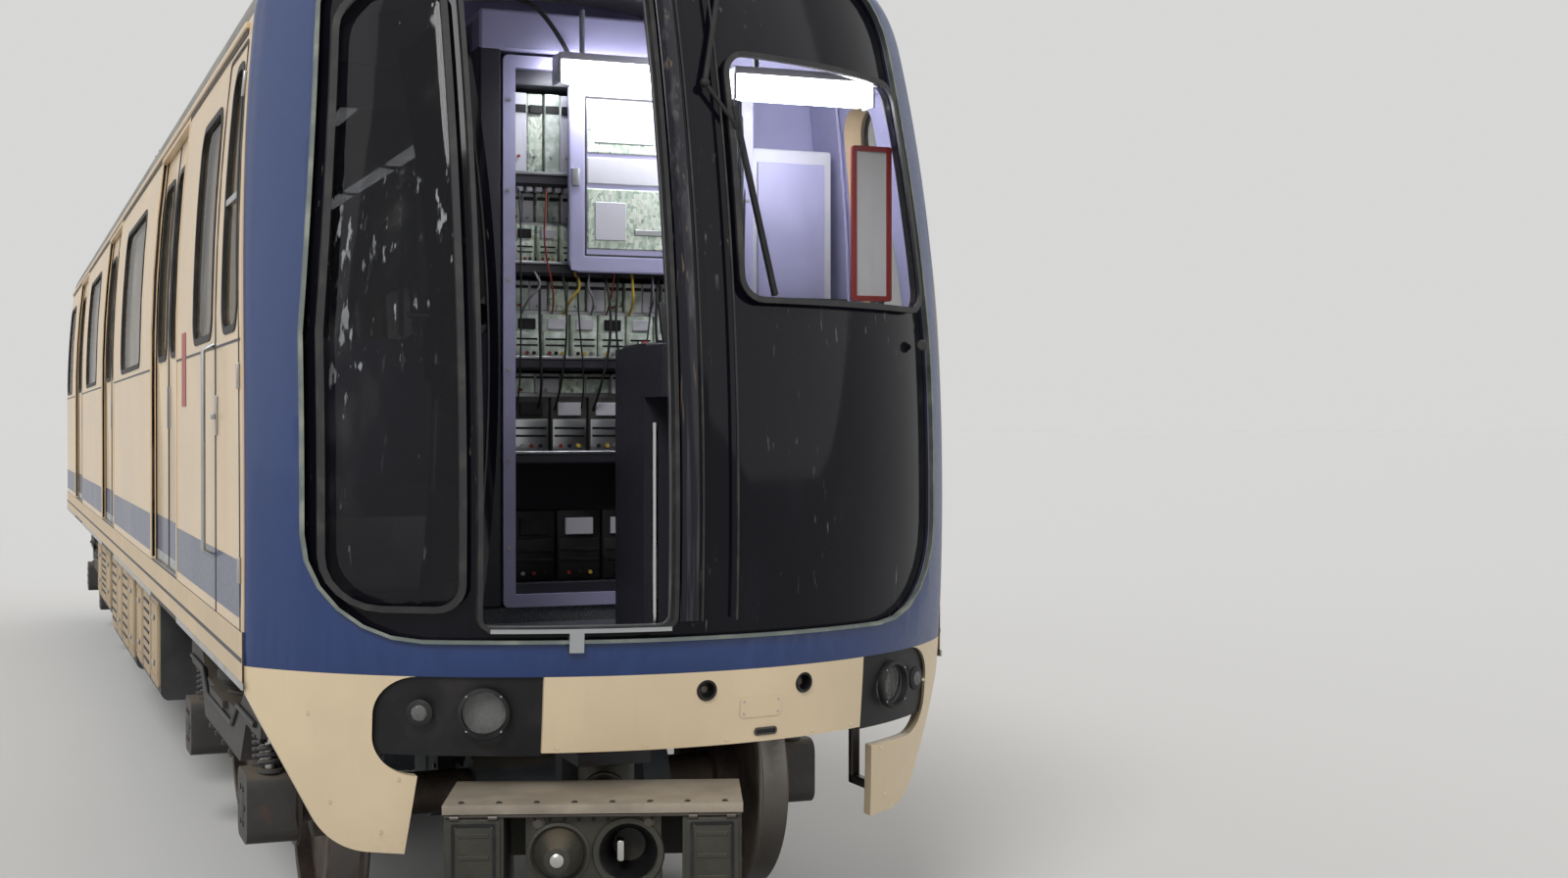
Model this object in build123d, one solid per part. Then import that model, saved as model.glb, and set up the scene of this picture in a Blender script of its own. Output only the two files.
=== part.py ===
from build123d import *
import math
import os

# Metro motor car with a rounded cab front, in millimetres.
# X runs across the car, the cab front faces -Y, Z is up.
# Z = 0 is the tip of the wheel flanges and Y = 0 the middle of the car.
# Heights whose names end in _height are measured above the rail.

# Overall body
body_length = 14400.0
half_width = 1150.0
flange_depth = 28.0
sill_height = 950.0
floor_height = 1120.0
waist_height = 2000.0
eaves_height = 3000.0
roof_height = 3390.0
side_radius = 7700.0
shoulder_length = 300.0
wall = 85.0
skin = 20.0
joint_gap = 0.3

rail_z = flange_depth
sill_z = rail_z + sill_height
floor_z = rail_z + floor_height
waist_z = rail_z + waist_height
eaves_z = rail_z + eaves_height
roof_z = rail_z + roof_height
nose_y = -body_length / 2
tail_y = body_length / 2

# Nose: one arc in plan, one long arc in side view, rounded into the sides
nose_radius = 1350.0
lean_radius = 4625.0
lean_height = 1500.0
nose_corner = 150.0
shell = 40.0
ring_depth = 650.0
ring_low_height = 1020.0
ring_width = 140.0
ring_proud = 12.0
mask_low_height = 1120.0
mask_top_height = 3190.0
mask_low_corner = 300.0
mask_top_corner = 220.0
lean_z = rail_z + lean_height

# Openings of the black front panel
front_door_left = -560.0
front_door_right = -30.0
front_door_height = 1160.0
front_door_top_height = 3040.0
left_glass_margin = 45.0
left_glass_corner = 150.0
left_glass_right = -610.0
left_glass_height = 1210.0
left_glass_top_height = 3040.0
driver_glass_left = 195.0
driver_glass_margin = 30.0
driver_glass_height = 2100.0
driver_glass_top_height = 2850.0
glass = 12.0
glass_corner = 70.0
front_door_swing = 110.0
front_hinge_offset = 28.0
front_door_foot_gap = 24.0
hinge_tube = 14.0
hinge_pin = 8.0

# Lower front
skirt_height = 497.0
bumper_height = 800.0
cheek_inner = 705.0
cheek_foot_inner = 748.0
cheek_foot_outer = 925.0
left_lamp_outer = -830.0
left_lamp_inner = -390.0
right_lamp_inner = 650.0
right_lamp_outer = 1010.0
lamp_bottom_height = 790.0
lamp_radius = 62.0
lamp_height = 917.0
left_lamp_x = -545.0
right_lamp_x = 790.0
bumper_hole_radius = 24.0
bumper_hole_height = 966.0
bumper_hole_x = (80.0, 410.0)

# Cab
cab_depth = 1450.0
cab_floor_length = 1140.0
cab_floor_drop = 50.0
cabinet_window_x = (-30.0, 440.0)
cabinet_window_low = 2250.0
cabinet_window_top = 2900.0
partition = 40.0
cab_door_left = -960.0
cab_door_width = 600.0
inner_door_height = 1880.0
inner_door_sill = 30.0
door_thickness = 36.0
door_clearance = 6.0
pivot_pin = 10.0
pivot_gap = 0.5

# Saloon doors: pairs of leaves that slide into pockets of the side wall
door_starts = (2850.0, 7050.0, 11250.0)
door_width = 1300.0
door_top_height = 2940.0
leaf_thickness = 33.0
pocket_clearance = 6.0
leaf_lap = 20.0
leaf_travel = 640.0
leaf_meeting_gap = 6.0
pocket_spare = 12.0
leaf_floor_gap = 5.0
runner_gap = 0.5

# Windows
window_low_height = 2030.0
window_top_height = 2800.0
window_corner = 90.0
window_margin = 45.0
cab_window_front = 760.0
cab_window_rear = 1190.0
cab_window_top_height = 2860.0

# Running gear
pivot_distance = 9200.0
wheelbase = 1950.0
wheel_diameter = 860.0
gauge = 1445.0
brake_x = 768.0
brake_clearance = 9.0
wheel_width = 135.0
flange_width = 32.0
axle_radius = 75.0
journal_radius = 70.0
bearing_gap = 0.5
frame_centre_x = 955.0
frame_beam_width = 100.0
axle_box_width = 170.0
axle_box_length = 260.0
axle_box_height = 240.0
motor_radius = 215.0
motor_length = 620.0
motor_offset = 465.0
pivot_radius = 60.0
air_spring_radius = 230.0
air_spring_x = 790.0
air_spring_gap = 6.0

# Couplers
coupler_height = 570.0
coupler_setback = 767.0
coupler_reach = 990.0
coupler_rest_swing = 19.0
coupler_width = 817.0
cover_height = 700.0
cover_depth = 370.0
cover_thickness = 25.0
eye_radius = 80.0
eye_pin = 40.0

# Pantograph
panto_y = 2600.0
panto_base_lift = 90.0
panto_lower_arm = 1250.0
panto_upper_arm = 1300.0
panto_lower_angle = 6.0
panto_upper_angle = 4.0

wheel_z = rail_z + wheel_diameter / 2
wheel_x = gauge / 2
door_top_z = rail_z + door_top_height
cab_y = nose_y + cab_depth
end_wall_y = tail_y - wall
inner_x = half_width - wall
deck_z = floor_z - 60.0

nodes = {}


def block(x0, x1, y0, y1, z0, z1):
    """A box between two corners."""
    centre = ((x0 + x1) / 2, (y0 + y1) / 2, (z0 + z1) / 2)
    return Pos(*centre) * Box(x1 - x0, y1 - y0, z1 - z0)


def rod(start, end, radius):
    """A round bar between two points."""
    a = Vector(*start)
    b = Vector(*end)
    plane = Plane(origin=a, z_dir=(b - a).normalized())
    return extrude(plane * Circle(radius), amount=(b - a).length)


def bar(start, end, width, depth):
    """A bar of rectangular section between two points."""
    a = Vector(*start)
    b = Vector(*end)
    plane = Plane(origin=a, x_dir=(0, 1, 0), z_dir=(b - a).normalized())
    return extrude(plane * Rectangle(depth, width), amount=(b - a).length)


def front_prism(points, radii, y0, y1):
    """A prism along Y whose outline is drawn in the front view, as (x, z) points."""
    with BuildSketch(Plane.XZ) as outline:
        with BuildLine():
            FilletPolyline(*points, radius=radii, close=True)
        make_face()
    return Pos(0, y0, 0) * extrude(outline.sketch, amount=y1 - y0, dir=(0, 1, 0))


def front_window(x0, x1, z0, z1, corner, y0, y1):
    """A rounded rectangle in the front view, as a prism along Y."""
    points = [(x0, z0), (x1, z0), (x1, z1), (x0, z1)]
    return front_prism(points, [corner] * 4, y0, y1)


def side_prism(points, radii, x0, x1):
    """A prism along X whose outline is drawn in the side view, as (y, z) points."""
    with BuildSketch(Plane.YZ) as outline:
        with BuildLine():
            FilletPolyline(*points, radius=radii, close=True)
        make_face()
    return Pos(x0, 0, 0) * extrude(outline.sketch, amount=x1 - x0, dir=(1, 0, 0))


def side_window(y0, y1, z0, z1, corner, x0, x1):
    """A rounded rectangle in the side view, as a prism along X."""
    points = [(y0, z0), (y1, z0), (y1, z1), (y0, z1)]
    return side_prism(points, [corner] * 4, x0, x1)


def side_x(z, inset=0.0):
    """Half width of the body at a height, measured a given depth inside the skin."""
    if z <= waist_z:
        return half_width - inset
    rise = z - waist_z
    return half_width - side_radius + math.sqrt((side_radius - inset) ** 2 - rise ** 2)


def shoulder_point(inset):
    """The point where the shoulder arc of the roof meets the crown arc."""
    rise = math.asin((eaves_z - waist_z) / side_radius)
    turn = (math.pi / 2 + rise + math.radians(160.4)) / 2
    x = side_x(eaves_z) + shoulder_length * math.cos(turn)
    z = eaves_z + shoulder_length * math.sin(turn)
    return x - 0.62 * inset, z - 0.78 * inset


def body_section(inset, z_low):
    """The body's cross section above a height, as a face in the front view."""
    x_low = half_width - inset
    x_eaves = side_x(eaves_z, inset)
    x_shoulder, z_shoulder = shoulder_point(inset)
    with BuildSketch(Plane.XZ) as section:
        with BuildLine():
            Line((x_low, z_low), (x_low, waist_z))
            side = TangentArc((x_low, waist_z), (x_eaves, eaves_z), tangent=(0, 1))
            TangentArc(side @ 1, (x_shoulder, z_shoulder), tangent=side % 1)
            ThreePointArc((x_shoulder, z_shoulder), (0, roof_z - inset), (-x_shoulder, z_shoulder))
            mirrored = TangentArc((-x_low, waist_z), (-x_eaves, eaves_z), tangent=(0, 1))
            TangentArc(mirrored @ 1, (-x_shoulder, z_shoulder), tangent=mirrored % 1)
            Line((-x_low, z_low), (-x_low, waist_z))
            Line((-x_low, z_low), (x_low, z_low))
        make_face()
    return section.sketch


def body_prism(inset, z_low, y0, y1):
    """The body's cross section drawn out along the car."""
    section = body_section(inset, min(z_low, floor_z + joint_gap))
    prism = Pos(0, y0, 0) * extrude(section, amount=y1 - y0, dir=(0, 1, 0))
    if z_low <= waist_z:
        return prism
    return prism & block(-2000, 2000, y0 - 10, y1 + 10, z_low, roof_z + 400)


def nose_face_block(inset):
    """A block whose front is the nose's face, curved in plan and in side view."""
    y_front = nose_y + inset
    radius = nose_radius - inset
    x_wide = half_width + 100.0 - inset
    y_wide = y_front + radius - math.sqrt(radius ** 2 - x_wide ** 2)
    y_back = nose_y + cab_depth
    with BuildSketch(Plane.XY.offset(lean_z)) as plan:
        with BuildLine():
            ThreePointArc((-x_wide, y_wide), (0, y_front), (x_wide, y_wide))
            Polyline((x_wide, y_wide), (x_wide, y_back), (-x_wide, y_back), (-x_wide, y_wide))
        make_face()
    axis = Axis((0, nose_y + lean_radius, lean_z), (1, 0, 0))
    return revolve(plan.sketch.rotate(axis, 18.0), axis, -52.0)


def nose_form(inset):
    """The closed outer form of the nose, moved inwards by an inset."""
    solid = nose_face_block(inset) & body_prism(inset, rail_z + skirt_height - 20, nose_y - 100, nose_y + 1200)
    corner = nose_corner - inset
    edges = [e for e in solid.edges() if is_nose_edge(e)]
    return fillet(edges, corner)


def is_nose_edge(edge):
    """True for an edge between the nose's front face and the sides or the roof."""
    box = edge.bounding_box()
    return edge.geom_type != GeomType.LINE and box.max.Y < nose_y + 1150 and box.max.Z > floor_z


def nose_core(inset=0.0):
    """What lies behind the blue ring: a drum across the car, parallel to the nose's lean."""
    drum = Cylinder(lean_radius, 4 * half_width, rotation=(0, 90, 0))
    return Pos(0, nose_y + ring_depth + inset + lean_radius, lean_z) * drum


def mask_outline(inset, y0, y1):
    """The outline of the black front panel, as a prism along Y."""
    low = rail_z + mask_low_height + inset
    top = rail_z + mask_top_height - inset
    wide = half_width - ring_width - inset
    narrow = side_x(top) - ring_width - inset
    points = [(-wide, low), (wide, low), (wide, waist_z), (narrow, top), (-narrow, top), (-wide, waist_z)]
    radii = [mask_low_corner, mask_low_corner, 0, mask_top_corner, mask_top_corner, 0]
    return front_prism(points, radii, y0, y1)


def above(z):
    """All the space above a height, around the nose."""
    return block(-2000, 2000, nose_y - 300, nose_y + 1600, z, roof_z + 400)


def below(z):
    """All the space below a height, around the nose."""
    return block(-2000, 2000, nose_y - 300, nose_y + 1600, -100, z)


front_far = nose_y - 300.0
front_deep = nose_y + 1600.0


def add_nose():
    """Blue ring, black panel, glass and the white skirt, cut from one shell."""
    outer = nose_form(0.0)
    panel = nose_form(ring_proud)
    pane = nose_form(ring_proud + glass)
    inner = nose_form(shell)
    core = nose_core()
    low = rail_z + ring_low_height

    ring = (above(low) & outer) - inner - core
    ring -= mask_outline(0.0, front_far, front_deep)
    nodes["nose_surround"] = ring

    skirt = (below(low - joint_gap) & outer) - inner - core
    skirt -= skirt_cutter()
    skirt -= lamp_openings(0.0)
    for x in bumper_hole_x:
        z = rail_z + bumper_hole_height
        skirt -= rod((x, front_far, z), (x, front_deep, z), bumper_hole_radius)
    nodes["nose_skirt"] = skirt

    nodes["nose_mask"] = Compound(children=mask_pieces())

    panes = [part_of((cutter & panel) - pane) for cutter in glass_openings(joint_gap).values()]
    nodes["windscreens"] = Compound(children=panes)
    add_lamps(panel, inner)
    add_front_door(panel, inner)
    add_front_step(outer, inner)
    add_wiper()


def mask_pieces():
    """The black panel in three pieces: at the left glass, round the doorway, driver's side."""
    outline = mask_outline(joint_gap, front_far, front_deep)
    openings = glass_openings(0.0)
    joints = (-half_width, front_door_left - 25, (front_door_right + driver_glass_left) / 2, half_width)
    face = nose_form(ring_proud) - nose_form(shell)
    pieces = []
    for index in range(3):
        x0 = joints[index] + joint_gap / 2
        x1 = joints[index + 1] - joint_gap / 2
        strip = outline & block(x0, x1, front_far - 10, front_deep + 10, floor_z - 100, roof_z + 100)
        strip = strip - openings["left"] - openings["driver"] - front_door_opening(0.0)
        pieces.append(face & strip)
    lugs = front_hinge_lugs(nose_form(shell + joint_gap))
    return [part_of(piece) for piece in pieces] + lugs


def part_of(shape):
    """The largest solid of a shape."""
    return max(shape.solids(), key=lambda solid: solid.volume)


def joined(shapes):
    """The separate solids that are left when shapes that cross are made one."""
    whole = shapes[0]
    for shape in shapes[1:]:
        whole = whole + shape
    return list(whole.solids())


def skirt_cutter():
    """What is cut away under the bumper, between and outside the two cheeks."""
    bottom = rail_z + skirt_height
    bumper = rail_z + bumper_height
    deep = rail_z + skirt_height - 100
    middle = front_prism(
        [(-cheek_inner, bumper), (-cheek_foot_inner, deep), (cheek_foot_inner, deep), (cheek_inner, bumper)],
        [0, 0, 0, 0], front_far, front_deep)
    cutter = middle
    for side in (-1, 1):
        outside = [(half_width + 50, sill_z + 50), (half_width + 50, deep), (cheek_foot_outer - 300, deep),
                   (cheek_foot_outer - 300, bottom), (cheek_foot_outer, bottom), (half_width, sill_z)]
        points = [(side * x, z) for x, z in outside]
        cutter += front_prism(points, [0, 0, 0, 0, 150, 0], front_far, front_deep)
    return cutter


def lamp_openings(inset):
    """The dark lamp recesses at the two ends of the bumper, rounded at their outer ends."""
    low = rail_z + lamp_bottom_height - 60
    high = rail_z + ring_low_height - inset
    radius = (rail_z + ring_low_height - rail_z - lamp_bottom_height) / 2
    cutter = None
    # Inner end and outer end of each recess
    for inner, outer in ((left_lamp_inner, left_lamp_outer), (right_lamp_inner, right_lamp_outer)):
        step = math.copysign(inset, outer)
        points = [(inner + step, low), (outer - step, low), (outer - step, high), (inner + step, high)]
        prism = front_prism(points, [0, radius, radius, 0], front_far, front_deep)
        cutter = prism if cutter is None else cutter + prism
    return cutter


def add_lamps(panel, inner):
    """Dark housings that fill the recesses, and the round lamps in them."""
    bottom = rail_z + lamp_bottom_height
    space = lamp_openings(joint_gap) & above(bottom)
    housings = (space & panel) - nose_form(shell + 30.0)
    lenses = []
    lamp_z = rail_z + lamp_height
    for x in (left_lamp_x, right_lamp_x):
        bore = rod((x, front_far, lamp_z), (x, nose_y + 600, lamp_z), lamp_radius)
        housings -= bore - inner
        lens = rod((x, front_far, lamp_z), (x, nose_y + 600, lamp_z), lamp_radius - joint_gap)
        lenses.append(part_of((lens & nose_form(ring_proud + 4.0)) - nose_form(shell - 5.0)))
    nodes["lamp_housings"] = housings
    nodes["headlamps"] = Compound(children=lenses)


def mask_edge_x(z):
    """Half width of the black panel at a height."""
    top = rail_z + mask_top_height
    wide = half_width - ring_width
    if z <= waist_z:
        return wide
    return wide - (side_x(waist_z) - side_x(top)) * (z - waist_z) / (top - waist_z)


def glass_openings(inset):
    """Rounded cutters for the left front glass and the driver's windscreen."""
    low = rail_z + left_glass_height + inset
    top = rail_z + left_glass_top_height - inset
    edge = left_glass_margin + inset
    points = [(-mask_edge_x(low) + edge, low), (left_glass_right - inset, low), (left_glass_right - inset, top),
              (-mask_edge_x(top) + edge, top), (-mask_edge_x(waist_z) + edge, waist_z)]
    corners = [left_glass_corner, glass_corner, glass_corner, left_glass_corner, 0]
    left = front_prism(points, corners, front_far, front_deep)
    low = rail_z + driver_glass_height + inset
    top = rail_z + driver_glass_top_height - inset
    edge = driver_glass_margin + inset
    points = [(driver_glass_left + inset, low), (mask_edge_x(low) - edge, low),
              (mask_edge_x(top) - edge, top), (driver_glass_left + inset, top)]
    driver = front_prism(points, [glass_corner] * 4, front_far, front_deep)
    return {"left": left, "driver": driver}


def front_door_opening(inset):
    """Cutter for the front doorway in the black panel."""
    return front_window(front_door_left + inset, front_door_right - inset,
                        rail_z + front_door_height + inset, rail_z + front_door_top_height - inset,
                        30.0, front_far, front_deep)


def nose_face_y(x, z, inset):
    """Y of the nose's surface at a point of the front view, away from its corners."""
    radius = nose_radius - inset
    plan = nose_y + inset + radius - math.sqrt(radius ** 2 - x ** 2)
    drum = nose_y + lean_radius - plan
    return nose_y + lean_radius - math.sqrt(drum ** 2 - (z - lean_z) ** 2)


def front_hinge_line():
    """Lower and upper end of the front door's hinge, parallel to the nose's lean."""
    x = front_door_left - front_hinge_offset
    z_low = rail_z + front_door_height + door_clearance + 6
    z_high = rail_z + front_door_top_height - door_clearance - 2
    set_back = 26.0
    low = Vector(x, nose_face_y(x, z_low, shell) + set_back, z_low)
    high = Vector(x, nose_face_y(x, z_high, shell) + set_back, z_high)
    return low, high


def front_hinge_lugs(inner):
    """Two lugs inside the black panel that hold the front door's hinge pins."""
    low, high = front_hinge_line()
    along = (high - low).normalized()
    lugs = []
    # Point where each lug starts, and the way it points from there
    for start, way in ((low, -1.0), (high, 1.0)):
        a = start + along * (way * 12.0)
        b = start + along * (way * 43.0)
        lug = rod(a, b, 24.0) - rod(a, b, hinge_pin + pivot_gap)
        web = block(a.X + 6, a.X + 42, a.Y - 60, a.Y + 24, min(a.Z, b.Z), max(a.Z, b.Z))
        web -= rod(a - along * (way * 30), b + along * (way * 30), hinge_pin + pivot_gap)
        lugs.append(part_of(lug + (web & inner)))
    return lugs


def front_leaf(panel, inner):
    """The front door shut. Its free edge is rebated, so it passes the frame as it swings in."""
    middle = nose_form(shell / 2)
    left = front_door_left + door_clearance
    low = rail_z + front_door_height + front_door_foot_gap
    top = rail_z + front_door_top_height - door_clearance
    outline = front_window(left, front_door_right - 17, low, top, 30.0, front_far, front_deep)
    rebate = block(front_door_right - 28, front_door_right + 20, front_far - 5, front_deep - 5, low - 50, top + 50)
    leaf = (outline & panel) - inner
    return leaf - (rebate - middle)


def front_hinge_arms(low, along, length, inner):
    """Three bent arms from the hinge tube to the leaf, each with its tube section."""
    leaf_x = front_door_left + door_clearance
    arms = []
    for share in (0.03, 0.48, 0.93):
        a = low + along * (length * share)
        b = a + along * 60.0
        plate = [(a.Y - 6, a.Z), (a.Y + 6, a.Z), (b.Y + 6, b.Z), (b.Y - 6, b.Z)]
        leg = [(front_far, a.Z), (a.Y + 6, a.Z), (b.Y + 6, b.Z), (front_far, b.Z)]
        arm = side_prism(plate, [0, 0, 0, 0], low.X, leaf_x + 30)
        arm += side_prism(leg, [0, 0, 0, 0], leaf_x + 14, leaf_x + 30) & inner
        arms.append(arm)
    return arms


def add_front_door(panel, inner):
    """The front door: a leaf of the nose's own form, modelled shut and then swung in."""
    leaf = front_leaf(panel, inner)
    low, high = front_hinge_line()
    along = (high - low).normalized()
    hinge = rod(low + along * 2, high - along * 2, hinge_tube)
    for arm in front_hinge_arms(low, along, (high - low).length, nose_form(shell + joint_gap)):
        hinge += arm
    hinge += rod(low - along * 42, high + along * 42, hinge_pin)
    door = Compound(children=[part_of(leaf), part_of(hinge)])
    nodes["front_door"] = door.rotate(Axis(low, along), front_door_swing)


def add_front_step(outer, inner):
    """The metal lip under the front doorway, laid over the ring."""
    z0 = rail_z + mask_low_height - 30
    z1 = rail_z + front_door_height - 2
    lip = block(front_door_left + 20, front_door_right - 10, front_far, front_deep, z1 - 12, z1)
    lip = (lip & nose_face_block(-22.0)) - nose_face_block(ring_proud - joint_gap)
    foot = block(front_door_left + 230, front_door_left + 270, front_far, front_deep, z0, z1)
    foot = (foot & nose_face_block(-22.0)) - nose_face_block(-joint_gap)
    nodes["front_step"] = lip + foot


def add_wiper():
    """The windscreen wiper, parked along the left edge of the driver's glass."""
    z_pivot = rail_z + mask_top_height - 90
    pivot_x = driver_glass_left + 20
    elbow_x = driver_glass_left - 75
    elbow_z = rail_z + 2745.0
    blade_low_x = driver_glass_left + 110
    blade_low_z = rail_z + driver_glass_height + 15
    blade_high_z = rail_z + 2620.0
    blade_high_x = driver_glass_left + 15
    off = 28.0

    def at(x, z, lift):
        return (x, nose_face_y(x, z, ring_proud) - lift, z)

    boss = rod(at(pivot_x, z_pivot, 9.4), at(pivot_x, z_pivot, off + 14), 22.0)
    arm = rod(at(pivot_x, z_pivot, off), at(elbow_x, elbow_z, off), 9.0)
    link = rod(at(elbow_x, elbow_z, off), at(blade_high_x, blade_high_z, off), 7.0)
    knob = Pos(*at(elbow_x, elbow_z, off)) * Sphere(15.0)
    blade = bar(at(blade_high_x, blade_high_z + 60, 24), at(blade_low_x, blade_low_z, 24), 14.0, 20.0)
    holder = rod(at(blade_high_x, blade_high_z, off + 10), at(blade_high_x, blade_high_z, 20), 10.0)
    nodes["wiper"] = boss + arm + link + knob + blade + holder


def wall_slab(side, d0, d1, y0, y1, z0, z1):
    """A piece of side wall between two depths from its outer skin."""
    shape = None
    with BuildSketch(Plane.XZ) as band:
        with BuildLine():
            outer = [(side * (half_width - d0), sill_z - 50), (side * (half_width - d0), waist_z)]
            inner = [(side * (half_width - d1), sill_z - 50), (side * (half_width - d1), waist_z)]
            outer_top = (side * side_x(eaves_z, d0), eaves_z)
            inner_top = (side * side_x(eaves_z, d1), eaves_z)
            Line(outer[0], outer[1])
            TangentArc(outer[1], outer_top, tangent=(0, 1))
            Line(inner[0], inner[1])
            TangentArc(inner[1], inner_top, tangent=(0, 1))
            Line(outer[0], inner[0])
            Line(outer_top, inner_top)
        make_face()
    shape = Pos(0, y0, 0) * extrude(band.sketch, amount=y1 - y0, dir=(0, 1, 0))
    return shape & block(-half_width - 10, half_width + 10, y0, y1, z0, z1)


def doorways():
    """Start and end of each doorway along the car."""
    return [(nose_y + start, nose_y + start + door_width) for start in door_starts]


def pocket_depth():
    return leaf_lap + leaf_travel + pocket_spare


def wall_bays():
    """Each length of side wall: start, end, and whether a pocket opens at each end."""
    doors = doorways()
    bays = [(cab_y + joint_gap, doors[0][0], False, True)]
    for left, right in zip(doors[:-1], doors[1:]):
        bays.append((left[1], right[0], True, True))
    bays.append((doors[-1][1], end_wall_y - joint_gap, True, False))
    return bays


def bay_window(bay):
    """Start and end of the window of a bay, clear of its door pockets."""
    y0, y1, pocket_front, pocket_rear = bay
    front = y0 + (pocket_depth() if pocket_front else 0) + window_margin
    rear = y1 - (pocket_depth() if pocket_rear else 0) - window_margin
    return front, rear


def add_side_wall(side, name):
    """One side of the saloon: bays with door pockets, headers, and the cab's side."""
    low = floor_z + joint_gap
    pieces = []
    for bay in wall_bays():
        y0, y1, pocket_front, pocket_rear = bay
        piece = wall_slab(side, 0, wall, y0, y1, low, eaves_z - joint_gap)
        if pocket_front:
            piece -= wall_slab(side, skin, wall - skin, y0 - 1, y0 + pocket_depth(), low - 5, door_top_z)
        if pocket_rear:
            piece -= wall_slab(side, skin, wall - skin, y1 - pocket_depth(), y1 + 1, low - 5, door_top_z)
        front, rear = bay_window(bay)
        piece -= window_cutter(side, front, rear, 0.0)
        pieces.append(part_of(piece))
    for y0, y1 in doorways():
        header = wall_slab(side, 0, wall, y0 + joint_gap, y1 - joint_gap, door_top_z, eaves_z - joint_gap)
        pieces.append(part_of(header))
    cab = wall_slab(side, 0, wall, nose_y, cab_y, low, eaves_z - joint_gap) & nose_core(joint_gap)
    cab -= cab_window_cutter(side, 0.0)
    pieces.append(part_of(cab))
    nodes[name] = Compound(children=pieces)


def window_cutter(side, front, rear, inset):
    """A saloon window's opening."""
    x0, x1 = sorted((side * (half_width - 400), side * (half_width + 50)))
    return side_window(front + inset, rear - inset, rail_z + window_low_height + inset,
                       rail_z + window_top_height - inset, window_corner, x0, x1)


def cab_window_cutter(side, inset):
    """The cab side window's opening; its front edge follows the ring's lean."""
    x0, x1 = sorted((side * (half_width - 400), side * (half_width + 50)))
    z0 = rail_z + window_low_height + inset
    z1 = rail_z + cab_window_top_height - inset
    front = nose_y + cab_window_front + inset
    rear = nose_y + cab_window_rear - inset
    lean = (z1 - lean_z) ** 2 / (2 * lean_radius)
    points = [(front, z0), (rear, z0), (rear, z1), (front + lean, z1)]
    return side_prism(points, [window_corner] * 4, x0, x1)


def add_side_windows():
    """All the fixed panes of both sides, set just inside the outer skin."""
    panes = []
    depth = 8.0
    for side in (-1, 1):
        sheet = wall_slab(side, depth, depth + glass, nose_y, tail_y, floor_z, eaves_z)
        for bay in wall_bays():
            front, rear = bay_window(bay)
            panes.append(part_of(sheet & window_cutter(side, front, rear, joint_gap)))
        panes.append(part_of(sheet & cab_window_cutter(side, joint_gap)))
    nodes["side_windows"] = Compound(children=panes)


def add_door_leaves():
    """Two leaves for each doorway: each slides along the car into its pocket."""
    depth = skin + pocket_clearance
    low = floor_z + leaf_floor_gap
    high = door_top_z - leaf_floor_gap
    for side, word in ((-1, "left"), (1, "right")):
        for number, (y0, y1) in enumerate(doorways(), start=1):
            middle = (y0 + y1) / 2
            spans = {"front": (y0 - leaf_lap, middle - leaf_meeting_gap / 2),
                     "rear": (middle + leaf_meeting_gap / 2, y1 + leaf_lap)}
            for place, (a, b) in spans.items():
                leaf = wall_slab(side, depth, depth + leaf_thickness, a, b, low, high)
                window = (max(a, y0) + 90, min(b, y1) - 90)
                leaf -= window_cutter(side, window[0], window[1], 0.0)
                for shift in (90, b - a - 170):
                    leaf += door_hanger(side, a + shift, high)
                pane = wall_slab(side, depth + 8, depth + 8 + glass, a, b, low, high)
                pane &= window_cutter(side, window[0], window[1], joint_gap)
                name = f"door_{word}_{number}_{place}"
                nodes[name] = Compound(children=[part_of(leaf), part_of(pane)])


def door_hanger(side, y, z):
    """A hanger lug on a door leaf's top, running just under the pocket's ceiling."""
    depth = skin + pocket_clearance + leaf_thickness / 2
    x = side * side_x(z, depth)
    return block(x - 9, x + 9, y, y + 80, z - 20, door_top_z - runner_gap)


def add_roof():
    """The roof shell from the ring to the end wall."""
    outer = body_prism(0.0, eaves_z, nose_y, end_wall_y - joint_gap)
    inner = body_prism(50.0, eaves_z - 10, nose_y - 10, end_wall_y + 10)
    nodes["roof"] = (outer - inner) & (nose_core(joint_gap) + block(-2000, 2000, cab_y, tail_y, 0, 5000))


def add_underframe():
    """Side sills, deck, cross members, bolsters with pivot pins, and coupler brackets."""
    top = floor_z - joint_gap
    front = nose_y + ring_depth
    sills = None
    frame = block(-inner_x, inner_x, cab_y - 200, tail_y, deck_z - 20, deck_z - joint_gap)
    for side in (-1, 1):
        x0, x1 = sorted((side * inner_x, side * half_width))
        sill = block(x0, x1, nose_y, tail_y, sill_z, top) & (nose_core(joint_gap) + rear_space())
        frame += sill
        x0, x1 = sorted((side * 300, side * 360))
        frame += block(x0, x1, nose_y + 700, tail_y, sill_z, deck_z - joint_gap)
    frame += nose_deck()
    count = 11
    for index in range(count):
        y = nose_y + 1000 + index * (body_length - 1100) / (count - 1)
        frame += block(-inner_x, inner_x, y - 30, y + 30, sill_z, deck_z - joint_gap)
    for y in bogie_centres():
        frame += block(-inner_x, inner_x, y - 260, y + 260, sill_z, deck_z - joint_gap)
        frame += rod((0, y, sill_z + 5), (0, y, rail_z + 600), pivot_radius)
    for y in (nose_y + coupler_setback + 140, tail_y - coupler_setback - 140):
        frame += block(-inner_x, inner_x, y - 80, y + 80, sill_z, deck_z - joint_gap)
    for bracket in coupler_brackets():
        frame += bracket
    nodes["underframe"] = frame


def rear_space():
    """Everything behind the cab's front part."""
    return block(-2000, 2000, cab_y - 400, tail_y + 100, -100, 5000)


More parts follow.
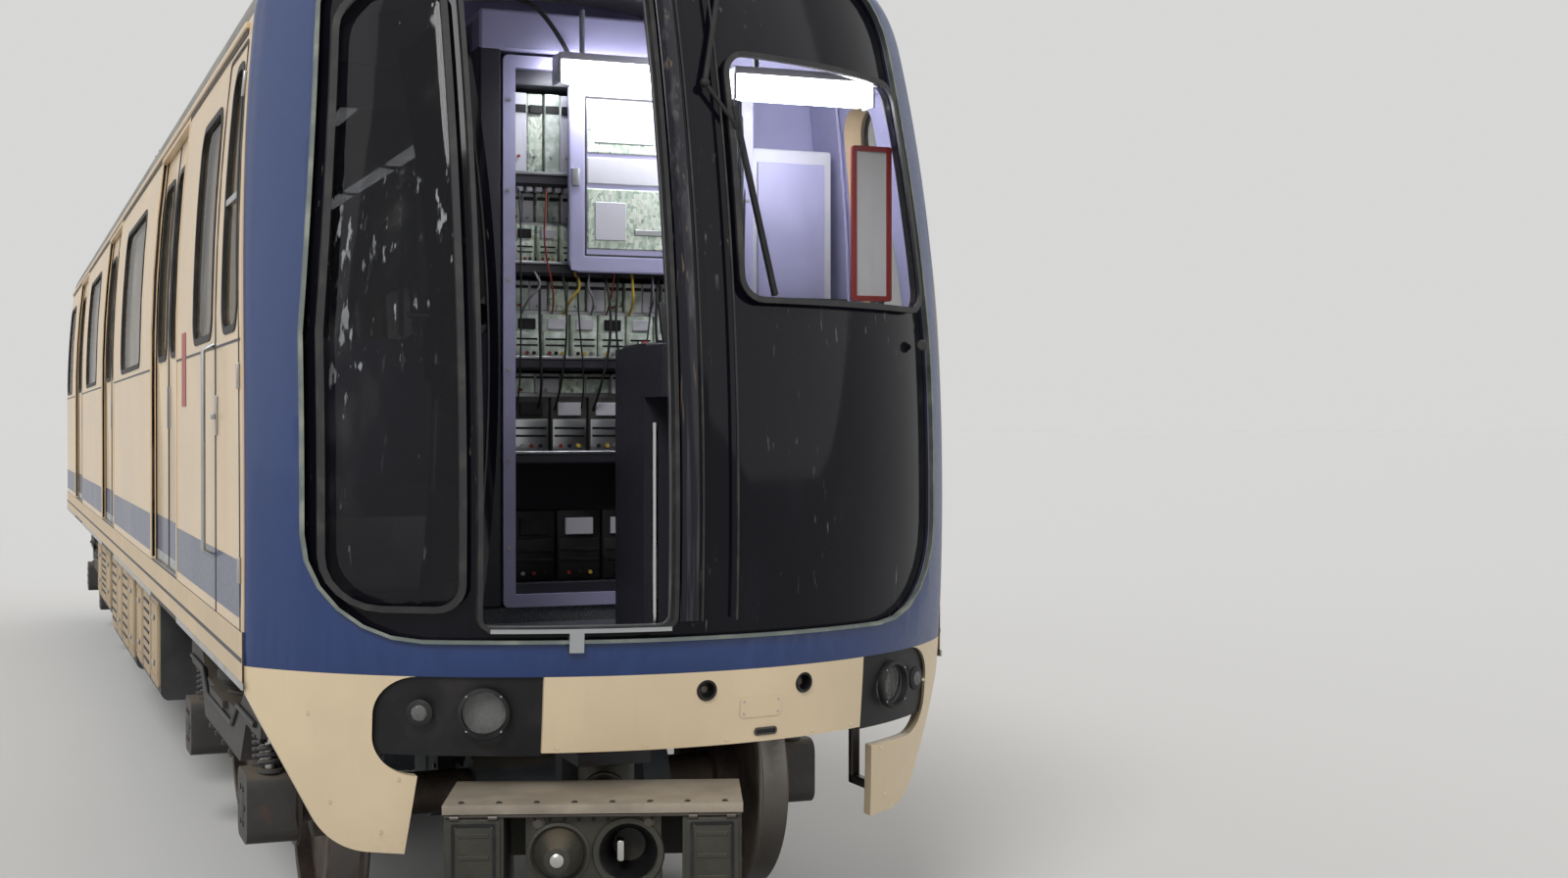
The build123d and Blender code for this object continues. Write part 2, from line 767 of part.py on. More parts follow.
def nose_deck():
    """The deck inside the nose, up to its shell."""
    plate = block(-inner_x, inner_x, nose_y, cab_y - 100, deck_z - 20, deck_z - joint_gap)
    beam = block(-inner_x, inner_x, nose_y + 640, nose_y + 720, sill_z, deck_z - joint_gap)
    return (plate & nose_form(shell + joint_gap)) + beam


def add_floor():
    """The floor: a lower plate in the cab, and the saloon's floor to the end wall."""
    step = nose_y + cab_floor_length
    x = inner_x - joint_gap
    low = block(-x, x, nose_y, step - joint_gap / 2, deck_z, floor_z - cab_floor_drop)
    low &= nose_form(shell + joint_gap)
    high = block(-x, x, step + joint_gap / 2, end_wall_y - joint_gap, deck_z, floor_z)
    nodes["floor_panel"] = Compound(children=[part_of(low), part_of(high)])


def add_end_wall():
    """The rear wall with its gangway doorway, and the door on its pivot pins."""
    half = 350.0
    sill = floor_z + inner_door_sill
    head = sill + inner_door_height
    base = body_prism(0.0, floor_z + joint_gap, end_wall_y, tail_y)
    base -= block(-half, half, end_wall_y - 1, tail_y + 1, sill, head)
    pin_x = -half + door_clearance + 18
    pin_y = end_wall_y + door_thickness / 2
    hole = pivot_pin + pivot_gap
    base -= rod((pin_x, pin_y, sill - 20), (pin_x, pin_y, head + 25), hole)
    nodes["end_wall"] = base
    nodes["end_door"] = swing_door(-half, half, pin_x, pin_y, sill, head)


def swing_door(x0, x1, pin_x, pin_y, sill, head):
    """A flat door leaf with a window and with pivot pins below and above."""
    leaf = block(pin_x, x1 - door_clearance, pin_y - door_thickness / 2,
                 pin_y + door_thickness / 2, sill + door_clearance, head - door_clearance)
    leaf += rod((pin_x, pin_y, sill + door_clearance), (pin_x, pin_y, head - door_clearance), door_thickness / 2)
    window = front_window(x0 + 110, x1 - 110, rail_z + window_low_height, head - 150, 60.0,
                          pin_y - 100, pin_y + 100)
    leaf -= window
    leaf += rod((pin_x, pin_y, sill - 19.7), (pin_x, pin_y, head + 20), pivot_pin)
    pane = front_window(x0 + 110 + joint_gap, x1 - 110 - joint_gap, rail_z + window_low_height + joint_gap,
                        head - 150 - joint_gap, 60.0, pin_y - 4, pin_y + 4)
    return Compound(children=[part_of(leaf), part_of(pane)])


def ceiling_arc(z_shift):
    """Three points of the ceiling's arc in the front view, at a vertical shift."""
    x = side_x(door_top_z + 70, wall) - 1.0
    return (-x, door_top_z + 50 + z_shift), (0, door_top_z + 290 + z_shift), (x, door_top_z + 50 + z_shift)


def ceiling_z(x):
    """Height of the ceiling's underside."""
    left, top, right = ceiling_arc(0.0)
    rise = top[1] - left[1]
    radius = (right[0] ** 2 + rise ** 2) / (2 * rise)
    return top[1] - radius + math.sqrt(radius ** 2 - x ** 2)


def add_ceiling():
    """The vaulted ceiling panel of the cab and the saloon."""
    low = ceiling_arc(0.0)
    high = ceiling_arc(14.0)
    with BuildSketch(Plane.XZ) as vault:
        with BuildLine():
            ThreePointArc(*low)
            ThreePointArc(*high)
            Line(low[0], high[0])
            Line(low[2], high[2])
        make_face()
    y0 = nose_y + 820
    whole = Pos(0, y0, 0) * extrude(vault.sketch, amount=end_wall_y - joint_gap - y0, dir=(0, 1, 0))
    cut = block(-1200, 1200, cab_y - joint_gap, cab_y + partition + joint_gap, 0, 5000)
    pieces = (whole - cut).solids()
    nodes["ceiling_panel"] = Compound(children=list(pieces))


def add_partition():
    """The wall behind the cab, with its doorway, and the cab door on its pivot pins."""
    x0 = cab_door_left
    x1 = cab_door_left + cab_door_width
    sill = floor_z + inner_door_sill
    head = sill + inner_door_height - 60
    panel = body_prism(wall + joint_gap, floor_z + joint_gap, cab_y, cab_y + partition)
    panel &= block(-1200, 1200, cab_y, cab_y + partition, floor_z, rail_z + 3330)
    panel -= block(x0, x1, cab_y - 1, cab_y + partition + 1, sill, head)
    pin_x = x0 + door_clearance + 18
    pin_y = cab_y + partition / 2
    panel -= rod((pin_x, pin_y, sill - 20), (pin_x, pin_y, head + 25), pivot_pin + pivot_gap)
    nodes["cab_partition"] = panel
    nodes["cab_door"] = swing_door(x0, x1, pin_x, pin_y, sill, head)


def add_cab_interior():
    """Equipment cabinet, driver's desk and seat."""
    base = floor_z + joint_gap
    y0 = nose_y + cab_floor_length + 10
    y1 = cab_y - joint_gap
    x0 = -245.0
    x1 = 640.0
    top = rail_z + 2940.0
    cabinet = block(x0, x1, y0, y1, base, top)
    # Shelf pockets of the cabinet, as heights above the floor
    for low, high in ((80, 480), (520, 800), (840, 1120), (1160, 1420), (1460, 1760)):
        cabinet -= block(x0 + 40, x1 - 40, y0 - 1, y0 + 180, floor_z + low, floor_z + high)
    gear = [part_of(cabinet)] + rack_units(x0 + 40, x1 - 40, y0) + [cabinet_window(y0)]
    nodes["equipment_cabinet"] = Compound(children=gear)

    base -= cab_floor_drop
    desk = block(60, 1000, nose_y + 560, nose_y + 860, base, floor_z + 700)
    desk += block(60, 1000, nose_y + 380, nose_y + 860, floor_z + 700, floor_z + 860)
    desk &= nose_form(shell + 20.0)
    desk &= block(0, inner_x - 10, nose_y, cab_y, 0, 5000)
    nodes["control_desk"] = desk

    seat_y = nose_y + 1000.0
    seat = rod((780, seat_y, base), (780, seat_y, floor_z), 120.0)
    seat += rod((780, seat_y, floor_z - 5), (780, seat_y, floor_z + 430), 45.0)
    seat += block(570, 990, seat_y - 120, seat_y + 130, floor_z + 420, floor_z + 520)
    seat += block(580, 980, seat_y + 60, seat_y + 130, floor_z + 500, floor_z + 1060)
    nodes["driver_seat"] = seat


def rack_units(x0, x1, y0):
    """Rows of relay and card units that stand on the cabinet's shelves."""
    units = []
    # Height over the floor, number of units, height, depth behind the cabinet's front
    for low, count, tall, back in ((80, 5, 240, 60), (520, 6, 190, 40), (840, 8, 150, 30), (1160, 10, 130, 22)):
        pitch = (x1 - x0) / count
        for index in range(count):
            a = x0 + index * pitch + 4
            base = floor_z + low + joint_gap
            units.append(block(a, a + pitch - 8, y0 + back, y0 + 180 - joint_gap, base, base + tall))
    return units


def cabinet_window(y0):
    """The hinged frame before the cabinet's upper shelves, on two straps."""
    x0, x1 = cabinet_window_x
    low = rail_z + cabinet_window_low
    high = rail_z + cabinet_window_top
    leaf = block(x0, x1, y0 - 58, y0 - 34, low, high)
    leaf = fillet(leaf.edges().filter_by(Axis.Y), 40.0)
    leaf -= block(x0 + 55, x1 - 55, y0 - 60, y0 - 30, low + 55, high - 55)
    leaf += block(x0 + 50, x1 - 50, y0 - 52, y0 - 44, low + 50, high - 50)
    # Straps that meet the cabinet between its shelf openings and above them
    for z0, z1 in ((floor_z + 1426, floor_z + 1454), (floor_z + 1762, high - 4)):
        leaf += block(x1 - 70, x1 - 42, y0 - 50, y0 - joint_gap, z0, z1)
    return part_of(leaf)


def add_benches():
    """Long benches against the side walls, between the doorways."""
    # Seat profile in the front view: distance from the wall's inner face, height over the floor
    profile = [(3, 0.3), (150, 0.3), (150, 300), (430, 330), (440, 420), (90, 400), (55, 860), (3, 860)]
    benches = []
    for bay in wall_bays():
        y0, y1, pocket_front, pocket_rear = bay
        a = y0 + (60 if pocket_front else 90)
        b = y1 - (60 if pocket_rear else 760)
        for side in (-1, 1):
            if not pocket_front:
                continue
            points = [(side * (inner_x - d), floor_z + h) for d, h in profile]
            benches.append(front_prism(points, [0, 0, 0, 30, 30, 20, 20, 0], a, b))
    nodes["benches"] = Compound(children=[part_of(bench) for bench in benches])


def add_poles():
    """Upright poles beside the doorways, and the slim pole in the front doorway."""
    poles = []
    for y0, y1 in doorways():
        for y in (y0 - 30, y1 + 30):
            for x in (-560, 560):
                top = ceiling_z(577) - joint_gap
                poles.append(rod((x, y, floor_z + joint_gap), (x, y, top), 17.0))
    x = front_door_right - 25
    y = nose_face_y(x, floor_z, shell) + 45
    poles.append(rod((x, y, floor_z - cab_floor_drop + joint_gap), (x, y, rail_z + 1740), 9.0))
    for side in (-1, 1):
        rail = rod((side * 560, cab_y + 250, rail_z + 3010), (side * 560, end_wall_y - 165, rail_z + 3010), 15.0)
        poles.append(rail)
    nodes["grab_poles"] = Compound(children=joined(poles))


def add_underfloor():
    """Equipment boxes hung under the floor, between the bogies."""
    # Side (-1 left, 1 right), start, length, depth below the sill
    boxes = [(-1, -2800, 1500, 520), (-1, -1150, 2100, 560), (-1, 1100, 1600, 480),
             (1, -2800, 2200, 560), (1, -450, 1200, 430), (1, 900, 1900, 540)]
    pieces = []
    for side, start, length, depth in boxes:
        x0, x1 = sorted((side * 380.0, side * 1090.0))
        top = sill_z - joint_gap
        box = block(x0, x1, start, start + length, top - depth, top)
        lower = [e for e in box.edges().filter_by(Axis.Y) if e.center().Z < top - 10]
        pieces.append(fillet(lower, 40.0))
    tank = rod((0, -1500, sill_z - 175 - joint_gap), (0, -300, sill_z - 175 - joint_gap), 150.0)
    for y in (-1300, -540):
        tank += block(-345, 345, y, y + 60, sill_z - 35, sill_z - joint_gap)
        tank += block(-120, 120, y, y + 60, sill_z - 130, sill_z - 30)
    pieces.append(tank)
    nodes["equipment_boxes"] = Compound(children=[part_of(piece) for piece in pieces])


def add_roof_vents():
    """Low ventilation boxes along the roof."""
    # Start and length along the car
    vents = [(-5600, 1500), (-3300, 1500), (-1000, 1500), (4700, 1500)]
    pieces = []
    for start, length in vents:
        points = [(-720, roof_z - 140), (720, roof_z - 140), (640, roof_z + 95), (-640, roof_z + 95)]
        vent = front_prism(points, [0, 0, 60, 60], start, start + length)
        pieces.append(part_of(vent - body_prism(-joint_gap, eaves_z, start - 10, start + length + 10)))
    nodes["roof_vents"] = Compound(children=pieces)


def bogie_centres():
    return (-pivot_distance / 2, pivot_distance / 2)


def add_wheelset(name, y):
    """Axle, two wheels and journals, turned as one body about its axis."""
    tread = wheel_diameter / 2
    inside = wheel_x - 42.0
    outside = inside + wheel_width
    half_axle = frame_centre_x + axle_box_width / 2 - 12
    rim = tread - 60
    hub = 125.0
    web = (inside + outside) / 2
    # Half profile: distance from the car's middle, radius
    points = [(0, 0), (0, axle_radius), (inside - 30, axle_radius), (inside - 30, hub), (web - 14, hub),
              (web - 14, rim), (inside, rim), (inside, tread + flange_depth - 8),
              (inside + 6, tread + flange_depth), (inside + flange_width - 12, tread + flange_depth),
              (inside + flange_width, tread + 3), (outside - 8, tread - 3), (outside, tread - 11),
              (outside, rim), (web + 14, rim), (web + 14, hub), (outside - 10, hub),
              (outside - 10, journal_radius), (half_axle, journal_radius), (half_axle, 0)]
    with BuildSketch(Plane.XY) as half:
        with BuildLine():
            Polyline(*points, close=True)
        make_face()
    turned = revolve(half.sketch, Axis.X)
    whole = turned + mirror(turned, about=Plane.YZ)
    nodes[name] = Pos(0, y, wheel_z) * whole


def add_bogie(number, y):
    """Bogie frame with axle boxes, its springs and motors, all about one pivot."""
    half_base = wheelbase / 2
    x_in = frame_centre_x - frame_beam_width / 2
    x_out = frame_centre_x + frame_beam_width / 2
    beam_low = rail_z + 520.0
    end_low = rail_z + 680.0
    beam_top = rail_z + 780.0
    end = half_base + 210.0
    side_view = [(-end, end_low), (-half_base + 190, end_low), (-half_base + 360, beam_low),
                 (half_base - 360, beam_low), (half_base - 190, end_low), (end, end_low),
                 (end, beam_top), (half_base - 250, beam_top), (half_base - 420, beam_top - 90),
                 (-half_base + 420, beam_top - 90), (-half_base + 250, beam_top), (-end, beam_top)]
    seat_top = beam_top - 90
    pieces = []
    for side in (-1, 1):
        x0, x1 = sorted((side * x_in, side * x_out))
        beam = side_prism(side_view, [20, 40, 40, 40, 40, 20, 20, 40, 40, 40, 40, 20], x0, x1)
        x0, x1 = sorted((side * 560, side * (x_out + 20)))
        beam += block(x0, x1, -235, 235, seat_top - 30, seat_top)
        pieces.append(part_of(beam))
    middle = block(-200, 200, -230, 230, rail_z + 560, rail_z + 680)
    for way in (-1, 1):
        y0, y1 = sorted((way * 110, way * 230))
        middle += block(-x_in + joint_gap, x_in - joint_gap, y0, y1, rail_z + 540, seat_top - 30 - joint_gap)
    middle += rod((0, 0, rail_z + 560), (0, 0, rail_z + 740), 130.0)
    middle -= rod((0, 0, rail_z + 500), (0, 0, rail_z + 800), pivot_radius + 1.0)
    pieces.append(part_of(middle))
    for side in (-1, 1):
        for way in (-1, 1):
            pieces.append(brake_unit(side, way))
    springs = []
    for side in (-1, 1):
        for way in (-1, 1):
            pieces.append(axle_box(side, way * half_base))
            z0 = wheel_z + axle_box_height / 2 + joint_gap
            for shift in (-70, 70):
                foot = (side * frame_centre_x, way * half_base + shift, z0)
                head = (side * frame_centre_x, way * half_base + shift, end_low - joint_gap)
                springs.append(rod(foot, head, 48.0))
        foot = (side * air_spring_x, 0, seat_top + joint_gap)
        head = (side * air_spring_x, 0, sill_z - air_spring_gap)
        springs.append(rod(foot, head, air_spring_radius))
    place = Pos(0, y, 0)
    nodes[f"bogie_frame_{number}"] = place * Compound(children=pieces)
    nodes[f"bogie_springs_{number}"] = place * Compound(children=springs)
    nodes[f"motors_{number}"] = place * Compound(children=[axle_motor(way) for way in (-1, 1)])


def brake_unit(side, way):
    """A tread brake: curved shoe, cylinder and bracket on the transom."""
    x0, x1 = sorted((side * (brake_x - 38), side * (brake_x + 38)))
    axle = way * wheelbase / 2
    shoe_y = axle - way * (wheel_diameter / 2 + 48)
    back_y = axle - way * (wheel_diameter / 2 + 62)
    beam_y = way * (230 + joint_gap)
    y0, y1 = sorted((shoe_y, axle - way * (wheel_diameter / 2 - 60)))
    shoe = block(x0, x1, y0, y1, wheel_z - 150, wheel_z + 150)
    shoe -= rod((-1200, axle, wheel_z), (1200, axle, wheel_z), wheel_diameter / 2 + brake_clearance)
    y0, y1 = sorted((shoe_y + way * 10, back_y - way * 20))
    unit = shoe + block(x0 + 12, x1 - 12, y0, y1, wheel_z - 70, wheel_z + 175)
    unit += rod((side * brake_x, back_y, wheel_z + 20), (side * brake_x, back_y - way * 90, wheel_z + 20), 52.0)
    y0, y1 = sorted((beam_y, back_y))
    unit += block(x0 + 6, x1 - 6, y0, y1, wheel_z + 110, wheel_z + 175)
    return part_of(unit)


def axle_box(side, y):
    """A bearing box around the end of an axle, with a blind bore."""
    x0 = side * (frame_centre_x - axle_box_width / 2)
    x1 = side * (frame_centre_x + axle_box_width / 2)
    low, high = sorted((x0, x1))
    box = block(low, high, y - axle_box_length / 2, y + axle_box_length / 2,
                wheel_z - axle_box_height / 2, wheel_z + axle_box_height / 2)
    box = fillet(box.edges().filter_by(Axis.X), 50.0)
    bore_end = side * (frame_centre_x + axle_box_width / 2 - 8)
    box -= rod((x0 - side * 5, y, wheel_z), (bore_end, y, wheel_z), journal_radius + bearing_gap)
    return box


def axle_motor(way):
    """An axle-hung motor: round block, bearing tube on the axle and gear case."""
    axle_y = way * wheelbase / 2
    y = axle_y - way * motor_offset
    z = wheel_z + 40
    motor = rod((-motor_length / 2, y, z), (motor_length / 2, y, z), motor_radius)
    tube = rod((-250, axle_y, wheel_z), (430, axle_y, wheel_z), axle_radius + 45)
    web_y0, web_y1 = sorted((y, axle_y))
    motor += tube
    motor += block(-250, 250, web_y0, web_y1, wheel_z - 60, wheel_z + 60)
    case = rod((330, axle_y, wheel_z), (430, axle_y, wheel_z), 235.0)
    case += rod((290, y, z), (430, y, z), 150.0)
    c0, c1 = sorted((y, axle_y))
    case += block(330, 430, c0, c1, wheel_z - 90, wheel_z + 130)
    motor += case
    nose_y0, nose_y1 = sorted((way * (230 + joint_gap), y))
    motor += block(-90, 90, nose_y0, nose_y1, rail_z + 560, rail_z + 640)
    motor -= rod((-300, axle_y, wheel_z), (480, axle_y, wheel_z), axle_radius + bearing_gap)
    return motor


def coupler_brackets():
    """The forks under the underframe that hold the two couplers' pivot pins."""
    z = rail_z + coupler_height
    brackets = []
    # Place of the pivot along the car, and the way the coupler points
    for y, way in ((nose_y + coupler_setback, -1), (tail_y - coupler_setback, 1)):
        back0, back1 = sorted((y - way * 100, y - way * 180))
        fork = block(-120, 120, back0, back1, z - 122, sill_z + 10)
        for low, high in ((z - 122, z - eye_radius - 2), (z + eye_radius + 2, z + 122)):
            y0, y1 = sorted((y + way * 90, y - way * 105))
            fork += block(-120, 120, y0, y1, low, high)
        fork += rod((0, y, z - 110), (0, y, z + 110), eye_pin)
        brackets.append(fork)
    return brackets


def add_front_coupler():
    """Automatic coupler: eye, shaft, head with cone and funnel, side boxes, top cover."""
    y = nose_y + coupler_setback
    z = rail_z + coupler_height
    front = y - coupler_reach
    half = coupler_width / 2
    top = rail_z + cover_height
    head_back = front + cover_depth
    face = front + 35
    coupler = rod((0, y, z - eye_radius), (0, y, z + eye_radius), eye_radius + 10)
    coupler += rod((0, y - 30, z), (0, head_back - 60, z), 62.0)
    coupler += block(-185, 185, face, head_back - 30, z - 150, top - cover_thickness)
    coupler += block(-half + 2, half - 2, head_back - 120, head_back - 40, z - 60, z + 60)
    for side in (-1, 1):
        x0, x1 = sorted((side * (half - 165), side * (half - 4)))
        box = block(x0, x1, front + 12, head_back - 15, z - 190, top - cover_thickness)
        coupler += fillet(box.edges().filter_by(Axis.Y), 18.0)
    cover = block(-half, half, front, head_back, top - cover_thickness, top)
    coupler += cover
    cone = Pos(-95, face - 45, z - 10) * Cone(72.0, 34.0, 100.0, rotation=(90, 0, 0))
    coupler += cone
    funnel = Pos(95, face + 54, z - 10) * Cone(82.0, 45.0, 120.0, rotation=(-90, 0, 0))
    coupler -= funnel
    coupler -= rod((0, y, z - 120), (0, y, z + 120), eye_pin + 1.0)
    axis = Axis((0, y, z), (0, 0, 1))
    nodes["coupler_front"] = coupler.rotate(axis, -coupler_rest_swing)


def coupler_front_tip():
    """How far the swung coupler's cover stands out ahead of the nose."""
    swing = math.radians(coupler_rest_swing)
    forward = coupler_reach * math.cos(swing) + coupler_width / 2 * math.sin(swing)
    return forward - coupler_setback


def add_rear_coupler():
    """Bar coupler at the rear, as long as the front one stands out."""
    y = tail_y - coupler_setback
    z = rail_z + coupler_height
    end = tail_y + coupler_front_tip()
    bar = rod((0, y, z - eye_radius), (0, y, z + eye_radius), eye_radius + 10)
    bar += rod((0, y + 30, z), (0, end - 20, z), 55.0)
    bar += rod((0, end - 30, z), (0, end, z), 105.0)
    bar += rod((0, end - 220, z), (0, end - 150, z), 80.0)
    bar -= rod((0, y, z - 120), (0, y, z + 120), eye_pin + 1.0)
    nodes["coupler_rear"] = bar


def panto_points():
    """Pivot, knee and head of the folded pantograph, as (y, z)."""
    pivot = (panto_y, roof_z + panto_base_lift + 60)
    low = math.radians(panto_lower_angle)
    high = math.radians(panto_upper_angle)
    knee = (pivot[0] + panto_lower_arm * math.cos(low), pivot[1] + panto_lower_arm * math.sin(low))
    head = (knee[0] - panto_upper_arm * math.cos(high), knee[1] + panto_upper_arm * math.sin(high))
    return pivot, knee, head


def add_pantograph():
    """Single-arm pantograph, folded down on the roof."""
    pivot, knee, head = panto_points()
    pin = 20.0
    hole = pin + pivot_gap
    base_z = roof_z + panto_base_lift
    base = None
    for x0, x1 in ((-420, -350), (350, 420)):
        rail = block(x0, x1, pivot[0] - 250, pivot[0] + 1150, base_z - 40, base_z)
        base = rail if base is None else base + rail
    for y0 in (-250, 1080):
        base += block(-420, 420, pivot[0] + y0, pivot[0] + y0 + 70, base_z - 40, base_z)
    base += block(-350, 350, pivot[0] - 40, pivot[0] + 40, base_z - 40, base_z)
    for side in (-1, 1):
        x0, x1 = sorted((side * 205, side * 245))
        ear = block(x0, x1, pivot[0] - 40, pivot[0] + 40, base_z - 20, pivot[1] + 35)
        base += ear
    base -= rod((-300, *pivot), (300, *pivot), hole)
    for x in (-385, 385):
        for y in (pivot[0] - 215, pivot[0] + 1115):
            base += rod((x, y, roof_z - 90), (x, y, base_z - 20), 45.0)
    base -= body_prism(-joint_gap, eaves_z, pivot[0] - 400, pivot[0] + 1300)
    nodes["pantograph_base"] = part_of(base)

    lower = rod((-200, *pivot), (200, *pivot), 40.0)
    lower += rod((-242, *pivot), (242, *pivot), pin)
    lower += rod((0, *pivot), (0, *knee), 33.0)
    lower += rod((-48, *knee), (48, *knee), 38.0)
    lower -= rod((-60, *knee), (60, *knee), hole)
    nodes["pantograph_lower_arm"] = lower

    upper = rod((-110, *knee), (110, *knee), pin)
    for side in (-1, 1):
        upper += rod((side * 54, *knee), (side * 112, *knee), 32.0)
        upper += rod((side * 88, *knee), (side * 88, *head), 20.0)
    upper += rod((-150, *head), (150, *head), pin)
    nodes["pantograph_upper_arm"] = upper

    crown = None
    lift = 70.0
    for side in (-1, 1):
        x0, x1 = sorted((side * 116, side * 144))
        plate = block(x0, x1, head[0] - 190, head[0] + 190, head[1] - 30, head[1] + lift - 15)
        crown = plate if crown is None else crown + plate
    for way in (-1, 1):
        y = head[0] + way * 165
        crown += block(-480, 480, y - 22, y + 22, head[1] + lift - 20, head[1] + lift)
        for side in (-1, 1):
            crown += rod((side * 475, y, head[1] + lift - 14), (side * 690, y, head[1] + lift - 110), 12.0)
    crown -= rod((-200, *head), (200, *head), hole)
    nodes["pantograph_head"] = crown


def build_all():
    """Make every node."""
    add_nose()
    add_side_wall(-1, "side_wall_left")
    add_side_wall(1, "side_wall_right")
    add_side_windows()
    add_door_leaves()
    add_roof()
    add_underframe()
    add_floor()
    add_end_wall()
    add_ceiling()
    add_partition()
    add_cab_interior()
    add_benches()
    add_poles()
    add_underfloor()
    add_roof_vents()
    for number, y in enumerate(bogie_centres(), start=1):
        add_bogie(number, y)
        for place, way in ((2 * number - 1, -1), (2 * number, 1)):
            add_wheelset(f"wheelset_{place}", y + way * wheelbase / 2)
    add_front_coupler()
    add_rear_coupler()
    add_pantograph()


build_all()
os.makedirs("parts", exist_ok=True)
for node_name, shape in nodes.items():
    export_step(shape, f"parts/{node_name}.step")
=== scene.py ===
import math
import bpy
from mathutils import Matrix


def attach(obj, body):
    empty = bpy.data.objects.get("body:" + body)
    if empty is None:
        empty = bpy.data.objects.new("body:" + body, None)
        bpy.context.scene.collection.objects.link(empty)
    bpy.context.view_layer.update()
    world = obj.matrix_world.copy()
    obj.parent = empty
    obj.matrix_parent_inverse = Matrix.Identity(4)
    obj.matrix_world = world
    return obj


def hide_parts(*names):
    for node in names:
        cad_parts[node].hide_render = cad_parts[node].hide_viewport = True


bl_info = {
    "name": "Metro car",
    "version": (1, 0, 0),
    "blender": (4, 5, 0),
    "location": "View3D > Sidebar > Metro car",
    "description": "Dresses the packed metro car with trim, interior, running gear detail and finishes",
    "category": "Object",
}

import bmesh
import bpy
from bpy.props import FloatProperty, FloatVectorProperty, IntProperty, PointerProperty
from mathutils import Matrix, Vector

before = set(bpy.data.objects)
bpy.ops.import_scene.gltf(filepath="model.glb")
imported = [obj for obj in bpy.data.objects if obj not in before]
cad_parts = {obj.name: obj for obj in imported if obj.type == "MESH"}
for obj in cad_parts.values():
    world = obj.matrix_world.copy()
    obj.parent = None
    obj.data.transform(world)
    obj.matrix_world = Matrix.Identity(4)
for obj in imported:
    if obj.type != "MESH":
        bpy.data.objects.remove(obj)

# Places on the car in metres: X across, Y along with the cab front at -Y, Z up from the wheel flanges' feet.
RAIL = 0.028
HALF = 1.150
NOSE = -7.200
TAIL = 7.200
FLOOR = RAIL + 1.120
CAB_FLOOR = FLOOR - 0.050
SILL = RAIL + 0.950
WAIST = RAIL + 2.000
EAVES = RAIL + 3.000
ROOF = RAIL + 3.390
SIDE_RADIUS = 7.700
NOSE_RADIUS = 1.350
LEAN_RADIUS = 4.625
LEAN_Z = RAIL + 1.500
PROUD = 0.012
SHELL = 0.040
WALL = 0.085
MASK_LOW = RAIL + 1.120
MASK_TOP = RAIL + 3.190
PANES = ((-5.7047, -5.067), (-2.333, -0.867), (1.867, 3.333), (6.067, 7.0697))
DOORWAYS = ((-4.350, -3.050), (-0.150, 1.150), (4.050, 5.350))
BENCHES = ((-2.990, -0.210), (1.210, 3.990), (5.410, 6.3547))
AXLES = (-5.575, -3.625, 3.625, 5.575)
PIVOTS = (-4.600, 4.600)
AXLE_REACH = 0.975
AXLE_BOX_X = 0.955
WHEEL_X = 0.768
WHEEL_Z = 0.458
WINDOW_LOW = RAIL + 2.030
WINDOW_HIGH = RAIL + 2.800
DOOR_HEAD = RAIL + 2.940
CABINET = NOSE + 1.150
RACK_X = -0.205
RACK_WIDTH = 0.805
DESK = NOSE + 0.400
COUPLER_PIN = NOSE + 0.767
COUPLER_FACE = COUPLER_PIN - 0.990
COUPLER_Z = RAIL + 0.570
COVER_Z = RAIL + 0.675
PANTO_PIVOT = (2.600, 3.568)
PANTO_KNEE = (3.843152, 3.698661)
PANTO_HEAD = (2.546319, 3.789344)
UP = (0, 0, 1)
GRID = 0.045


def nose_y(x, z, inset=0.0):
    """Y of the nose's surface at a point of the front view, that far inside its skin."""
    radius = NOSE_RADIUS - inset
    plan = NOSE + inset + radius - math.sqrt(radius ** 2 - x ** 2)
    drum = NOSE + LEAN_RADIUS - plan
    return NOSE + LEAN_RADIUS - math.sqrt(drum ** 2 - (z - LEAN_Z) ** 2)


def inward(x):
    """The level way into the nose at that x."""
    return Vector((-x / NOSE_RADIUS, 1.0, 0.0)).normalized()


def side_x(z, inset=0.0):
    """Half width of the body at a height, that far inside its skin."""
    rise = max(0.0, z - WAIST)
    return HALF - SIDE_RADIUS + math.sqrt((SIDE_RADIUS - inset) ** 2 - rise ** 2)


def mask_half(z):
    """Half width of the black front panel at a height."""
    wide = HALF - 0.140
    share = max(0.0, (z - WAIST) / (MASK_TOP - WAIST))
    return wide - (side_x(WAIST) - side_x(MASK_TOP)) * share


def on_nose(point):
    """Lays a flat point (x, distance proud of the skin, z) on the nose."""
    return Vector((point.x, nose_y(point.x, point.z, -point.y), point.z))


def on_side(side):
    """Gives what lays a flat point (distance proud of the skin, y, z) on that side."""
    return lambda point: Vector((side * side_x(point.z, -point.x), point.y, point.z))


SIDES = ((-1, "left", on_side(-1)), (1, "right", on_side(1)))


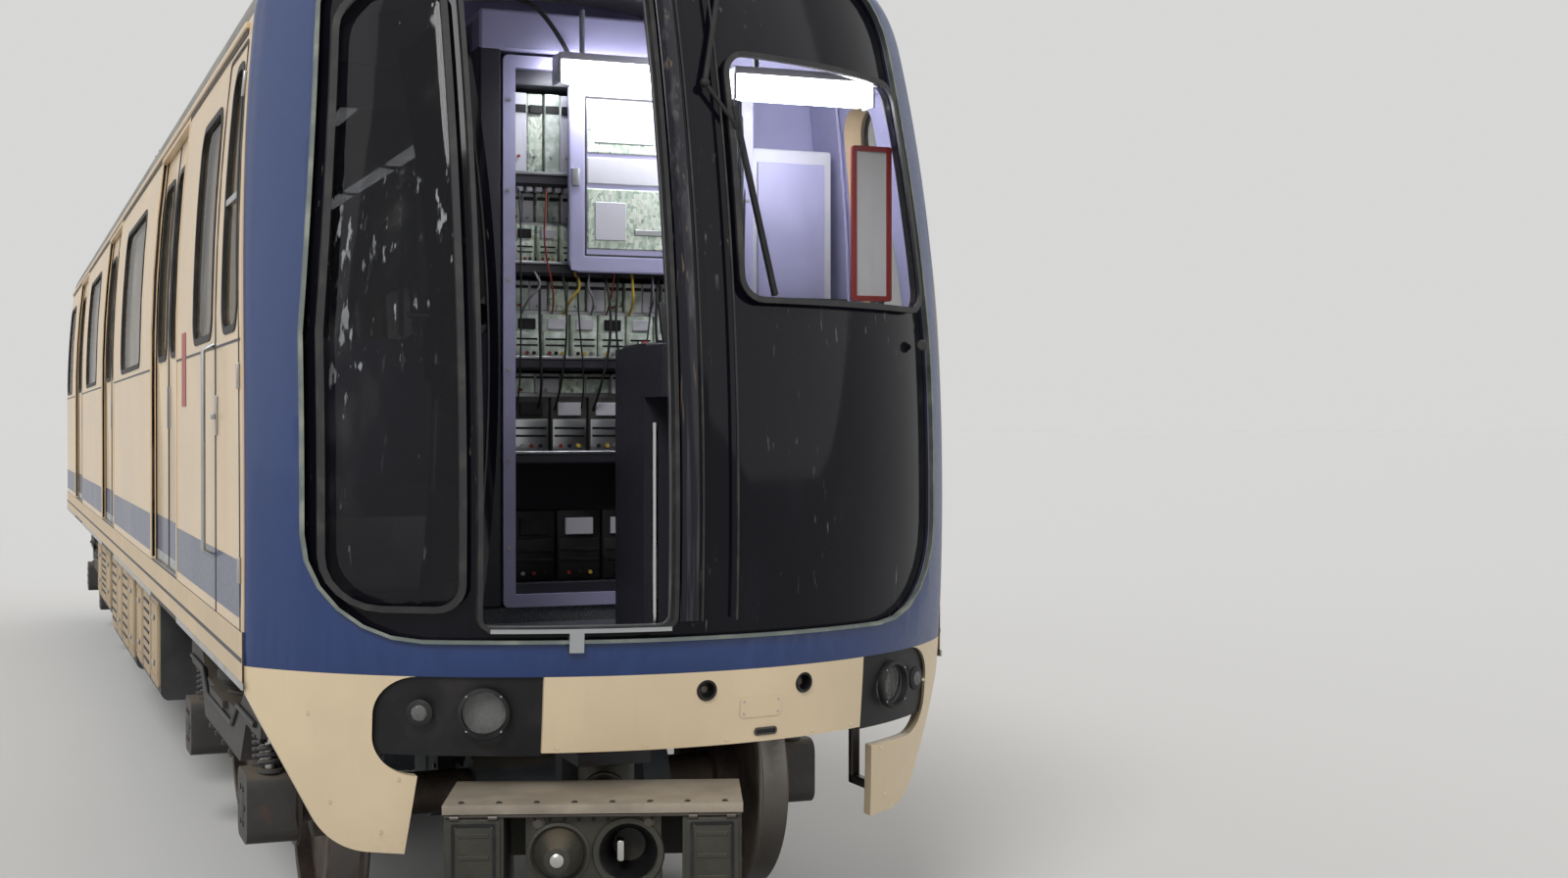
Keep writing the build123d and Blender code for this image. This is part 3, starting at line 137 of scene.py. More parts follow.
class Outline:
    """A convex outline with rounded corners that can be drawn at any inset."""

    def __init__(self, points, radii, step=0.05):
        self.points = [Vector(point) for point in points]
        self.radii = radii
        self.step = step

    def corners(self, inset):
        count = len(self.points)
        lines = []
        for index, point in enumerate(self.points):
            way = (self.points[(index + 1) % count] - point).normalized()
            lines.append((point + Vector((-way.y, way.x)) * inset, way))
        result = []
        for index in range(count):
            (a, u), (b, v) = lines[index - 1], lines[index]
            cross = u.x * v.y - u.y * v.x
            gap = b - a
            along = (gap.x * v.y - gap.y * v.x) / cross if abs(cross) > 1e-6 else gap.dot(u)
            result.append(a + u * along)
        return result

    def loop(self, inset=0.0):
        """The outline's points, the same number at every inset, counter-clockwise."""
        corners = self.corners(inset)
        count = len(corners)
        arcs = []
        for index, corner in enumerate(corners):
            before = (corners[index - 1] - corner).normalized()
            after = (corners[(index + 1) % count] - corner).normalized()
            radius = max(self.radii[index] - inset, 0.0) if self.radii[index] else 0.0
            if self.radii[index] <= 0:
                arcs.append([corner])
                continue
            half = before.angle(after) / 2
            reach = radius / math.tan(half)
            centre = corner + (before + after).normalized() * (radius / math.sin(half))
            start = corner + before * reach - centre
            end = corner + after * reach - centre
            turn = math.pi - 2 * half
            arcs.append([centre + Matrix.Rotation(turn * k / 6, 2) @ start for k in range(7)]
                        if radius > 0 else [corner.copy() for k in range(7)])
        result = []
        for index, arc in enumerate(arcs):
            result += arc
            start, end = arc[-1], arcs[(index + 1) % count][0]
            base = (self.points[(index + 1) % count] - self.points[index]).length
            pieces = max(1, int(base / self.step))
            result += [start.lerp(end, k / pieces) for k in range(1, pieces)]
        return result


def rectangle(a0, a1, b0, b1, radius=0.0, step=0.05):
    """A rounded rectangle as an outline."""
    return Outline([(a0, b0), (a1, b0), (a1, b1), (a0, b1)], [radius] * 4, step)


def side_window(y0, y1):
    """The outline of the glass in a side wall or a sliding door."""
    return rectangle(y0, y1, WINDOW_LOW, WINDOW_HIGH, 0.09, 0.12)


def round_spots(count, radius, first=0.0):
    """Even places round a circle, as pairs of offsets."""
    turns = [math.tau * (k + first) / count for k in range(count)]
    return [(radius * math.cos(turn), radius * math.sin(turn)) for turn in turns]


class Piece:
    """A new mesh that grows part by part, each part with one of its finishes."""

    def __init__(self, name, *looks, wrap=None, matrix=None, plane="XZ"):
        self.name = name
        self.looks = looks
        self.wrap = wrap
        self.matrix = matrix
        self.plane = plane
        self.bm = bmesh.new()

    def take(self, part, look=0, wrap=None, matrix=None, grid=0.0, flat=False):
        """Adds a part, cut into a grid and laid on a curved skin where that is asked for."""
        wrap = self.wrap if wrap is None else wrap
        matrix = self.matrix if matrix is None else matrix
        if grid:
            slice_up(part, grid)
        if matrix is not None:
            bmesh.ops.transform(part, matrix=matrix, verts=part.verts)
        if wrap:
            for vert in part.verts:
                vert.co = wrap(vert.co)
        bmesh.ops.recalc_face_normals(part, faces=part.faces)
        for face in part.faces:
            if look is not None:
                face.material_index = look
            face.smooth = not flat
        mesh = bpy.data.meshes.new("part")
        part.to_mesh(mesh)
        part.free()
        self.bm.from_mesh(mesh)
        bpy.data.meshes.remove(mesh)

    def box(self, low, high, bevel=0.004, segments=1, **how):
        """A box with softened edges between any two opposite corners."""
        part = bmesh.new()
        low, high = [Vector([pick(pair) for pair in zip(low, high)]) for pick in (min, max)]
        place = Matrix.Translation((low + high) / 2) @ Matrix.Diagonal((*(high - low), 1.0))
        bmesh.ops.create_cube(part, size=1.0, matrix=place)
        bevel = min(bevel, min(high - low) * 0.4)
        if bevel > 0:
            bmesh.ops.bevel(part, geom=part.edges[:], offset=bevel, segments=segments, profile=0.5,
                            affect="EDGES", material=-1)
        self.take(part, **how)

    def rod(self, start, end, radius, radius_end=None, sides=20, bevel=0.0, **how):
        """A round bar or cone between two points."""
        part = bmesh.new()
        start, end = Vector(start), Vector(end)
        along = end - start
        place = Matrix.Translation((start + end) / 2) @ along.to_track_quat("Z", "Y").to_matrix().to_4x4()
        end_radius = radius if radius_end is None else radius_end
        bmesh.ops.create_cone(part, cap_ends=True, segments=sides, radius1=radius, radius2=end_radius,
                              depth=along.length, matrix=place)
        if bevel:
            rims = [edge for edge in part.edges if any(len(face.verts) > 4 for face in edge.link_faces)]
            bmesh.ops.bevel(part, geom=rims, offset=bevel, segments=2, profile=0.5, affect="EDGES",
                            material=-1)
        self.take(part, **how)

    def ball(self, centre, radius, **how):
        part = bmesh.new()
        bmesh.ops.create_uvsphere(part, u_segments=16, v_segments=10, radius=radius,
                                  matrix=Matrix.Translation(centre))
        self.take(part, **how)

    def lathe(self, profile, origin, axis, sides=32, **how):
        """A turned part: profile gives (radius, distance along the axis)."""
        part = bmesh.new()
        verts = [part.verts.new((radius, 0.0, along)) for radius, along in profile]
        edges = [part.edges.new(pair) for pair in zip(verts, verts[1:])]
        bmesh.ops.spin(part, geom=verts + edges, cent=(0, 0, 0), axis=(0, 0, 1), angle=math.tau,
                       steps=sides, use_merge=True)
        bmesh.ops.remove_doubles(part, verts=part.verts, dist=1e-5)
        place = Matrix.Translation(origin) @ Vector(axis).to_track_quat("Z", "Y").to_matrix().to_4x4()
        bmesh.ops.transform(part, matrix=place, verts=part.verts)
        self.take(part, **how)

    def ring(self, outline, inset_out, inset_in, d0, d1, plane=None, **how):
        """A flat frame between two insets of an outline, from depth d0 to d1."""
        plane = plane or self.plane
        part = bmesh.new()
        edges = []
        for inset in (inset_out, inset_in):
            verts = [part.verts.new(lay(point, d0, plane)) for point in outline.loop(inset)]
            edges += [part.edges.new((verts[k - 1], verts[k])) for k in range(len(verts))]
        faces = bmesh.ops.bridge_loops(part, edges=edges)["faces"]
        raise_up(part, faces, d1 - d0, plane)
        self.take(part, **how)

    def plate(self, outline, inset, d0, d1, plane=None, bevel=0.0, **how):
        """A filled plate inside an outline, from depth d0 to d1."""
        plane = plane or self.plane
        part = bmesh.new()
        face = part.faces.new([part.verts.new(lay(point, d0, plane)) for point in outline.loop(inset)])
        raise_up(part, [face], d1 - d0, plane)
        if bevel:
            rims = [edge for edge in part.edges if any(len(side.verts) > 4 for side in edge.link_faces)]
            bmesh.ops.bevel(part, geom=rims, offset=bevel, segments=2, profile=0.5, affect="EDGES",
                            material=-1)
        self.take(part, **how)

    def tube(self, points, radius, smooth=False, sides=3, **how):
        """A round tube along points, as straight runs or as one smooth line."""
        curve = bpy.data.curves.new("run", "CURVE")
        curve.dimensions = "3D"
        curve.bevel_depth = radius
        curve.bevel_resolution = sides
        curve.use_fill_caps = True
        curve.resolution_u = 8
        spline = curve.splines.new("NURBS" if smooth else "POLY")
        spline.points.add(len(points) - 1)
        for place, point in zip(spline.points, points):
            place.co = (*point, 1.0)
        if smooth:
            spline.order_u = 3
            spline.use_endpoint_u = True
        carrier = bpy.data.objects.new("run", curve)
        mesh = bpy.data.meshes.new_from_object(carrier)
        part = bmesh.new()
        part.from_mesh(mesh)
        bmesh.ops.remove_doubles(part, verts=part.verts, dist=1e-6)
        bpy.data.objects.remove(carrier)
        bpy.data.meshes.remove(mesh)
        bpy.data.curves.remove(curve)
        self.take(part, **how)

    def bolt(self, centre, axis, radius=0.008, height=0.006, **how):
        """A six-sided bolt head on its washer."""
        centre, axis = Vector(centre), Vector(axis).normalized()
        self.rod(centre, centre + axis * height * 0.3, radius * 1.35, sides=12, **how)
        self.rod(centre + axis * height * 0.3, centre + axis * height, radius, sides=6, flat=True, **how)

    def copy_of(self, node, bevel=0.004, island_look=None, face_look=None, angle=30.0, cut=None):
        """A cleaned copy of a CAD node with softened edges; looks go by solid or by face."""
        part = bmesh.new()
        part.from_mesh(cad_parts[node].data)
        bmesh.ops.remove_doubles(part, verts=part.verts, dist=1e-5)
        if cut is not None:
            bmesh.ops.bisect_plane(part, geom=part.verts[:] + part.edges[:] + part.faces[:],
                                   plane_co=(0, cut, 0), plane_no=(0, 1, 0))
        for face in part.faces:
            face.material_index = face_look(face) if face_look else 0
        if island_look:
            for island in islands(part):
                places = [vert.co for face in island for vert in face.verts]
                low, high = [Vector(map(pick, zip(*places))) for pick in (min, max)]
                for face in island:
                    face.material_index = island_look(low, high)
        bmesh.ops.dissolve_limit(part, angle_limit=math.radians(1.0), verts=part.verts, edges=part.edges,
                                 delimit={"MATERIAL"})
        if bevel:
            sharp = [edge for edge in part.edges if len(edge.link_faces) == 2
                     and edge.calc_face_angle(0.0) > math.radians(angle)]
            bmesh.ops.bevel(part, geom=sharp, offset=bevel, segments=2, profile=0.5, affect="EDGES",
                            clamp_overlap=True, material=-1)
        self.take(part, look=None)

    def done(self, body, slot, *nodes, sharp=35.0):
        """Turns the mesh into an object that rides on a body and may stand for CAD nodes."""
        mesh = bpy.data.meshes.new(self.name)
        self.bm.to_mesh(mesh)
        self.bm.free()
        mesh.set_sharp_from_angle(angle=math.radians(sharp))
        for look in self.looks:
            mesh.materials.append(finish(look))
        thing = bpy.data.objects.new(self.name, mesh)
        bpy.context.scene.collection.objects.link(thing)
        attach(thing, body)
        if nodes:
            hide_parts(*nodes)
        return thing


def islands(part):
    """The faces of a mesh, solid by solid."""
    left = set(part.faces)
    found = []
    while left:
        group, front = set(), [left.pop()]
        while front:
            face = front.pop()
            group.add(face)
            for edge in face.edges:
                for other in edge.link_faces:
                    if other in left:
                        left.remove(other)
                        front.append(other)
        found.append(group)
    return found


def lay(point, depth, plane):
    """A point of an outline at a depth: XZ outlines go back along Y, YZ outlines along X."""
    if plane == "XZ":
        return (point[0], depth, point[1])
    if plane == "YZ":
        return (depth, point[0], point[1])
    return (point[0], point[1], depth)


def raise_up(part, faces, height, plane):
    """Gives flat faces their thickness."""
    grown = bmesh.ops.extrude_face_region(part, geom=faces, use_keep_orig=True)["geom"]
    verts = [item for item in grown if isinstance(item, bmesh.types.BMVert)]
    way = {"XZ": (0, height, 0), "YZ": (height, 0, 0), "XY": (0, 0, height)}[plane]
    bmesh.ops.translate(part, verts=verts, vec=way)


def slice_up(part, step):
    """Cuts a part into a grid, so that it can follow a curved skin."""
    for axis in range(3):
        values = [vert.co[axis] for vert in part.verts]
        low, high = min(values), max(values)
        pieces = int((high - low) / step)
        if pieces > 160:
            continue
        normal = Vector((0, 0, 0))
        normal[axis] = 1.0
        for k in range(1, pieces + 1):
            place = Vector((0, 0, 0))
            place[axis] = low + (high - low) * k / (pieces + 1)
            geometry = part.verts[:] + part.edges[:] + part.faces[:]
            bmesh.ops.bisect_plane(part, geom=geometry, plane_co=place, plane_no=normal)


class Value:
    """An output of a shader node, so that shader sums read like plain sums."""

    def __init__(self, look, socket):
        self.look = look
        self.socket = socket

    def sum(self, operation, first, second):
        return self.look.node("ShaderNodeMath", {"operation": operation}, {0: first, 1: second})

    def __add__(self, other):
        return self.sum("ADD", self, other)

    def __radd__(self, other):
        return self.sum("ADD", other, self)

    def __sub__(self, other):
        return self.sum("SUBTRACT", self, other)

    def __rsub__(self, other):
        return self.sum("SUBTRACT", other, self)

    def __mul__(self, other):
        return self.sum("MULTIPLY", self, other)

    def __rmul__(self, other):
        return self.sum("MULTIPLY", other, self)


class Look:
    """A material under construction round one Principled shader."""

    def __init__(self, name):
        self.material = bpy.data.materials.new(name)
        self.material.use_nodes = True
        self.tree = self.material.node_tree
        self.tree.nodes.clear()
        end = self.tree.nodes.new("ShaderNodeOutputMaterial")
        self.shader = self.tree.nodes.new("ShaderNodeBsdfPrincipled")
        self.tree.links.new(self.shader.outputs[0], end.inputs[0])
        self.place = self.node("ShaderNodeTexCoord", {}, {}, "Object")

    def node(self, kind, settings, inputs, output=0):
        """Any node: its settings first, then the values or links of its sockets."""
        node = self.tree.nodes.new(kind)
        for name, value in settings.items():
            if name == "stops":
                self.stops(node.color_ramp, value)
            else:
                setattr(node, name, value)
        for name, value in inputs.items():
            self.feed(node.inputs[name], value)
        return Value(self, node.outputs[output])

    def stops(self, ramp, values):
        while len(ramp.elements) < len(values):
            ramp.elements.new(1.0)
        for element, (place, colour) in zip(ramp.elements, values):
            element.position = place
            element.color = (*colour, 1.0)

    def feed(self, socket, value):
        if isinstance(value, Value):
            self.tree.links.new(value.socket, socket)
        elif socket.type == "RGBA":
            socket.default_value = (*value, 1.0)
        else:
            socket.default_value = value

    def set(self, **sockets):
        for name, value in sockets.items():
            self.feed(self.shader.inputs[name.replace("_", " ").title().replace("Ior", "IOR")], value)

    def noise(self, scale, detail=3.0, roughness=0.55, place=None):
        return self.node("ShaderNodeTexNoise", {}, {"Vector": place or self.place, "Scale": scale,
                                                    "Detail": detail, "Roughness": roughness})

    def cells(self, feature, scale):
        return self.node("ShaderNodeTexVoronoi", {"feature": feature}, {"Vector": self.place, "Scale": scale})

    def bands(self, way, scale, distortion):
        return self.node("ShaderNodeTexWave", {"wave_type": "BANDS", "bands_direction": way},
                         {"Vector": self.place, "Scale": scale, "Distortion": distortion})

    def stretched(self, x, y, z, turn=(0.0, 0.0, 0.0)):
        return self.node("ShaderNodeMapping", {},
                         {"Vector": self.place, "Scale": (x, y, z), "Rotation": turn})

    def part(self, axis):
        return self.node("ShaderNodeSeparateXYZ", {}, {"Vector": self.place}, axis)

    def fade(self, value, low, high):
        """0 below low and 1 above high, smooth between them."""
        return self.node("ShaderNodeMapRange", {"interpolation_type": "SMOOTHSTEP"},
                         {"Value": value, "From Min": low, "From Max": high, "To Min": 0.0, "To Max": 1.0})

    def mix(self, share, first, second):
        return self.node("ShaderNodeMix", {"data_type": "RGBA"}, {0: share, 6: first, 7: second}, 2)

    def bump(self, height, strength=0.3, distance=0.002, under=None):
        inputs = {"Height": height, "Strength": strength, "Distance": distance}
        if under:
            inputs["Normal"] = under
        return self.node("ShaderNodeBump", {}, inputs)


def shade(colour, factor):
    """A lighter or darker version of a colour."""
    return tuple(min(1.0, value * factor) for value in colour[:3])


def linear(red, green, blue):
    """A screen colour, 0 to 255, as the linear colour a shader wants."""
    return tuple((value / 255 / 12.92) if value <= 10 else ((value / 255 + 0.055) / 1.055) ** 2.4
                 for value in (red, green, blue))


def paint(**about):
    """A colour on the panel."""
    return FloatVectorProperty(subtype="COLOR", size=3, min=0, max=1, **about)


def length(**about):
    """A length in metres on the panel."""
    return FloatProperty(subtype="DISTANCE", unit="LENGTH", **about)


class MetroCarColours(bpy.types.PropertyGroup):
    """The paints and cloths of the car."""

    side_cream: paint(name="Side cream", description="Paint of the side walls and doors",
                      default=linear(210, 186, 151))
    skirt_white: paint(name="Skirt white", description="Warm white paint of bumper and cheeks",
                       default=linear(205, 186, 155))
    ring_blue: paint(name="Ring blue", description="Paint of the ring round the nose",
                     default=linear(21, 48, 98))
    band_blue: paint(name="Band blue", description="Blue band low on the side walls",
                     default=linear(28, 44, 86))
    panel_black: paint(name="Panel black", description="Gloss black of the front panel",
                       default=linear(13, 13, 20))
    cab_lilac: paint(name="Cab lilac", description="Pale lilac laminate inside the cab",
                     default=linear(172, 170, 204))
    seat_cloth: paint(name="Seat cloth", description="Cloth of benches and driver's seat",
                      default=linear(38, 70, 116))
    gear_grey: paint(name="Gear grey", description="Dusty paint of bogies and underfloor boxes",
                     default=linear(62, 60, 58))
    coupler_olive: paint(name="Coupler olive", description="Olive grey paint of the couplers",
                         default=linear(47, 46, 38))
    cover_grey: paint(name="Cover grey", description="Dusty light cover on the front coupler",
                      default=linear(138, 129, 115))
    frame_red: paint(name="Frame red", description="Paint of the pantograph's tubes",
                     default=linear(116, 42, 34))


class MetroCarSizes(bpy.types.PropertyGroup):
    """The sizes of the trim and of the small pieces."""

    gasket: length(name="Gasket", description="Width of the rubber round the window glass", default=0.018)
    seal: length(name="Panel seal", description="Width of the grey seal round the black panel", default=0.010)
    band_low: length(name="Band foot", description="Height of the blue band's lower edge over the rail",
                     default=1.155)
    band_high: length(name="Band head", description="Height of the blue band's upper edge over the rail",
                      default=1.327)
    band_film: length(name="Band film", description="Thickness of the blue band", default=0.0006)
    coil_wire: length(name="Coil wire", description="Diameter of the axle springs' wire", default=0.018)
    coil_turns: FloatProperty(name="Coil turns", description="Turns of each axle spring", default=3.6)
    cable: length(name="Cable", description="Diameter of the wiring in the cab cabinet", default=0.012)
    cushion_step: length(name="Cushion length", description="Length of one bench cushion", default=0.50)
    roof_ribs: IntProperty(name="Roof ribs", description="Raised ribs along the roof on each side", default=3)


def colours():
    return bpy.context.scene.metro_car_colours


def sizes():
    return bpy.context.scene.metro_car_sizes


def colour_of(source):
    """The linear colour of a property's name or of a screen colour."""
    return getattr(colours(), source) if isinstance(source, str) else linear(*source)


finishes = {}
makers = {}


def finish(name):
    """The finished material of that name, made the first time it is asked for."""
    if name not in finishes:
        look = Look(name)
        makers[name](look, name)
        finishes[name] = look.material
    return finishes[name]


def maker(*names):
    """Registers a function as the maker of these finishes."""
    def keep(function):
        makers.update(dict.fromkeys(names, function))
        return function
    return keep


# Colour, its shade, then what differs from plain weathered paint
PAINTS = {"side cream": ("side_cream", 1,
                         dict(rough=0.34, coat=0.10, dust=0.30, dust_top=1.4, streaks=0.06, dent=0.12)),
          "door cream": ("side_cream", 1,
                         dict(rough=0.34, coat=0.10, dust=0.30, dust_top=1.4, streaks=0.06, dent=0.12)),
          "sill cream": ("side_cream", 0.86, dict(rough=0.45, dust=0.5, dust_top=1.1, streaks=0.06)),
          "box cream": ("side_cream", 0.66,
                        dict(rough=0.55, dust=0.8, dust_top=0.9, streaks=0.10, soil=(84, 78, 70))),
          "skirt white": ("skirt_white", 1,
                          dict(rough=0.40, coat=0.06, dust=0.50, dust_top=0.70, streaks=0.08, dent=0.2)),
          "ring blue": ("ring_blue", 1,
                        dict(rough=0.38, coat=0.10, dust=0.12, dust_top=1.1, streaks=0.16,
                             soil=(96, 98, 104))),
          "band blue": ("band_blue", 1,
                        dict(rough=0.34, coat=0.2, dust=0.35, dust_top=1.4, streaks=0.25, soil=(96, 92, 88))),
          "cab white": ((206, 206, 214), 1, dict(rough=0.4, dust=0.1, streaks=0.08)),
          "cab dark": ((44, 44, 52), 1, dict(rough=0.5, dust=0.15, streaks=0.1)),
          "saloon white": ((212, 210, 202), 1, dict(rough=0.35, dust=0.1, dust_top=1.6, streaks=0.08)),
          "blank plate": ((220, 220, 222), 1, dict(rough=0.4, dust=0.12, streaks=0.12)),
          "blank red plate": ((150, 48, 44), 1, dict(rough=0.4, dust=0.12, streaks=0.12))}
ROAD_SOIL = (0.045, 0.038, 0.030)


@maker(*PAINTS)
def make_paint(look, name):
    """Paint with cloudy tone, rain streaks, dust from below, fine grain and slightly uneven sheet."""
    source, factor, about = PAINTS[name]
    colour = shade(colour_of(source), factor)
    soil = linear(*about["soil"]) if "soil" in about else ROAD_SOIL
    cloud = look.noise(1.7, 4.0)
    fine = look.noise(46.0, 2.0)
    run = look.noise(1.0, 4.0, place=look.stretched(26.0, 26.0, 1.3))
    low = 1 - look.fade(look.part(2), 0.2, about.get("dust_top", 1.0) + 0.2)
    soiled = look.fade(low * 0.55 + cloud * 0.5 + fine * 0.25, 0.55, 1.15) * about["dust"]
    tone = look.mix(look.fade(cloud, 0.35, 0.7), shade(colour, 0.93), shade(colour, 1.05))
    tone = look.mix(look.fade(run, 0.52, 0.78) * about["streaks"], tone, shade(colour, 0.62))
    tone = look.mix(soiled, tone, soil)
    sheet = look.bump(look.noise(2.6, 1.0), about.get("dent", 0.35), 0.004)
    rough = look.fade(fine * 0.5 + cloud * 0.5, 0.2, 0.9) * 0.16 + (about["rough"] - 0.06) + soiled * 0.3
    look.set(base_color=tone, roughness=rough, normal=look.bump(look.noise(320.0, 2.0), 0.12, 0.0008, sheet),
             coat_weight=about.get("coat", 0.0))


# Screen colour, roughness, brush stretch, share of stain, its screen colour, metallic
METALS = {
    "aluminium": ((178, 180, 182), 0.28, (1, 1, 60), 0.25, None, 1.0),
    "stainless": ((196, 196, 196), 0.16, (40, 40, 1), 0.08, None, 1.0),
    "bright steel": ((186, 184, 180), 0.18, (80, 2, 2), 0.12, None, 1.0),
    "dark steel": ((92, 88, 84), 0.38, (1, 1, 60), 0.55, (74, 58, 46), 1.0),
    "tread steel": ((104, 100, 96), 0.36, (60, 1, 1), 0.45, None, 1.0),
    "copper": ((180, 104, 66), 0.32, (1, 1, 60), 0.35, (70, 52, 40), 1.0),
    "contact strip": ((54, 54, 58), 0.42, (2, 70, 2), 0.2, None, 0.6),
}
METAL_STAIN = (0.09, 0.075, 0.06)


@maker(*METALS)
def make_metal(look, name):
    """Bare metal with brushed lines, cloudy stains and small scratches."""
    source, rough, brush, stain, spot, level = METALS[name]
    colour = linear(*source)
    lines = look.noise(6.0, 3.0, place=look.stretched(*brush))
    cloud = look.fade(look.noise(5.0, 5.0), 0.48, 0.75)
    scratch = look.fade(look.noise(30.0, 5.0, 0.7), 0.62, 0.7)
    tone = look.mix(lines, shade(colour, 0.86), shade(colour, 1.08))
    tone = look.mix(cloud * stain, tone, linear(*spot) if spot else METAL_STAIN)
    look.set(base_color=tone, metallic=level, roughness=lines * 0.12 + cloud * 0.2 + scratch * 0.08 + rough,
             normal=look.bump(lines, 0.12, 0.001))


# Colour, roughness, share of rust, share of dust
CASTINGS = {
    "gear grey": ("gear_grey", 0.62, 0.25, 0.35), "brake dust": ((78, 64, 54), 0.62, 0.45, 0.35),
    "box dark": ((54, 54, 56), 0.5, 0.12, 0.35), "motor blue grey": ((60, 66, 70), 0.62, 0.18, 0.5),
    "coupler olive": ("coupler_olive", 0.5, 0.18, 0.3), "cover grey": ("cover_grey", 0.55, 0.05, 0.2),
    "frame red": ("frame_red", 0.42, 0.1, 0.25), "spring paint": ((44, 44, 46), 0.45, 0.2, 0.35),
}


@maker(*CASTINGS)
def make_casting(look, name):
    """Painted casting: rough skin, rust where paint is gone, dust on what faces up."""
    source, rough, rust, dust = CASTINGS[name]
    colour = colour_of(source)
    cloud = look.noise(5.0, 5.0)
    pits = look.cells("F1", 130.0)
    normal = look.node("ShaderNodeNewGeometry", {}, {}, "Normal")
    facing = look.node("ShaderNodeSeparateXYZ", {}, {"Vector": normal}, 2)
    upward = look.fade(facing + cloud * 0.5, 0.75, 1.25)
    bare = look.fade(look.noise(14.0, 6.0), 0.60, 0.68)
    tone = look.mix(look.fade(cloud, 0.3, 0.7), shade(colour, 0.75), shade(colour, 1.2))
    tone = look.mix(bare * rust, tone, linear(104, 66, 42))
    tone = look.mix(upward * dust, tone, linear(138, 124, 104))
    look.set(base_color=tone, roughness=cloud * 0.15 + rough, metallic=0.1,
             normal=look.bump(pits * 0.4 + look.noise(60.0, 3.0), 0.35, 0.003))


# Cloud's scale, detail and fade, two screen colours, roughness swing and base, grain's scale and strength,
# coat, specular level
TWO_TONES = {
    "lamp black": (7, 4, 0.4, 0.75, (17, 17, 19), (40, 38, 38), 0.25, 0.42, 420, 0.25, 0, 0.3),
    "soft black": (7, 4, 0.4, 0.75, (17, 17, 19), (40, 38, 38), 0.25, 0.42, 420, 0.25, 0, 0.3),
    "rubber": (12, 4, 0.45, 0.75, (22, 22, 24), (52, 50, 48), 0.2, 0.55, 500, 0.3, 0, 0.5),
    "seal grey": (9, 4, 0.4, 0.7, (96, 104, 100), (134, 138, 128), 0.2, 0.5, 300, 0.25, 0, 0.5),
    "relay clear": (30, 3, 0.35, 0.7, (176, 190, 176), (222, 230, 222), 0.2, 0.14, 90, 0.15, 0.4, 0.5),
    "moulded grey": (3, 4, 0.35, 0.7, (150, 152, 156), (172, 174, 176), 0.15, 0.4, 420, 0.25, 0, 0.5),
    "insulator": (8, 4, 0.4, 0.7, (96, 52, 38), (128, 74, 54), 0.15, 0.15, 60, 0.1, 0.5, 0.5),
}


@maker(*TWO_TONES)
def make_two_tone(look, name):
    """Two shades in soft clouds under a fine grain."""
    scale, detail, low, high, first, second, swing, rough, grain, strength, coat, level = TWO_TONES[name]
    cloud = look.noise(scale, detail)
    look.set(base_color=look.mix(look.fade(cloud, low, high), linear(*first), linear(*second)),
             roughness=cloud * swing + rough, normal=look.bump(look.noise(grain, 2.0), strength, 0.001),
             coat_weight=coat, specular_ior_level=level)


CABLES = {"cable black": (24, 24, 26), "cable red": (126, 32, 28), "cable grey": (120, 122, 124),
          "cable yellow": (190, 160, 60)}


@maker(*CABLES)
def make_cable(look, name):
    tone = linear(*CABLES[name])
    cloud = look.noise(25.0, 3.0)
    look.set(base_color=look.mix(look.fade(cloud, 0.4, 0.7), tone, shade(tone, 1.4)),
             roughness=cloud * 0.2 + 0.4, normal=look.bump(look.noise(260.0, 2.0), 0.2, 0.001))


# Tint, how much it hides, smears, whitish painted reflection streaks
GLASSES = {"windscreen glass": ((22, 28, 36), 0.07, 0.06, 0.0),
           "left glass": ((10, 11, 16), 0.72, 0.05, 0.55), "side glass": ((26, 30, 34), 0.34, 0.16, 0.0)}


@maker(*GLASSES)
def make_glass(look, name):
    """Tinted glass with smears and dried drops; the left front one has whitish diagonal streaks, a painted
    reflection.
    """
    tint, hide, smear, painted_reflection = GLASSES[name]
    film = look.noise(6.0, 5.0, place=look.stretched(1.0, 1.0, 0.5))
    drops = look.fade(look.noise(160.0, 2.0), 0.66, 0.74)
    veil = look.fade(film, 0.45, 0.8) * smear + drops * (smear * 0.5)
    tone = look.mix(look.fade(veil, 0.0, 0.2), linear(*tint), shade(linear(150, 152, 150), 0.6))
    if painted_reflection:
        # Whitish diagonal streaks on the left front glass: a painted reflection, which also clouds the glass.
        wave = look.noise(3.0, 2.0)
        run = look.noise(1.0, 3.0, place=look.stretched(44.0, 44.0, 9.0, (0.0, 0.25, 0.0)))
        strip = look.fade(run + wave * 0.25, 0.765, 0.84) * look.fade(look.noise(1.9, 2.0), 0.40, 0.56)
        tone = look.mix(strip * painted_reflection, tone, linear(176, 178, 182))
        veil = veil + strip * painted_reflection
    look.set(base_color=tone, alpha=veil + hide, roughness=veil * 0.5 + 0.04, specular_ior_level=0.25,
             coat_weight=0.1, normal=look.bump(look.noise(1.6, 1.0), 0.06, 0.01))


@maker("roof grey")
def make_roof(look, name):
    cloud = look.noise(1.6, 5.0)
    run = look.noise(1.0, 4.0, place=look.stretched(1.2, 14.0, 6.0))
    tone = look.mix(look.fade(cloud, 0.35, 0.68), linear(112, 109, 103), linear(138, 135, 127))
    tone = look.mix(look.fade(run, 0.54, 0.78) * 0.35, tone, linear(74, 70, 65))
    rust = look.fade(look.noise(8.0, 5.0), 0.70, 0.80)
    tone = look.mix(rust * 0.25, tone, linear(112, 82, 58))
    look.set(base_color=tone, roughness=cloud * 0.2 + 0.52,
             normal=look.bump(look.noise(180.0, 3.0), 0.3, 0.0015))


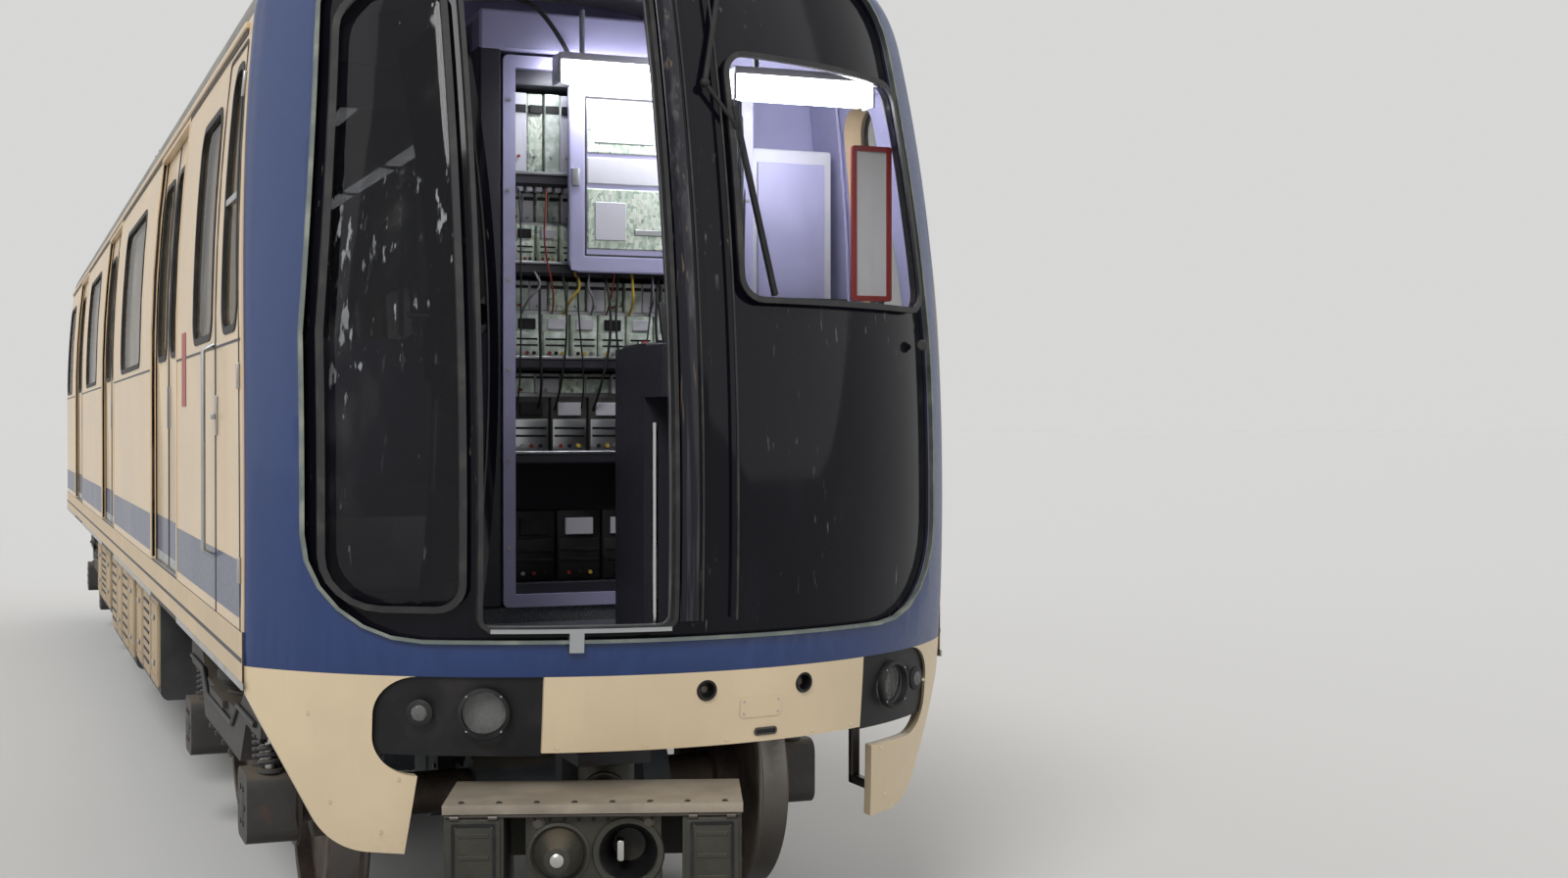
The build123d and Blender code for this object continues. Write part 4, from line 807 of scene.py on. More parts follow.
@maker("gloss black", "gloss black door")
def make_gloss(look, name):
    haze = look.fade(look.noise(3.0, 4.0, place=look.stretched(1.0, 1.0, 0.35)), 0.42, 0.78)
    scratch = look.noise(1.0, 5.0, place=look.stretched(70.0, 70.0, 9.0, (0.0, 0.6, 0.0)))
    zone = look.fade(look.noise(1.6, 2.0), 0.50, 0.66)
    worn = look.fade(scratch, 0.64, 0.74) * zone
    tone = look.mix(haze * 0.20, colours().panel_black, linear(40, 39, 48))
    tone = look.mix(worn * 0.55, tone, linear(150, 148, 146))
    look.set(base_color=tone, roughness=haze * 0.12 + worn * 0.25 + 0.07, specular_ior_level=0.13,
             normal=look.bump(look.noise(2.6, 1.5), 0.10, 0.010), coat_weight=0.06, coat_roughness=0.04)


# The glossy black post: its pale vertical streaks are painted highlights and its warm narrow streaks a
# painted reflection of the lamps.
@maker("pillar")
def make_pillar(look, name):
    # Pale vertical streaks: painted highlights, which also vary the roughness.
    streak = look.noise(1.0, 3.0, place=look.stretched(40.0, 40.0, 0.8))
    tone = look.mix(look.fade(streak, 0.50, 0.72), linear(17, 18, 27), linear(64, 62, 68))
    # Warm narrow vertical streaks: a painted reflection of the lamps.
    painted_lamp_glint = look.fade(look.noise(1.0, 2.0, place=look.stretched(60.0, 60.0, 0.5)), 0.62, 0.72)
    tone = look.mix(painted_lamp_glint * 0.30, tone, linear(150, 128, 104))
    look.set(base_color=tone, roughness=look.fade(streak, 0.3, 0.8) * 0.18 + 0.10, specular_ior_level=0.30,
             normal=look.bump(look.noise(4.0, 1.0), 0.15, 0.01))


@maker("lamp glass")
def make_lamp_glass(look, name):
    film = look.noise(40.0, 4.0)
    look.set(base_color=look.mix(look.fade(film, 0.4, 0.8), linear(176, 178, 176), linear(120, 118, 110)),
             alpha=look.fade(film, 0.4, 0.9) * 0.25 + 0.22, roughness=film * 0.15 + 0.04,
             normal=look.bump(look.bands("X", 18.0, 0.0), 0.5, 0.004), coat_weight=0.4)


@maker("wheel steel")
def make_wheel(look, name):
    cloud = look.noise(6.0, 5.0)
    specks = look.fade(look.noise(70.0, 3.0), 0.55, 0.72)
    tone = look.mix(look.fade(cloud, 0.35, 0.7), linear(58, 50, 44), linear(96, 84, 74))
    tone = look.mix(specks * 0.4, tone, linear(120, 86, 62))
    look.set(base_color=tone, metallic=0.35, roughness=cloud * 0.2 + 0.52,
             normal=look.bump(look.noise(120.0, 4.0), 0.4, 0.002))


@maker("cab lilac")
def make_lilac(look, name):
    lilac = colours().cab_lilac
    cloud = look.noise(2.4, 3.0)
    scuff = look.fade(look.noise(1.0, 5.0, place=look.stretched(14.0, 14.0, 60.0)), 0.64, 0.74)
    tone = look.mix(look.fade(cloud, 0.35, 0.7), shade(lilac, 0.90), shade(lilac, 1.06))
    tone = look.mix(scuff * 0.12, tone, linear(90, 88, 96))
    look.set(base_color=tone, roughness=cloud * 0.15 + 0.38,
             normal=look.bump(look.noise(380.0, 2.0), 0.2, 0.001))


@maker("saloon floor")
def make_floor(look, name):
    flecks = look.cells("F1", 150.0)
    cloud = look.noise(2.0, 5.0)
    tone = look.mix(look.fade(flecks, 0.16, 0.30), linear(150, 150, 148), linear(86, 90, 96))
    tone = look.mix(look.fade(cloud, 0.45, 0.75) * 0.35, tone, linear(66, 60, 54))
    look.set(base_color=tone, roughness=cloud * 0.25 + 0.38, normal=look.bump(flecks, 0.12, 0.0008))


@maker("board green")
def make_board(look, name):
    cells = look.node("ShaderNodeTexVoronoi", {"feature": "F1", "distance": "CHEBYCHEV"},
                      {"Vector": look.stretched(95.0, 8.0, 60.0), "Scale": 1.0}, "Color")
    bright = look.node("ShaderNodeSeparateColor", {}, {"Color": cells}, 0)
    tone = look.node("ShaderNodeValToRGB", {"stops": [
        (0.0, linear(150, 170, 152)), (0.3, linear(188, 204, 184)), (0.7, linear(212, 220, 204)),
        (0.93, linear(226, 230, 220)), (1.0, linear(110, 122, 114))]}, {"Fac": bright})
    look.set(base_color=tone, roughness=bright * 0.2 + 0.35, normal=look.bump(bright, 0.5, 0.004))


@maker("lamp glow", "saloon glow")
def make_glow(look, name):
    soft = look.fade(look.noise(3.0, 2.0), 0.2, 0.8)
    look.set(base_color=(0.8, 0.8, 0.82), emission_color=look.mix(soft, (0.86, 0.90, 1.0), (1.0, 1.0, 1.0)),
             roughness=0.4, emission_strength=29.0 if name == "lamp glow" else 2.2)


@maker("screen dark")
def make_screen(look, name):
    haze = look.noise(20.0, 3.0)
    look.set(base_color=look.mix(look.fade(haze, 0.4, 0.8), linear(18, 22, 26), linear(44, 50, 54)),
             roughness=haze * 0.15 + 0.08, coat_weight=0.5, normal=look.bump(haze, 0.05, 0.001))


@maker("seat cloth")
def make_cloth(look, name):
    cloth = colours().seat_cloth
    warp, weft, rows = [look.bands(way, 190.0, 0.6) for way in "YXZ"]
    weave = (warp + weft + rows) * 0.33
    worn = look.fade(look.noise(7.0, 4.0), 0.45, 0.75)
    tone = look.mix(weave, shade(cloth, 0.7), shade(cloth, 1.25))
    tone = look.mix(worn * 0.25, tone, linear(110, 116, 124))
    look.set(base_color=tone, roughness=worn * 0.1 + 0.82, normal=look.bump(weave, 0.5, 0.0015),
             sheen_weight=0.3)


@maker("seat vinyl")
def make_vinyl(look, name):
    cloud = look.noise(5.0, 4.0)
    tone = look.mix(look.fade(cloud, 0.4, 0.7), linear(28, 30, 34), linear(48, 50, 56))
    look.set(base_color=tone, roughness=cloud * 0.15 + 0.42,
             normal=look.bump(look.cells("DISTANCE_TO_EDGE", 260.0), 0.4, 0.0015))


class Step(bpy.types.Operator):
    """A step of the dressing, run once from the panel or from main."""

    bl_options = {"REGISTER", "UNDO"}

    def execute(self, context):
        self.make()
        return {"FINISHED"}


# Finish of each CAD node, or of all nodes whose names start so
NODE_LOOKS = {"side_wall": "side cream", "end_wall": "side cream", "door_": "door cream",
              "end_door": "door cream", "nose_surround": "ring blue", "nose_skirt": "skirt white",
              "nose_mask": "gloss black", "front_door": "gloss black door", "windscreens": "windscreen glass",
              "side_windows": "side glass", "lamp_housings": "lamp black", "headlamps": "lamp glass",
              "front_step": "aluminium", "wiper": "soft black", "roof": "roof grey",
              "ceiling_panel": "saloon white", "cab_partition": "cab lilac", "cab_door": "cab lilac",
              "floor_panel": "saloon floor", "underframe": "box dark", "equipment_boxes": "box dark",
              "equipment_cabinet": "cab dark", "control_desk": "cab dark", "driver_seat": "seat vinyl",
              "benches": "moulded grey", "grab_poles": "stainless", "pantograph": "frame red",
              "coupler": "coupler olive", "bogie_frame": "gear grey", "bogie_springs": "spring paint",
              "motors": "motor blue grey", "wheelset": "wheel steel"}


class METROCAR_OT_finish_solids(Step):
    """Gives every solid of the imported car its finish"""

    bl_idname = "metro_car.finish_solids"
    bl_label = "Finish the solids"

    def make(self):
        for name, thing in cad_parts.items():
            looks = [look for start, look in NODE_LOOKS.items() if name.startswith(start)]
            if len(looks) != 1:
                raise ValueError(f"{len(looks)} finishes for {name}")
            if not thing.material_slots:
                thing.data.materials.append(None)
            for slot in thing.material_slots:
                slot.material = finish(looks[0])


def mask_outline():
    low, top = MASK_LOW, MASK_TOP
    wide, narrow = mask_half(low), mask_half(top)
    return Outline([(-wide, low), (wide, low), (wide, WAIST), (narrow, top), (-narrow, top), (-wide, WAIST)],
                   [0.300, 0.300, 0, 0.220, 0.220, 0], GRID)


def left_pane():
    low, top, waist = RAIL + 1.210, RAIL + 3.040, WAIST
    points = [(-mask_half(low) + 0.045, low), (-0.610, low), (-0.610, top), (-mask_half(top) + 0.045, top),
              (-mask_half(waist) + 0.045, waist)]
    return Outline(points, [0.150, 0.070, 0.070, 0.150, 0], GRID)


def driver_pane():
    low, top = RAIL + 2.100, RAIL + 2.850
    points = [(0.195, low), (mask_half(low) - 0.030, low), (mask_half(top) - 0.030, top), (0.195, top)]
    return Outline(points, [0.070] * 4, GRID)


def front_doorway():
    return rectangle(-0.560, -0.030, RAIL + 1.160, RAIL + 3.040, 0.030, GRID)


def front_pillar(trim):
    """The glossy post between the doorway and the driver's side, with its cover strip."""
    # Edges across the car, height proud of the panel, bevel and its segments, look
    for x0, x1, proud, bevel, segments, look in ((-0.014, 0.040, 0.010, 0.006, 2, 2),
                                                 (0.050, 0.056, 0.005, 0, 1, 1),
                                                 (0.160, 0.166, 0.004, 0, 1, 1)):
        trim.box((x0, PROUD - 0.004, RAIL + 1.170), (x1, PROUD + proud, RAIL + 3.060), bevel, segments,
                 grid=GRID, look=look)


def panel_knob(trim):
    """A small catch at the right edge of the black panel."""
    x, z = mask_half(RAIL + 1.99) - 0.060, RAIL + 1.990
    y = nose_y(x, z, -PROUD)
    trim.lathe([(0.0, -0.034), (0.014, -0.034), (0.018, -0.028), (0.018, -0.016), (0.010, -0.012),
                (0.010, 0.004)], (x, y, z), (0.45, 1.0, 0.0), 20, look=1, wrap=False)


class METROCAR_OT_front_trim(Step):
    """Seals, gaskets, pillar, knob and doorway frame on the car's nose"""

    bl_idname = "metro_car.front_trim"
    bl_label = "Front trim"

    def make(self):
        trim = Piece("front_trim", "seal grey", "rubber", "pillar", "aluminium", "gloss black", wrap=on_nose)
        half = sizes().seal / 2
        trim.ring(mask_outline(), -half, half, -0.004, PROUD + 0.003)
        gasket = sizes().gasket
        for pane in (left_pane(), driver_pane()):
            trim.ring(pane, -gasket * 0.45, gasket * 0.55, PROUD - 0.010, PROUD + 0.004, look=1)
        doorway = front_doorway()
        trim.ring(doorway, -0.012, 0.001, -0.020, PROUD + 0.003, look=1)
        trim.ring(doorway, -0.004, 0.004, -SHELL + 0.004, -0.022, look=3)
        front_pillar(trim)
        panel_knob(trim)
        trim.done("body", "black_gloss")
        middle = Vector((0, NOSE + 1.1, RAIL + 2.0))

        def lined(face):
            return 1 if face.normal.dot(face.calc_center_median() - middle) < 0 else 0

        ring = Piece("nose_surround_dressed", "ring blue", "cab lilac")
        ring.copy_of("nose_surround", 0.002, face_look=lined)
        ring.done("body", "blue_paint", "nose_surround")
        panes = Piece("front_panes", "windscreen glass", "left glass")
        panes.copy_of("windscreens", 0.0015, island_look=lambda low, high: 1 if low.x < -0.5 else 0)
        panes.done("body", "pane", "windscreens")


def marker_lamp(lamps, x, z):
    """A small dark tail lamp beside the headlamp."""
    y = nose_y(x, z, -PROUD)
    way = inward(x)
    lamps.lathe([(0.0, -0.006), (0.030, -0.005), (0.038, -0.001), (0.038, 0.006)], (x, y, z), way, 28, look=2)
    lamps.lathe([(0.0, -0.010), (0.018, -0.008), (0.026, -0.003), (0.028, 0.002)], (x, y, z), way, 28, look=3)


class METROCAR_OT_headlamps(Step):
    """Bezels, reflectors, bulbs and marker lamps in the two dark recesses"""

    bl_idname = "metro_car.headlamps"
    bl_label = "Headlamps"

    def make(self):
        lamps = Piece("lamp_fittings", "aluminium", "bright steel", "soft black", "lamp glass",
                      "blank red plate")
        z = RAIL + 0.917
        for x, marker in ((-0.545, -0.715), (0.790, 0.925)):
            y = nose_y(x, z, 0.0)
            way = inward(x)
            lamps.lathe([(0.063, -0.022), (0.073, -0.020), (0.076, -0.012), (0.074, 0.000), (0.062, 0.000),
                         (0.063, -0.022)], (x, y, z), way, 40, look=2)
            lamps.lathe([(0.056, 0.042), (0.050, 0.060), (0.036, 0.078), (0.018, 0.088), (0.006, 0.090)],
                        (x, y, z), way, 32, look=1)
            lamps.lathe([(0.0, 0.046), (0.010, 0.050), (0.013, 0.062), (0.009, 0.080), (0.009, 0.090)],
                        (x, y, z), way, 16, look=3)
            across = Vector((way.y, -way.x, 0.0))
            for side, rise in round_spots(4, 0.069, 0.5):
                spot = Vector((x, y, z)) + across * side + Vector((0, 0, rise))
                lamps.bolt(spot - way * 0.018, -way, 0.0035, 0.003)
            marker_lamp(lamps, marker, z)
        lamps.done("body", "lamp_black")


def partition_door():
    """The cab's rear door with its glass, handle and kick plate."""
    glazed_leaf("cab_door", "cab_door", "cab lilac", "interior_light")
    door = Piece("cab_door_fittings", "aluminium", "rubber", "soft black")
    low, high = frame_box("cab_door")
    y = low[1]
    door.box((low[0] + 0.04, y - 0.003, FLOOR + 0.05), (high[0] - 0.04, y - 0.0003, FLOOR + 0.30), 0.001)
    door.box((high[0] - 0.075, y - 0.012, FLOOR + 0.90), (high[0] - 0.035, y - 0.0003, FLOOR + 1.06), 0.003,
             2, look=2)
    door.tube([(high[0] - 0.055, y - 0.008, FLOOR + 0.99), (high[0] - 0.055, y - 0.045, FLOOR + 0.99),
               (high[0] - 0.150, y - 0.045, FLOOR + 0.99)], 0.008)
    door.done("cab_door", "interior_light")


def driver_seat():
    """Crowned cushions, levers and bellows of the driver's seat."""
    pads = Piece("driver_cushions", "seat cloth", "seat vinyl")
    y0 = NOSE + 1.000
    cushion_pad(pads, (0.572, 0.988), (y0 - 0.130, y0 + 0.066), FLOOR + 0.5205, 0.062, "XY")
    cushion_pad(pads, (0.590, 0.970), (FLOOR + 0.565, FLOOR + 1.050), y0 + 0.0595, -0.052, "XZ")
    thing = pads.done("body", "seat_fabric", sharp=180.0)
    rest = Piece("driver_seat_fittings", "soft black", "aluminium", "rubber")
    for k in range(6):
        z = FLOOR + 0.12 + 0.045 * k
        rest.lathe([(0.046, -0.020), (0.066, -0.010), (0.078, 0.0), (0.066, 0.010), (0.046, 0.020)],
                   (0.780, y0, z), UP, 28, look=2)
    for dx, dy in round_spots(4, 0.095, 0.5):
        rest.bolt((0.780 + dx, y0 + dy, FLOOR + 0.0005), UP, 0.009, 0.008, look=1)
    for x0, x1 in ((0.555, 0.569), (0.991, 1.003)):
        rest.box((x0, y0 - 0.11, FLOOR + 0.430), (x1, y0 + 0.12, FLOOR + 0.500), 0.005, 2)
    rest.rod((0.560, y0 - 0.06, FLOOR + 0.465), (0.535, y0 - 0.06, FLOOR + 0.465), 0.012, sides=16, look=1)
    rest.done("body", "seat_fabric")


def cabinet_frame():
    """The cabinet with its rows of units and its pale edge."""
    front = CABINET

    def look(low, high):
        if high.x - low.x > 0.6:
            return 0
        if low.y < front - 0.02:
            return 1
        units = {5: 2, 6: 3, 8: 4, 10: 5}
        return units[min(units, key=lambda count: abs(RACK_WIDTH / count - 0.008 - (high.x - low.x)))]

    case = Piece("equipment_cabinet_dressed", "cab dark", "cab lilac", "soft black", "gear grey",
                 "relay clear", "board green")
    case.copy_of("equipment_cabinet", 0.002, island_look=look)
    case.done("body", "cabinet_grey", "equipment_cabinet")
    shell = Piece("cabinet_frame", "cab white", "cab dark", "aluminium", "cab lilac")
    shell.ring(rectangle(-0.250, 0.645, FLOOR + 0.002, RAIL + 2.972, 0.02), 0.0, 0.042, front - 0.030, front,
               look=3)
    for height in (0.480, 0.800, 1.120, 1.420):
        shell.box((-0.206, front - 0.014, FLOOR + height + 0.004),
                  (0.602, front + 0.002, FLOOR + height + 0.036), 0.004, look=1)
        shell.box((-0.206, front - 0.018, FLOOR + height + 0.036),
                  (0.602, front - 0.010, FLOOR + height + 0.046), 0.002, look=2)
    for k in range(6):
        for x in (-0.230, 0.625):
            shell.bolt((x, front - 0.030, FLOOR + 0.20 + 0.30 * k), (0, -1, 0), 0.006, 0.005, look=2)
    shell.done("body", "cabinet_grey")


def relay_racks():
    """Fronts, plugs, lamps and labels on the rows of units, and card frames over them."""
    racks = Piece("relay_racks", "board green", "relay clear", "cab white", "soft black", "aluminium",
                  "cable red", "cable yellow")
    front = CABINET
    # Height over the floor, units, height, depth behind the front, look of the face
    for low, count, tall, back, look in ((0.080, 5, 0.240, 0.060, 3), (0.520, 6, 0.190, 0.040, 4),
                                         (0.840, 8, 0.150, 0.030, 1), (1.160, 10, 0.130, 0.022, 0)):
        pitch = RACK_WIDTH / count
        wide = pitch - 0.008
        z = FLOOR + low
        y = front + back
        for k in range(count):
            x = RACK_X + k * pitch + 0.004
            racks.box((x + 0.004, y - 0.006, z + 0.006), (x + wide - 0.004, y + 0.001, z + tall * 0.60),
                      0.003, 2, look=look)
            racks.box((x + wide * 0.18, y - 0.009, z + tall * 0.66),
                      (x + wide * 0.82, y + 0.001, z + tall * 0.90), 0.002, look=2 if k % 3 else 3)
            for m in range(3):
                spot = x + wide * (0.25 + 0.25 * m)
                racks.rod((spot, y - 0.012, z + tall * 0.12), (spot, y - 0.002, z + tall * 0.12),
                          min(0.007, wide * 0.07), sides=10, look=(4, 5, 3, 6)[(k + m) % 4])
            for share in (0.28, 0.42):
                racks.box((x + 0.010, y - 0.0085, z + tall * share),
                          (x + wide - 0.010, y - 0.004, z + tall * (share + 0.04)), 0.001, look=3)
    # Card frames that fill the shelves: height over the floor, cards, height, depth behind the front
    for low, count, tall, back in ((1.470, 14, 0.270, 0.040), (1.300, 18, 0.105, 0.060),
                                   (1.000, 12, 0.105, 0.050), (0.720, 9, 0.070, 0.060)):
        pitch = RACK_WIDTH / count
        z = FLOOR + low
        y = front + back
        for k in range(count):
            x = RACK_X + k * pitch + 0.002
            racks.box((x, y + 0.012 * (k % 2), z), (x + pitch - 0.005, front + 0.172, z + tall), 0.003,
                      look=(1, 0, 2)[(k * 5 + count) % 3])
            racks.box((x + 0.004, y - 0.005, z + tall * 0.75),
                      (x + pitch - 0.009, y + 0.012 * (k % 2) + 0.001, z + tall * 0.85), 0.001, look=3)
            racks.rod((x + pitch * 0.4, y - 0.008, z + tall * 0.2),
                      (x + pitch * 0.4, y + 0.014, z + tall * 0.2), 0.005, sides=8, look=(4, 5)[k % 5 == 0])
        racks.box((-0.205, y - 0.012, z - 0.012), (0.600, y + 0.004, z + 0.004), 0.002, look=4)
    for k in range(24):
        x = -0.195 + 0.033 * k
        racks.box((x, front + 0.002, FLOOR + 1.402), (x + 0.022, front + 0.040, FLOOR + 1.418), 0.002, look=2)
    racks.done("body", "cabinet_grey")


def cabinet_wiring():
    """Bundles of wires that hang between the shelves and along the rack's side."""
    runs = Piece("cabinet_wiring", "cable black", "cable grey", "cable red", "cable yellow")
    front = NOSE + 1.130
    radius = sizes().cable / 2
    for k in range(22):
        x = -0.190 + 0.036 * k
        swing = 0.018 * math.sin(k * 1.7)
        top = FLOOR + (1.180 if k % 3 else 1.460)
        low = FLOOR + (0.980 if k % 2 else 0.660)
        mid = (top + low) / 2
        points = [(x, front + 0.060, top), (x + swing, front - 0.008, top - 0.060),
                  (x + swing * 2, front - 0.014, mid), (x - swing, front - 0.006, low + 0.050),
                  (x - swing, front + 0.070, low)]
        runs.tube(points, radius * (0.5 + 0.15 * (k % 3)), smooth=True, look=(0, 1, 0, 2, 0, 3)[k % 6])
    for k in range(5):
        y = front - 0.006 - 0.012 * (k % 2)
        x = 0.560 + 0.014 * k
        points = [(x, y, FLOOR + 0.30), (x + 0.01, y - 0.01, FLOOR + 0.70), (x - 0.012, y, FLOOR + 1.10),
                  (x, y, FLOOR + 1.50), (x + 0.004, y + 0.02, FLOOR + 1.78)]
        runs.tube(points, radius * 1.1, smooth=True)
    points = [(-0.300, NOSE + 1.10, RAIL + 3.170), (-0.180, NOSE + 1.05, RAIL + 3.150),
              (-0.080, NOSE + 1.08, RAIL + 3.060), (-0.030, NOSE + 1.10, RAIL + 2.985)]
    runs.tube(points, 0.008, smooth=True)
    runs.done("body", "wiper_black")


def hinged_window():
    """The cards, latch and hinges in the frame before the upper shelves."""
    leaf = Piece("cabinet_window_fittings", "cab lilac", "board green", "screen dark", "aluminium",
                 "cab white", "rubber")
    y = NOSE + 1.095
    outline = rectangle(-0.030, 0.440, RAIL + 2.250, RAIL + 2.900, 0.0, 0.2)
    leaf.ring(outline, 0.006, 0.050, y - 0.004, y - 0.0025)
    leaf.ring(outline, 0.050, 0.062, y + 0.001, y + 0.010, look=5)
    # Edges across the car, heights over the rail, depths about the frame, bevel, look
    for x0, x1, low, high, near, far, bevel, look in (
            (0.034, 0.376, 2.330, 2.535, -0.001, 0.008, 0.004, 1),
            (0.034, 0.376, 2.550, 2.640, -0.001, 0.008, 0.004, 4),
            (0.034, 0.376, 2.655, 2.835, -0.001, 0.008, 0.004, 1),
            (0.060, 0.270, 2.690, 2.800, -0.004, 0.001, 0.003, 4),
            (0.300, 0.330, 2.700, 2.780, -0.004, 0.001, 0.003, 2),
            (0.060, 0.170, 2.360, 2.490, -0.004, 0.001, 0.003, 4),
            (0.200, 0.340, 2.380, 2.400, -0.004, 0.001, 0.002, 3)):
        leaf.box((x0, y + near, RAIL + low), (x1, y + far, RAIL + high), bevel, look=look)
    for z in (2.340, 2.810):
        leaf.rod((0.446, y - 0.001, RAIL + z - 0.03), (0.446, y - 0.001, RAIL + z + 0.03), 0.008, look=3)
    leaf.box((-0.022, y - 0.012, RAIL + 2.540), (0.004, y - 0.003, RAIL + 2.600), 0.003, 2, look=3)
    leaf.done("body", "cabinet_grey")


def cab_lamps():
    """The bright lamps under the cab ceiling, with their holders and stalks."""
    lamps = Piece("cab_lamps", "lamp glow", "cab white", "aluminium")
    # Ends across the car, depths behind the nose, heights over the rail
    for x0, x1, back0, back1, low, high in ((-0.090, 0.400, 0.965, 1.045, 2.868, 2.950),
                                            (0.420, 0.900, 0.680, 0.760, 2.800, 2.890)):
        lamps.box((x0, NOSE + back0, RAIL + low), (x1, NOSE + back1, RAIL + high), 0.030, 4)
        lamps.box((x0 - 0.010, NOSE + back0 - 0.008, RAIL + high - 0.012),
                  (x1 + 0.010, NOSE + back1 + 0.008, RAIL + high + 0.014), 0.005, 2, look=1)
        for x in (x0 - 0.012, x1 + 0.002):
            lamps.box((x, NOSE + back0 - 0.004, RAIL + low - 0.004),
                      (x + 0.010, NOSE + back1 + 0.004, RAIL + high), 0.003, look=1)
        for x in (x0 + 0.08, x1 - 0.08):
            middle = NOSE + (back0 + back1) / 2
            lamps.rod((x, middle, RAIL + high + 0.01), (x, middle, RAIL + 3.115), 0.009, sides=14, look=2)
    lamps.done("body", "interior_light")


def desk_fittings():
    """Driver's desk: top edge, screens, buttons, handles."""
    desk = Piece("desk_fittings", "seat vinyl", "screen dark", "aluminium", "cable red", "soft black",
                 "cab dark")
    y0 = DESK
    top = FLOOR + 0.860
    desk.box((0.080, y0 + 0.20, top - 0.004), (0.960, y0 + 0.455, top + 0.014), 0.008, 2, look=5)
    for k, x in enumerate((0.150, 0.420, 0.690)):
        tilt = Matrix.Translation((x, y0 + 0.230, top + 0.012)) @ Matrix.Rotation(math.radians(-22), 4, "X")
        desk.box((0.0, 0.0, 0.0), (0.230, 0.020, 0.150), 0.008, 2, look=4, matrix=tilt)
        desk.box((0.015, 0.016, 0.015), (0.215, 0.024, 0.135), 0.003, look=1, matrix=tilt)
    for row in range(2):
        for k in range(12):
            x = 0.120 + 0.068 * k
            y = y0 + 0.330 + 0.050 * row
            desk.rod((x, y, top + 0.012), (x, y, top + 0.024), 0.012, 0.010, sides=16,
                     look=(3, 2, 4)[(k + row) % 3])
    desk.tube([(0.300, y0 + 0.40, top + 0.01), (0.300, y0 + 0.40, top + 0.09),
               (0.330, y0 + 0.43, top + 0.11)], 0.009, look=2)
    desk.ball((0.335, y0 + 0.435, top + 0.112), 0.020, look=4)
    desk.tube([(0.840, y0 + 0.40, top + 0.01), (0.840, y0 + 0.40, top + 0.08)], 0.010, look=2)
    desk.ball((0.840, y0 + 0.40, top + 0.090), 0.022, look=4)
    desk.tube([(0.200, y0 + 0.470, FLOOR + 0.25), (0.200, y0 + 0.47, FLOOR + 0.60),
               (0.900, y0 + 0.47, FLOOR + 0.60), (0.900, y0 + 0.47, FLOOR + 0.25)], 0.012, look=2)
    desk.done("body", "cabinet_grey")


def number_board():
    """The blank board behind the windscreen, with its red edge."""
    x0, x1, z0, z1 = 0.805, 0.950, RAIL + 2.145, RAIL + 2.660
    y = nose_y(x1 + 0.006, z1 + 0.01, SHELL) + 0.016
    board = Piece("number_board", "blank plate", "blank red plate", "aluminium",
                  matrix=Matrix.Translation((0, y, 0)))
    board.ring(rectangle(x0, x1, z0, z1, 0.01, 0.3), 0.0, 0.018, -0.010, 0.002, look=1)
    board.plate(rectangle(x0, x1, z0, z1, 0.01, 0.3), 0.014, -0.004, 0.002)
    for x in (x0 + 0.02, x1 - 0.05):
        board.box((x, 0.0, z0 - 0.05), (x + 0.03, 0.03, z0 + 0.10), 0.004, look=2)
    board.done("body", "interior_light")


def cab_linings():
    """Lilac linings on the cab's walls and the strip above the cabinet."""
    lining = Piece("cab_linings", "cab lilac", "cab dark", "rubber", "cab white")
    lining.box((-0.330, NOSE + 1.120, FLOOR + 0.003), (-0.256, NOSE + 1.440, RAIL + 3.10), 0.006, look=1)
    lining.box((-0.330, NOSE + 1.115, RAIL + 2.985), (0.980, NOSE + 1.440, RAIL + 3.12), 0.008)
    for *_, wrap in SIDES:
        for y0, y1, z0, z1 in ((-6.500, -5.760, CAB_FLOOR + 0.10, RAIL + 2.012),
                               (-5.992, -5.760, RAIL + 2.016, RAIL + 2.95),
                               (-6.440, -5.996, RAIL + 2.880, RAIL + 2.95)):
            lining.box((-WALL - 0.016, y0, z0), (-WALL - 0.004, y1, z1), 0.003, grid=0.2, wrap=wrap)
    lining.box((0.660, NOSE + 1.200, FLOOR + 0.90), (0.980, NOSE + 1.440, FLOOR + 1.60), 0.01, 2, look=3)
    lining.box((0.690, NOSE + 1.190, FLOOR + 0.95), (0.950, NOSE + 1.202, FLOOR + 1.55), 0.006, 2)
    lining.done("body", "interior_light")


class METROCAR_OT_cab_interior(Step):
    """Racks, relay boards, wiring, hinged cabinet window, lamps and number board in the cab"""

    bl_idname = "metro_car.cab_interior"
    bl_label = "Cab interior"

    def make(self):
        cabinet_frame()
        relay_racks()
        cabinet_wiring()
        hinged_window()
        cab_lamps()
        desk_fittings()
        number_board()
        cab_linings()
        partition_door()
        driver_seat()


def frame_box(node):
    """The two corners of a node's box."""
    points = [vert.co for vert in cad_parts[node].data.vertices]
    return [tuple(pick(point[axis] for point in points) for axis in range(3)) for pick in (min, max)]


def cushion_pad(pads, across, along, base, thick, plane):
    """A pad on a flat seat: its face swells and its corners draw in."""
    part = bmesh.new()
    bmesh.ops.create_cube(part, size=1.0)
    bmesh.ops.subdivide_edges(part, edges=part.edges[:], cuts=11, use_grid_fill=True)
    for vert in part.verts:
        u, v, w = vert.co.x * 2, vert.co.y * 2, vert.co.z * 2
        draw = 1.0 - 0.07 * (u * u) * (v * v)
        crown = (1 - abs(u) ** 3.5) * (1 - abs(v) ** 3.5)
        lift = (0.5 + 0.5 * w if w < 0.99 else 0.60 + 0.40 * crown) * thick
        a = (across[0] + across[1]) / 2 + (across[1] - across[0]) / 2 * u * draw
        b = (along[0] + along[1]) / 2 + (along[1] - along[0]) / 2 * v * draw
        vert.co = (a, b, base + lift) if plane == "XY" else (a, base + lift, b)
    bmesh.ops.smooth_vert(part, verts=part.verts, factor=0.4, use_axis_x=True, use_axis_y=True,
                          use_axis_z=True)
    pads.take(part)


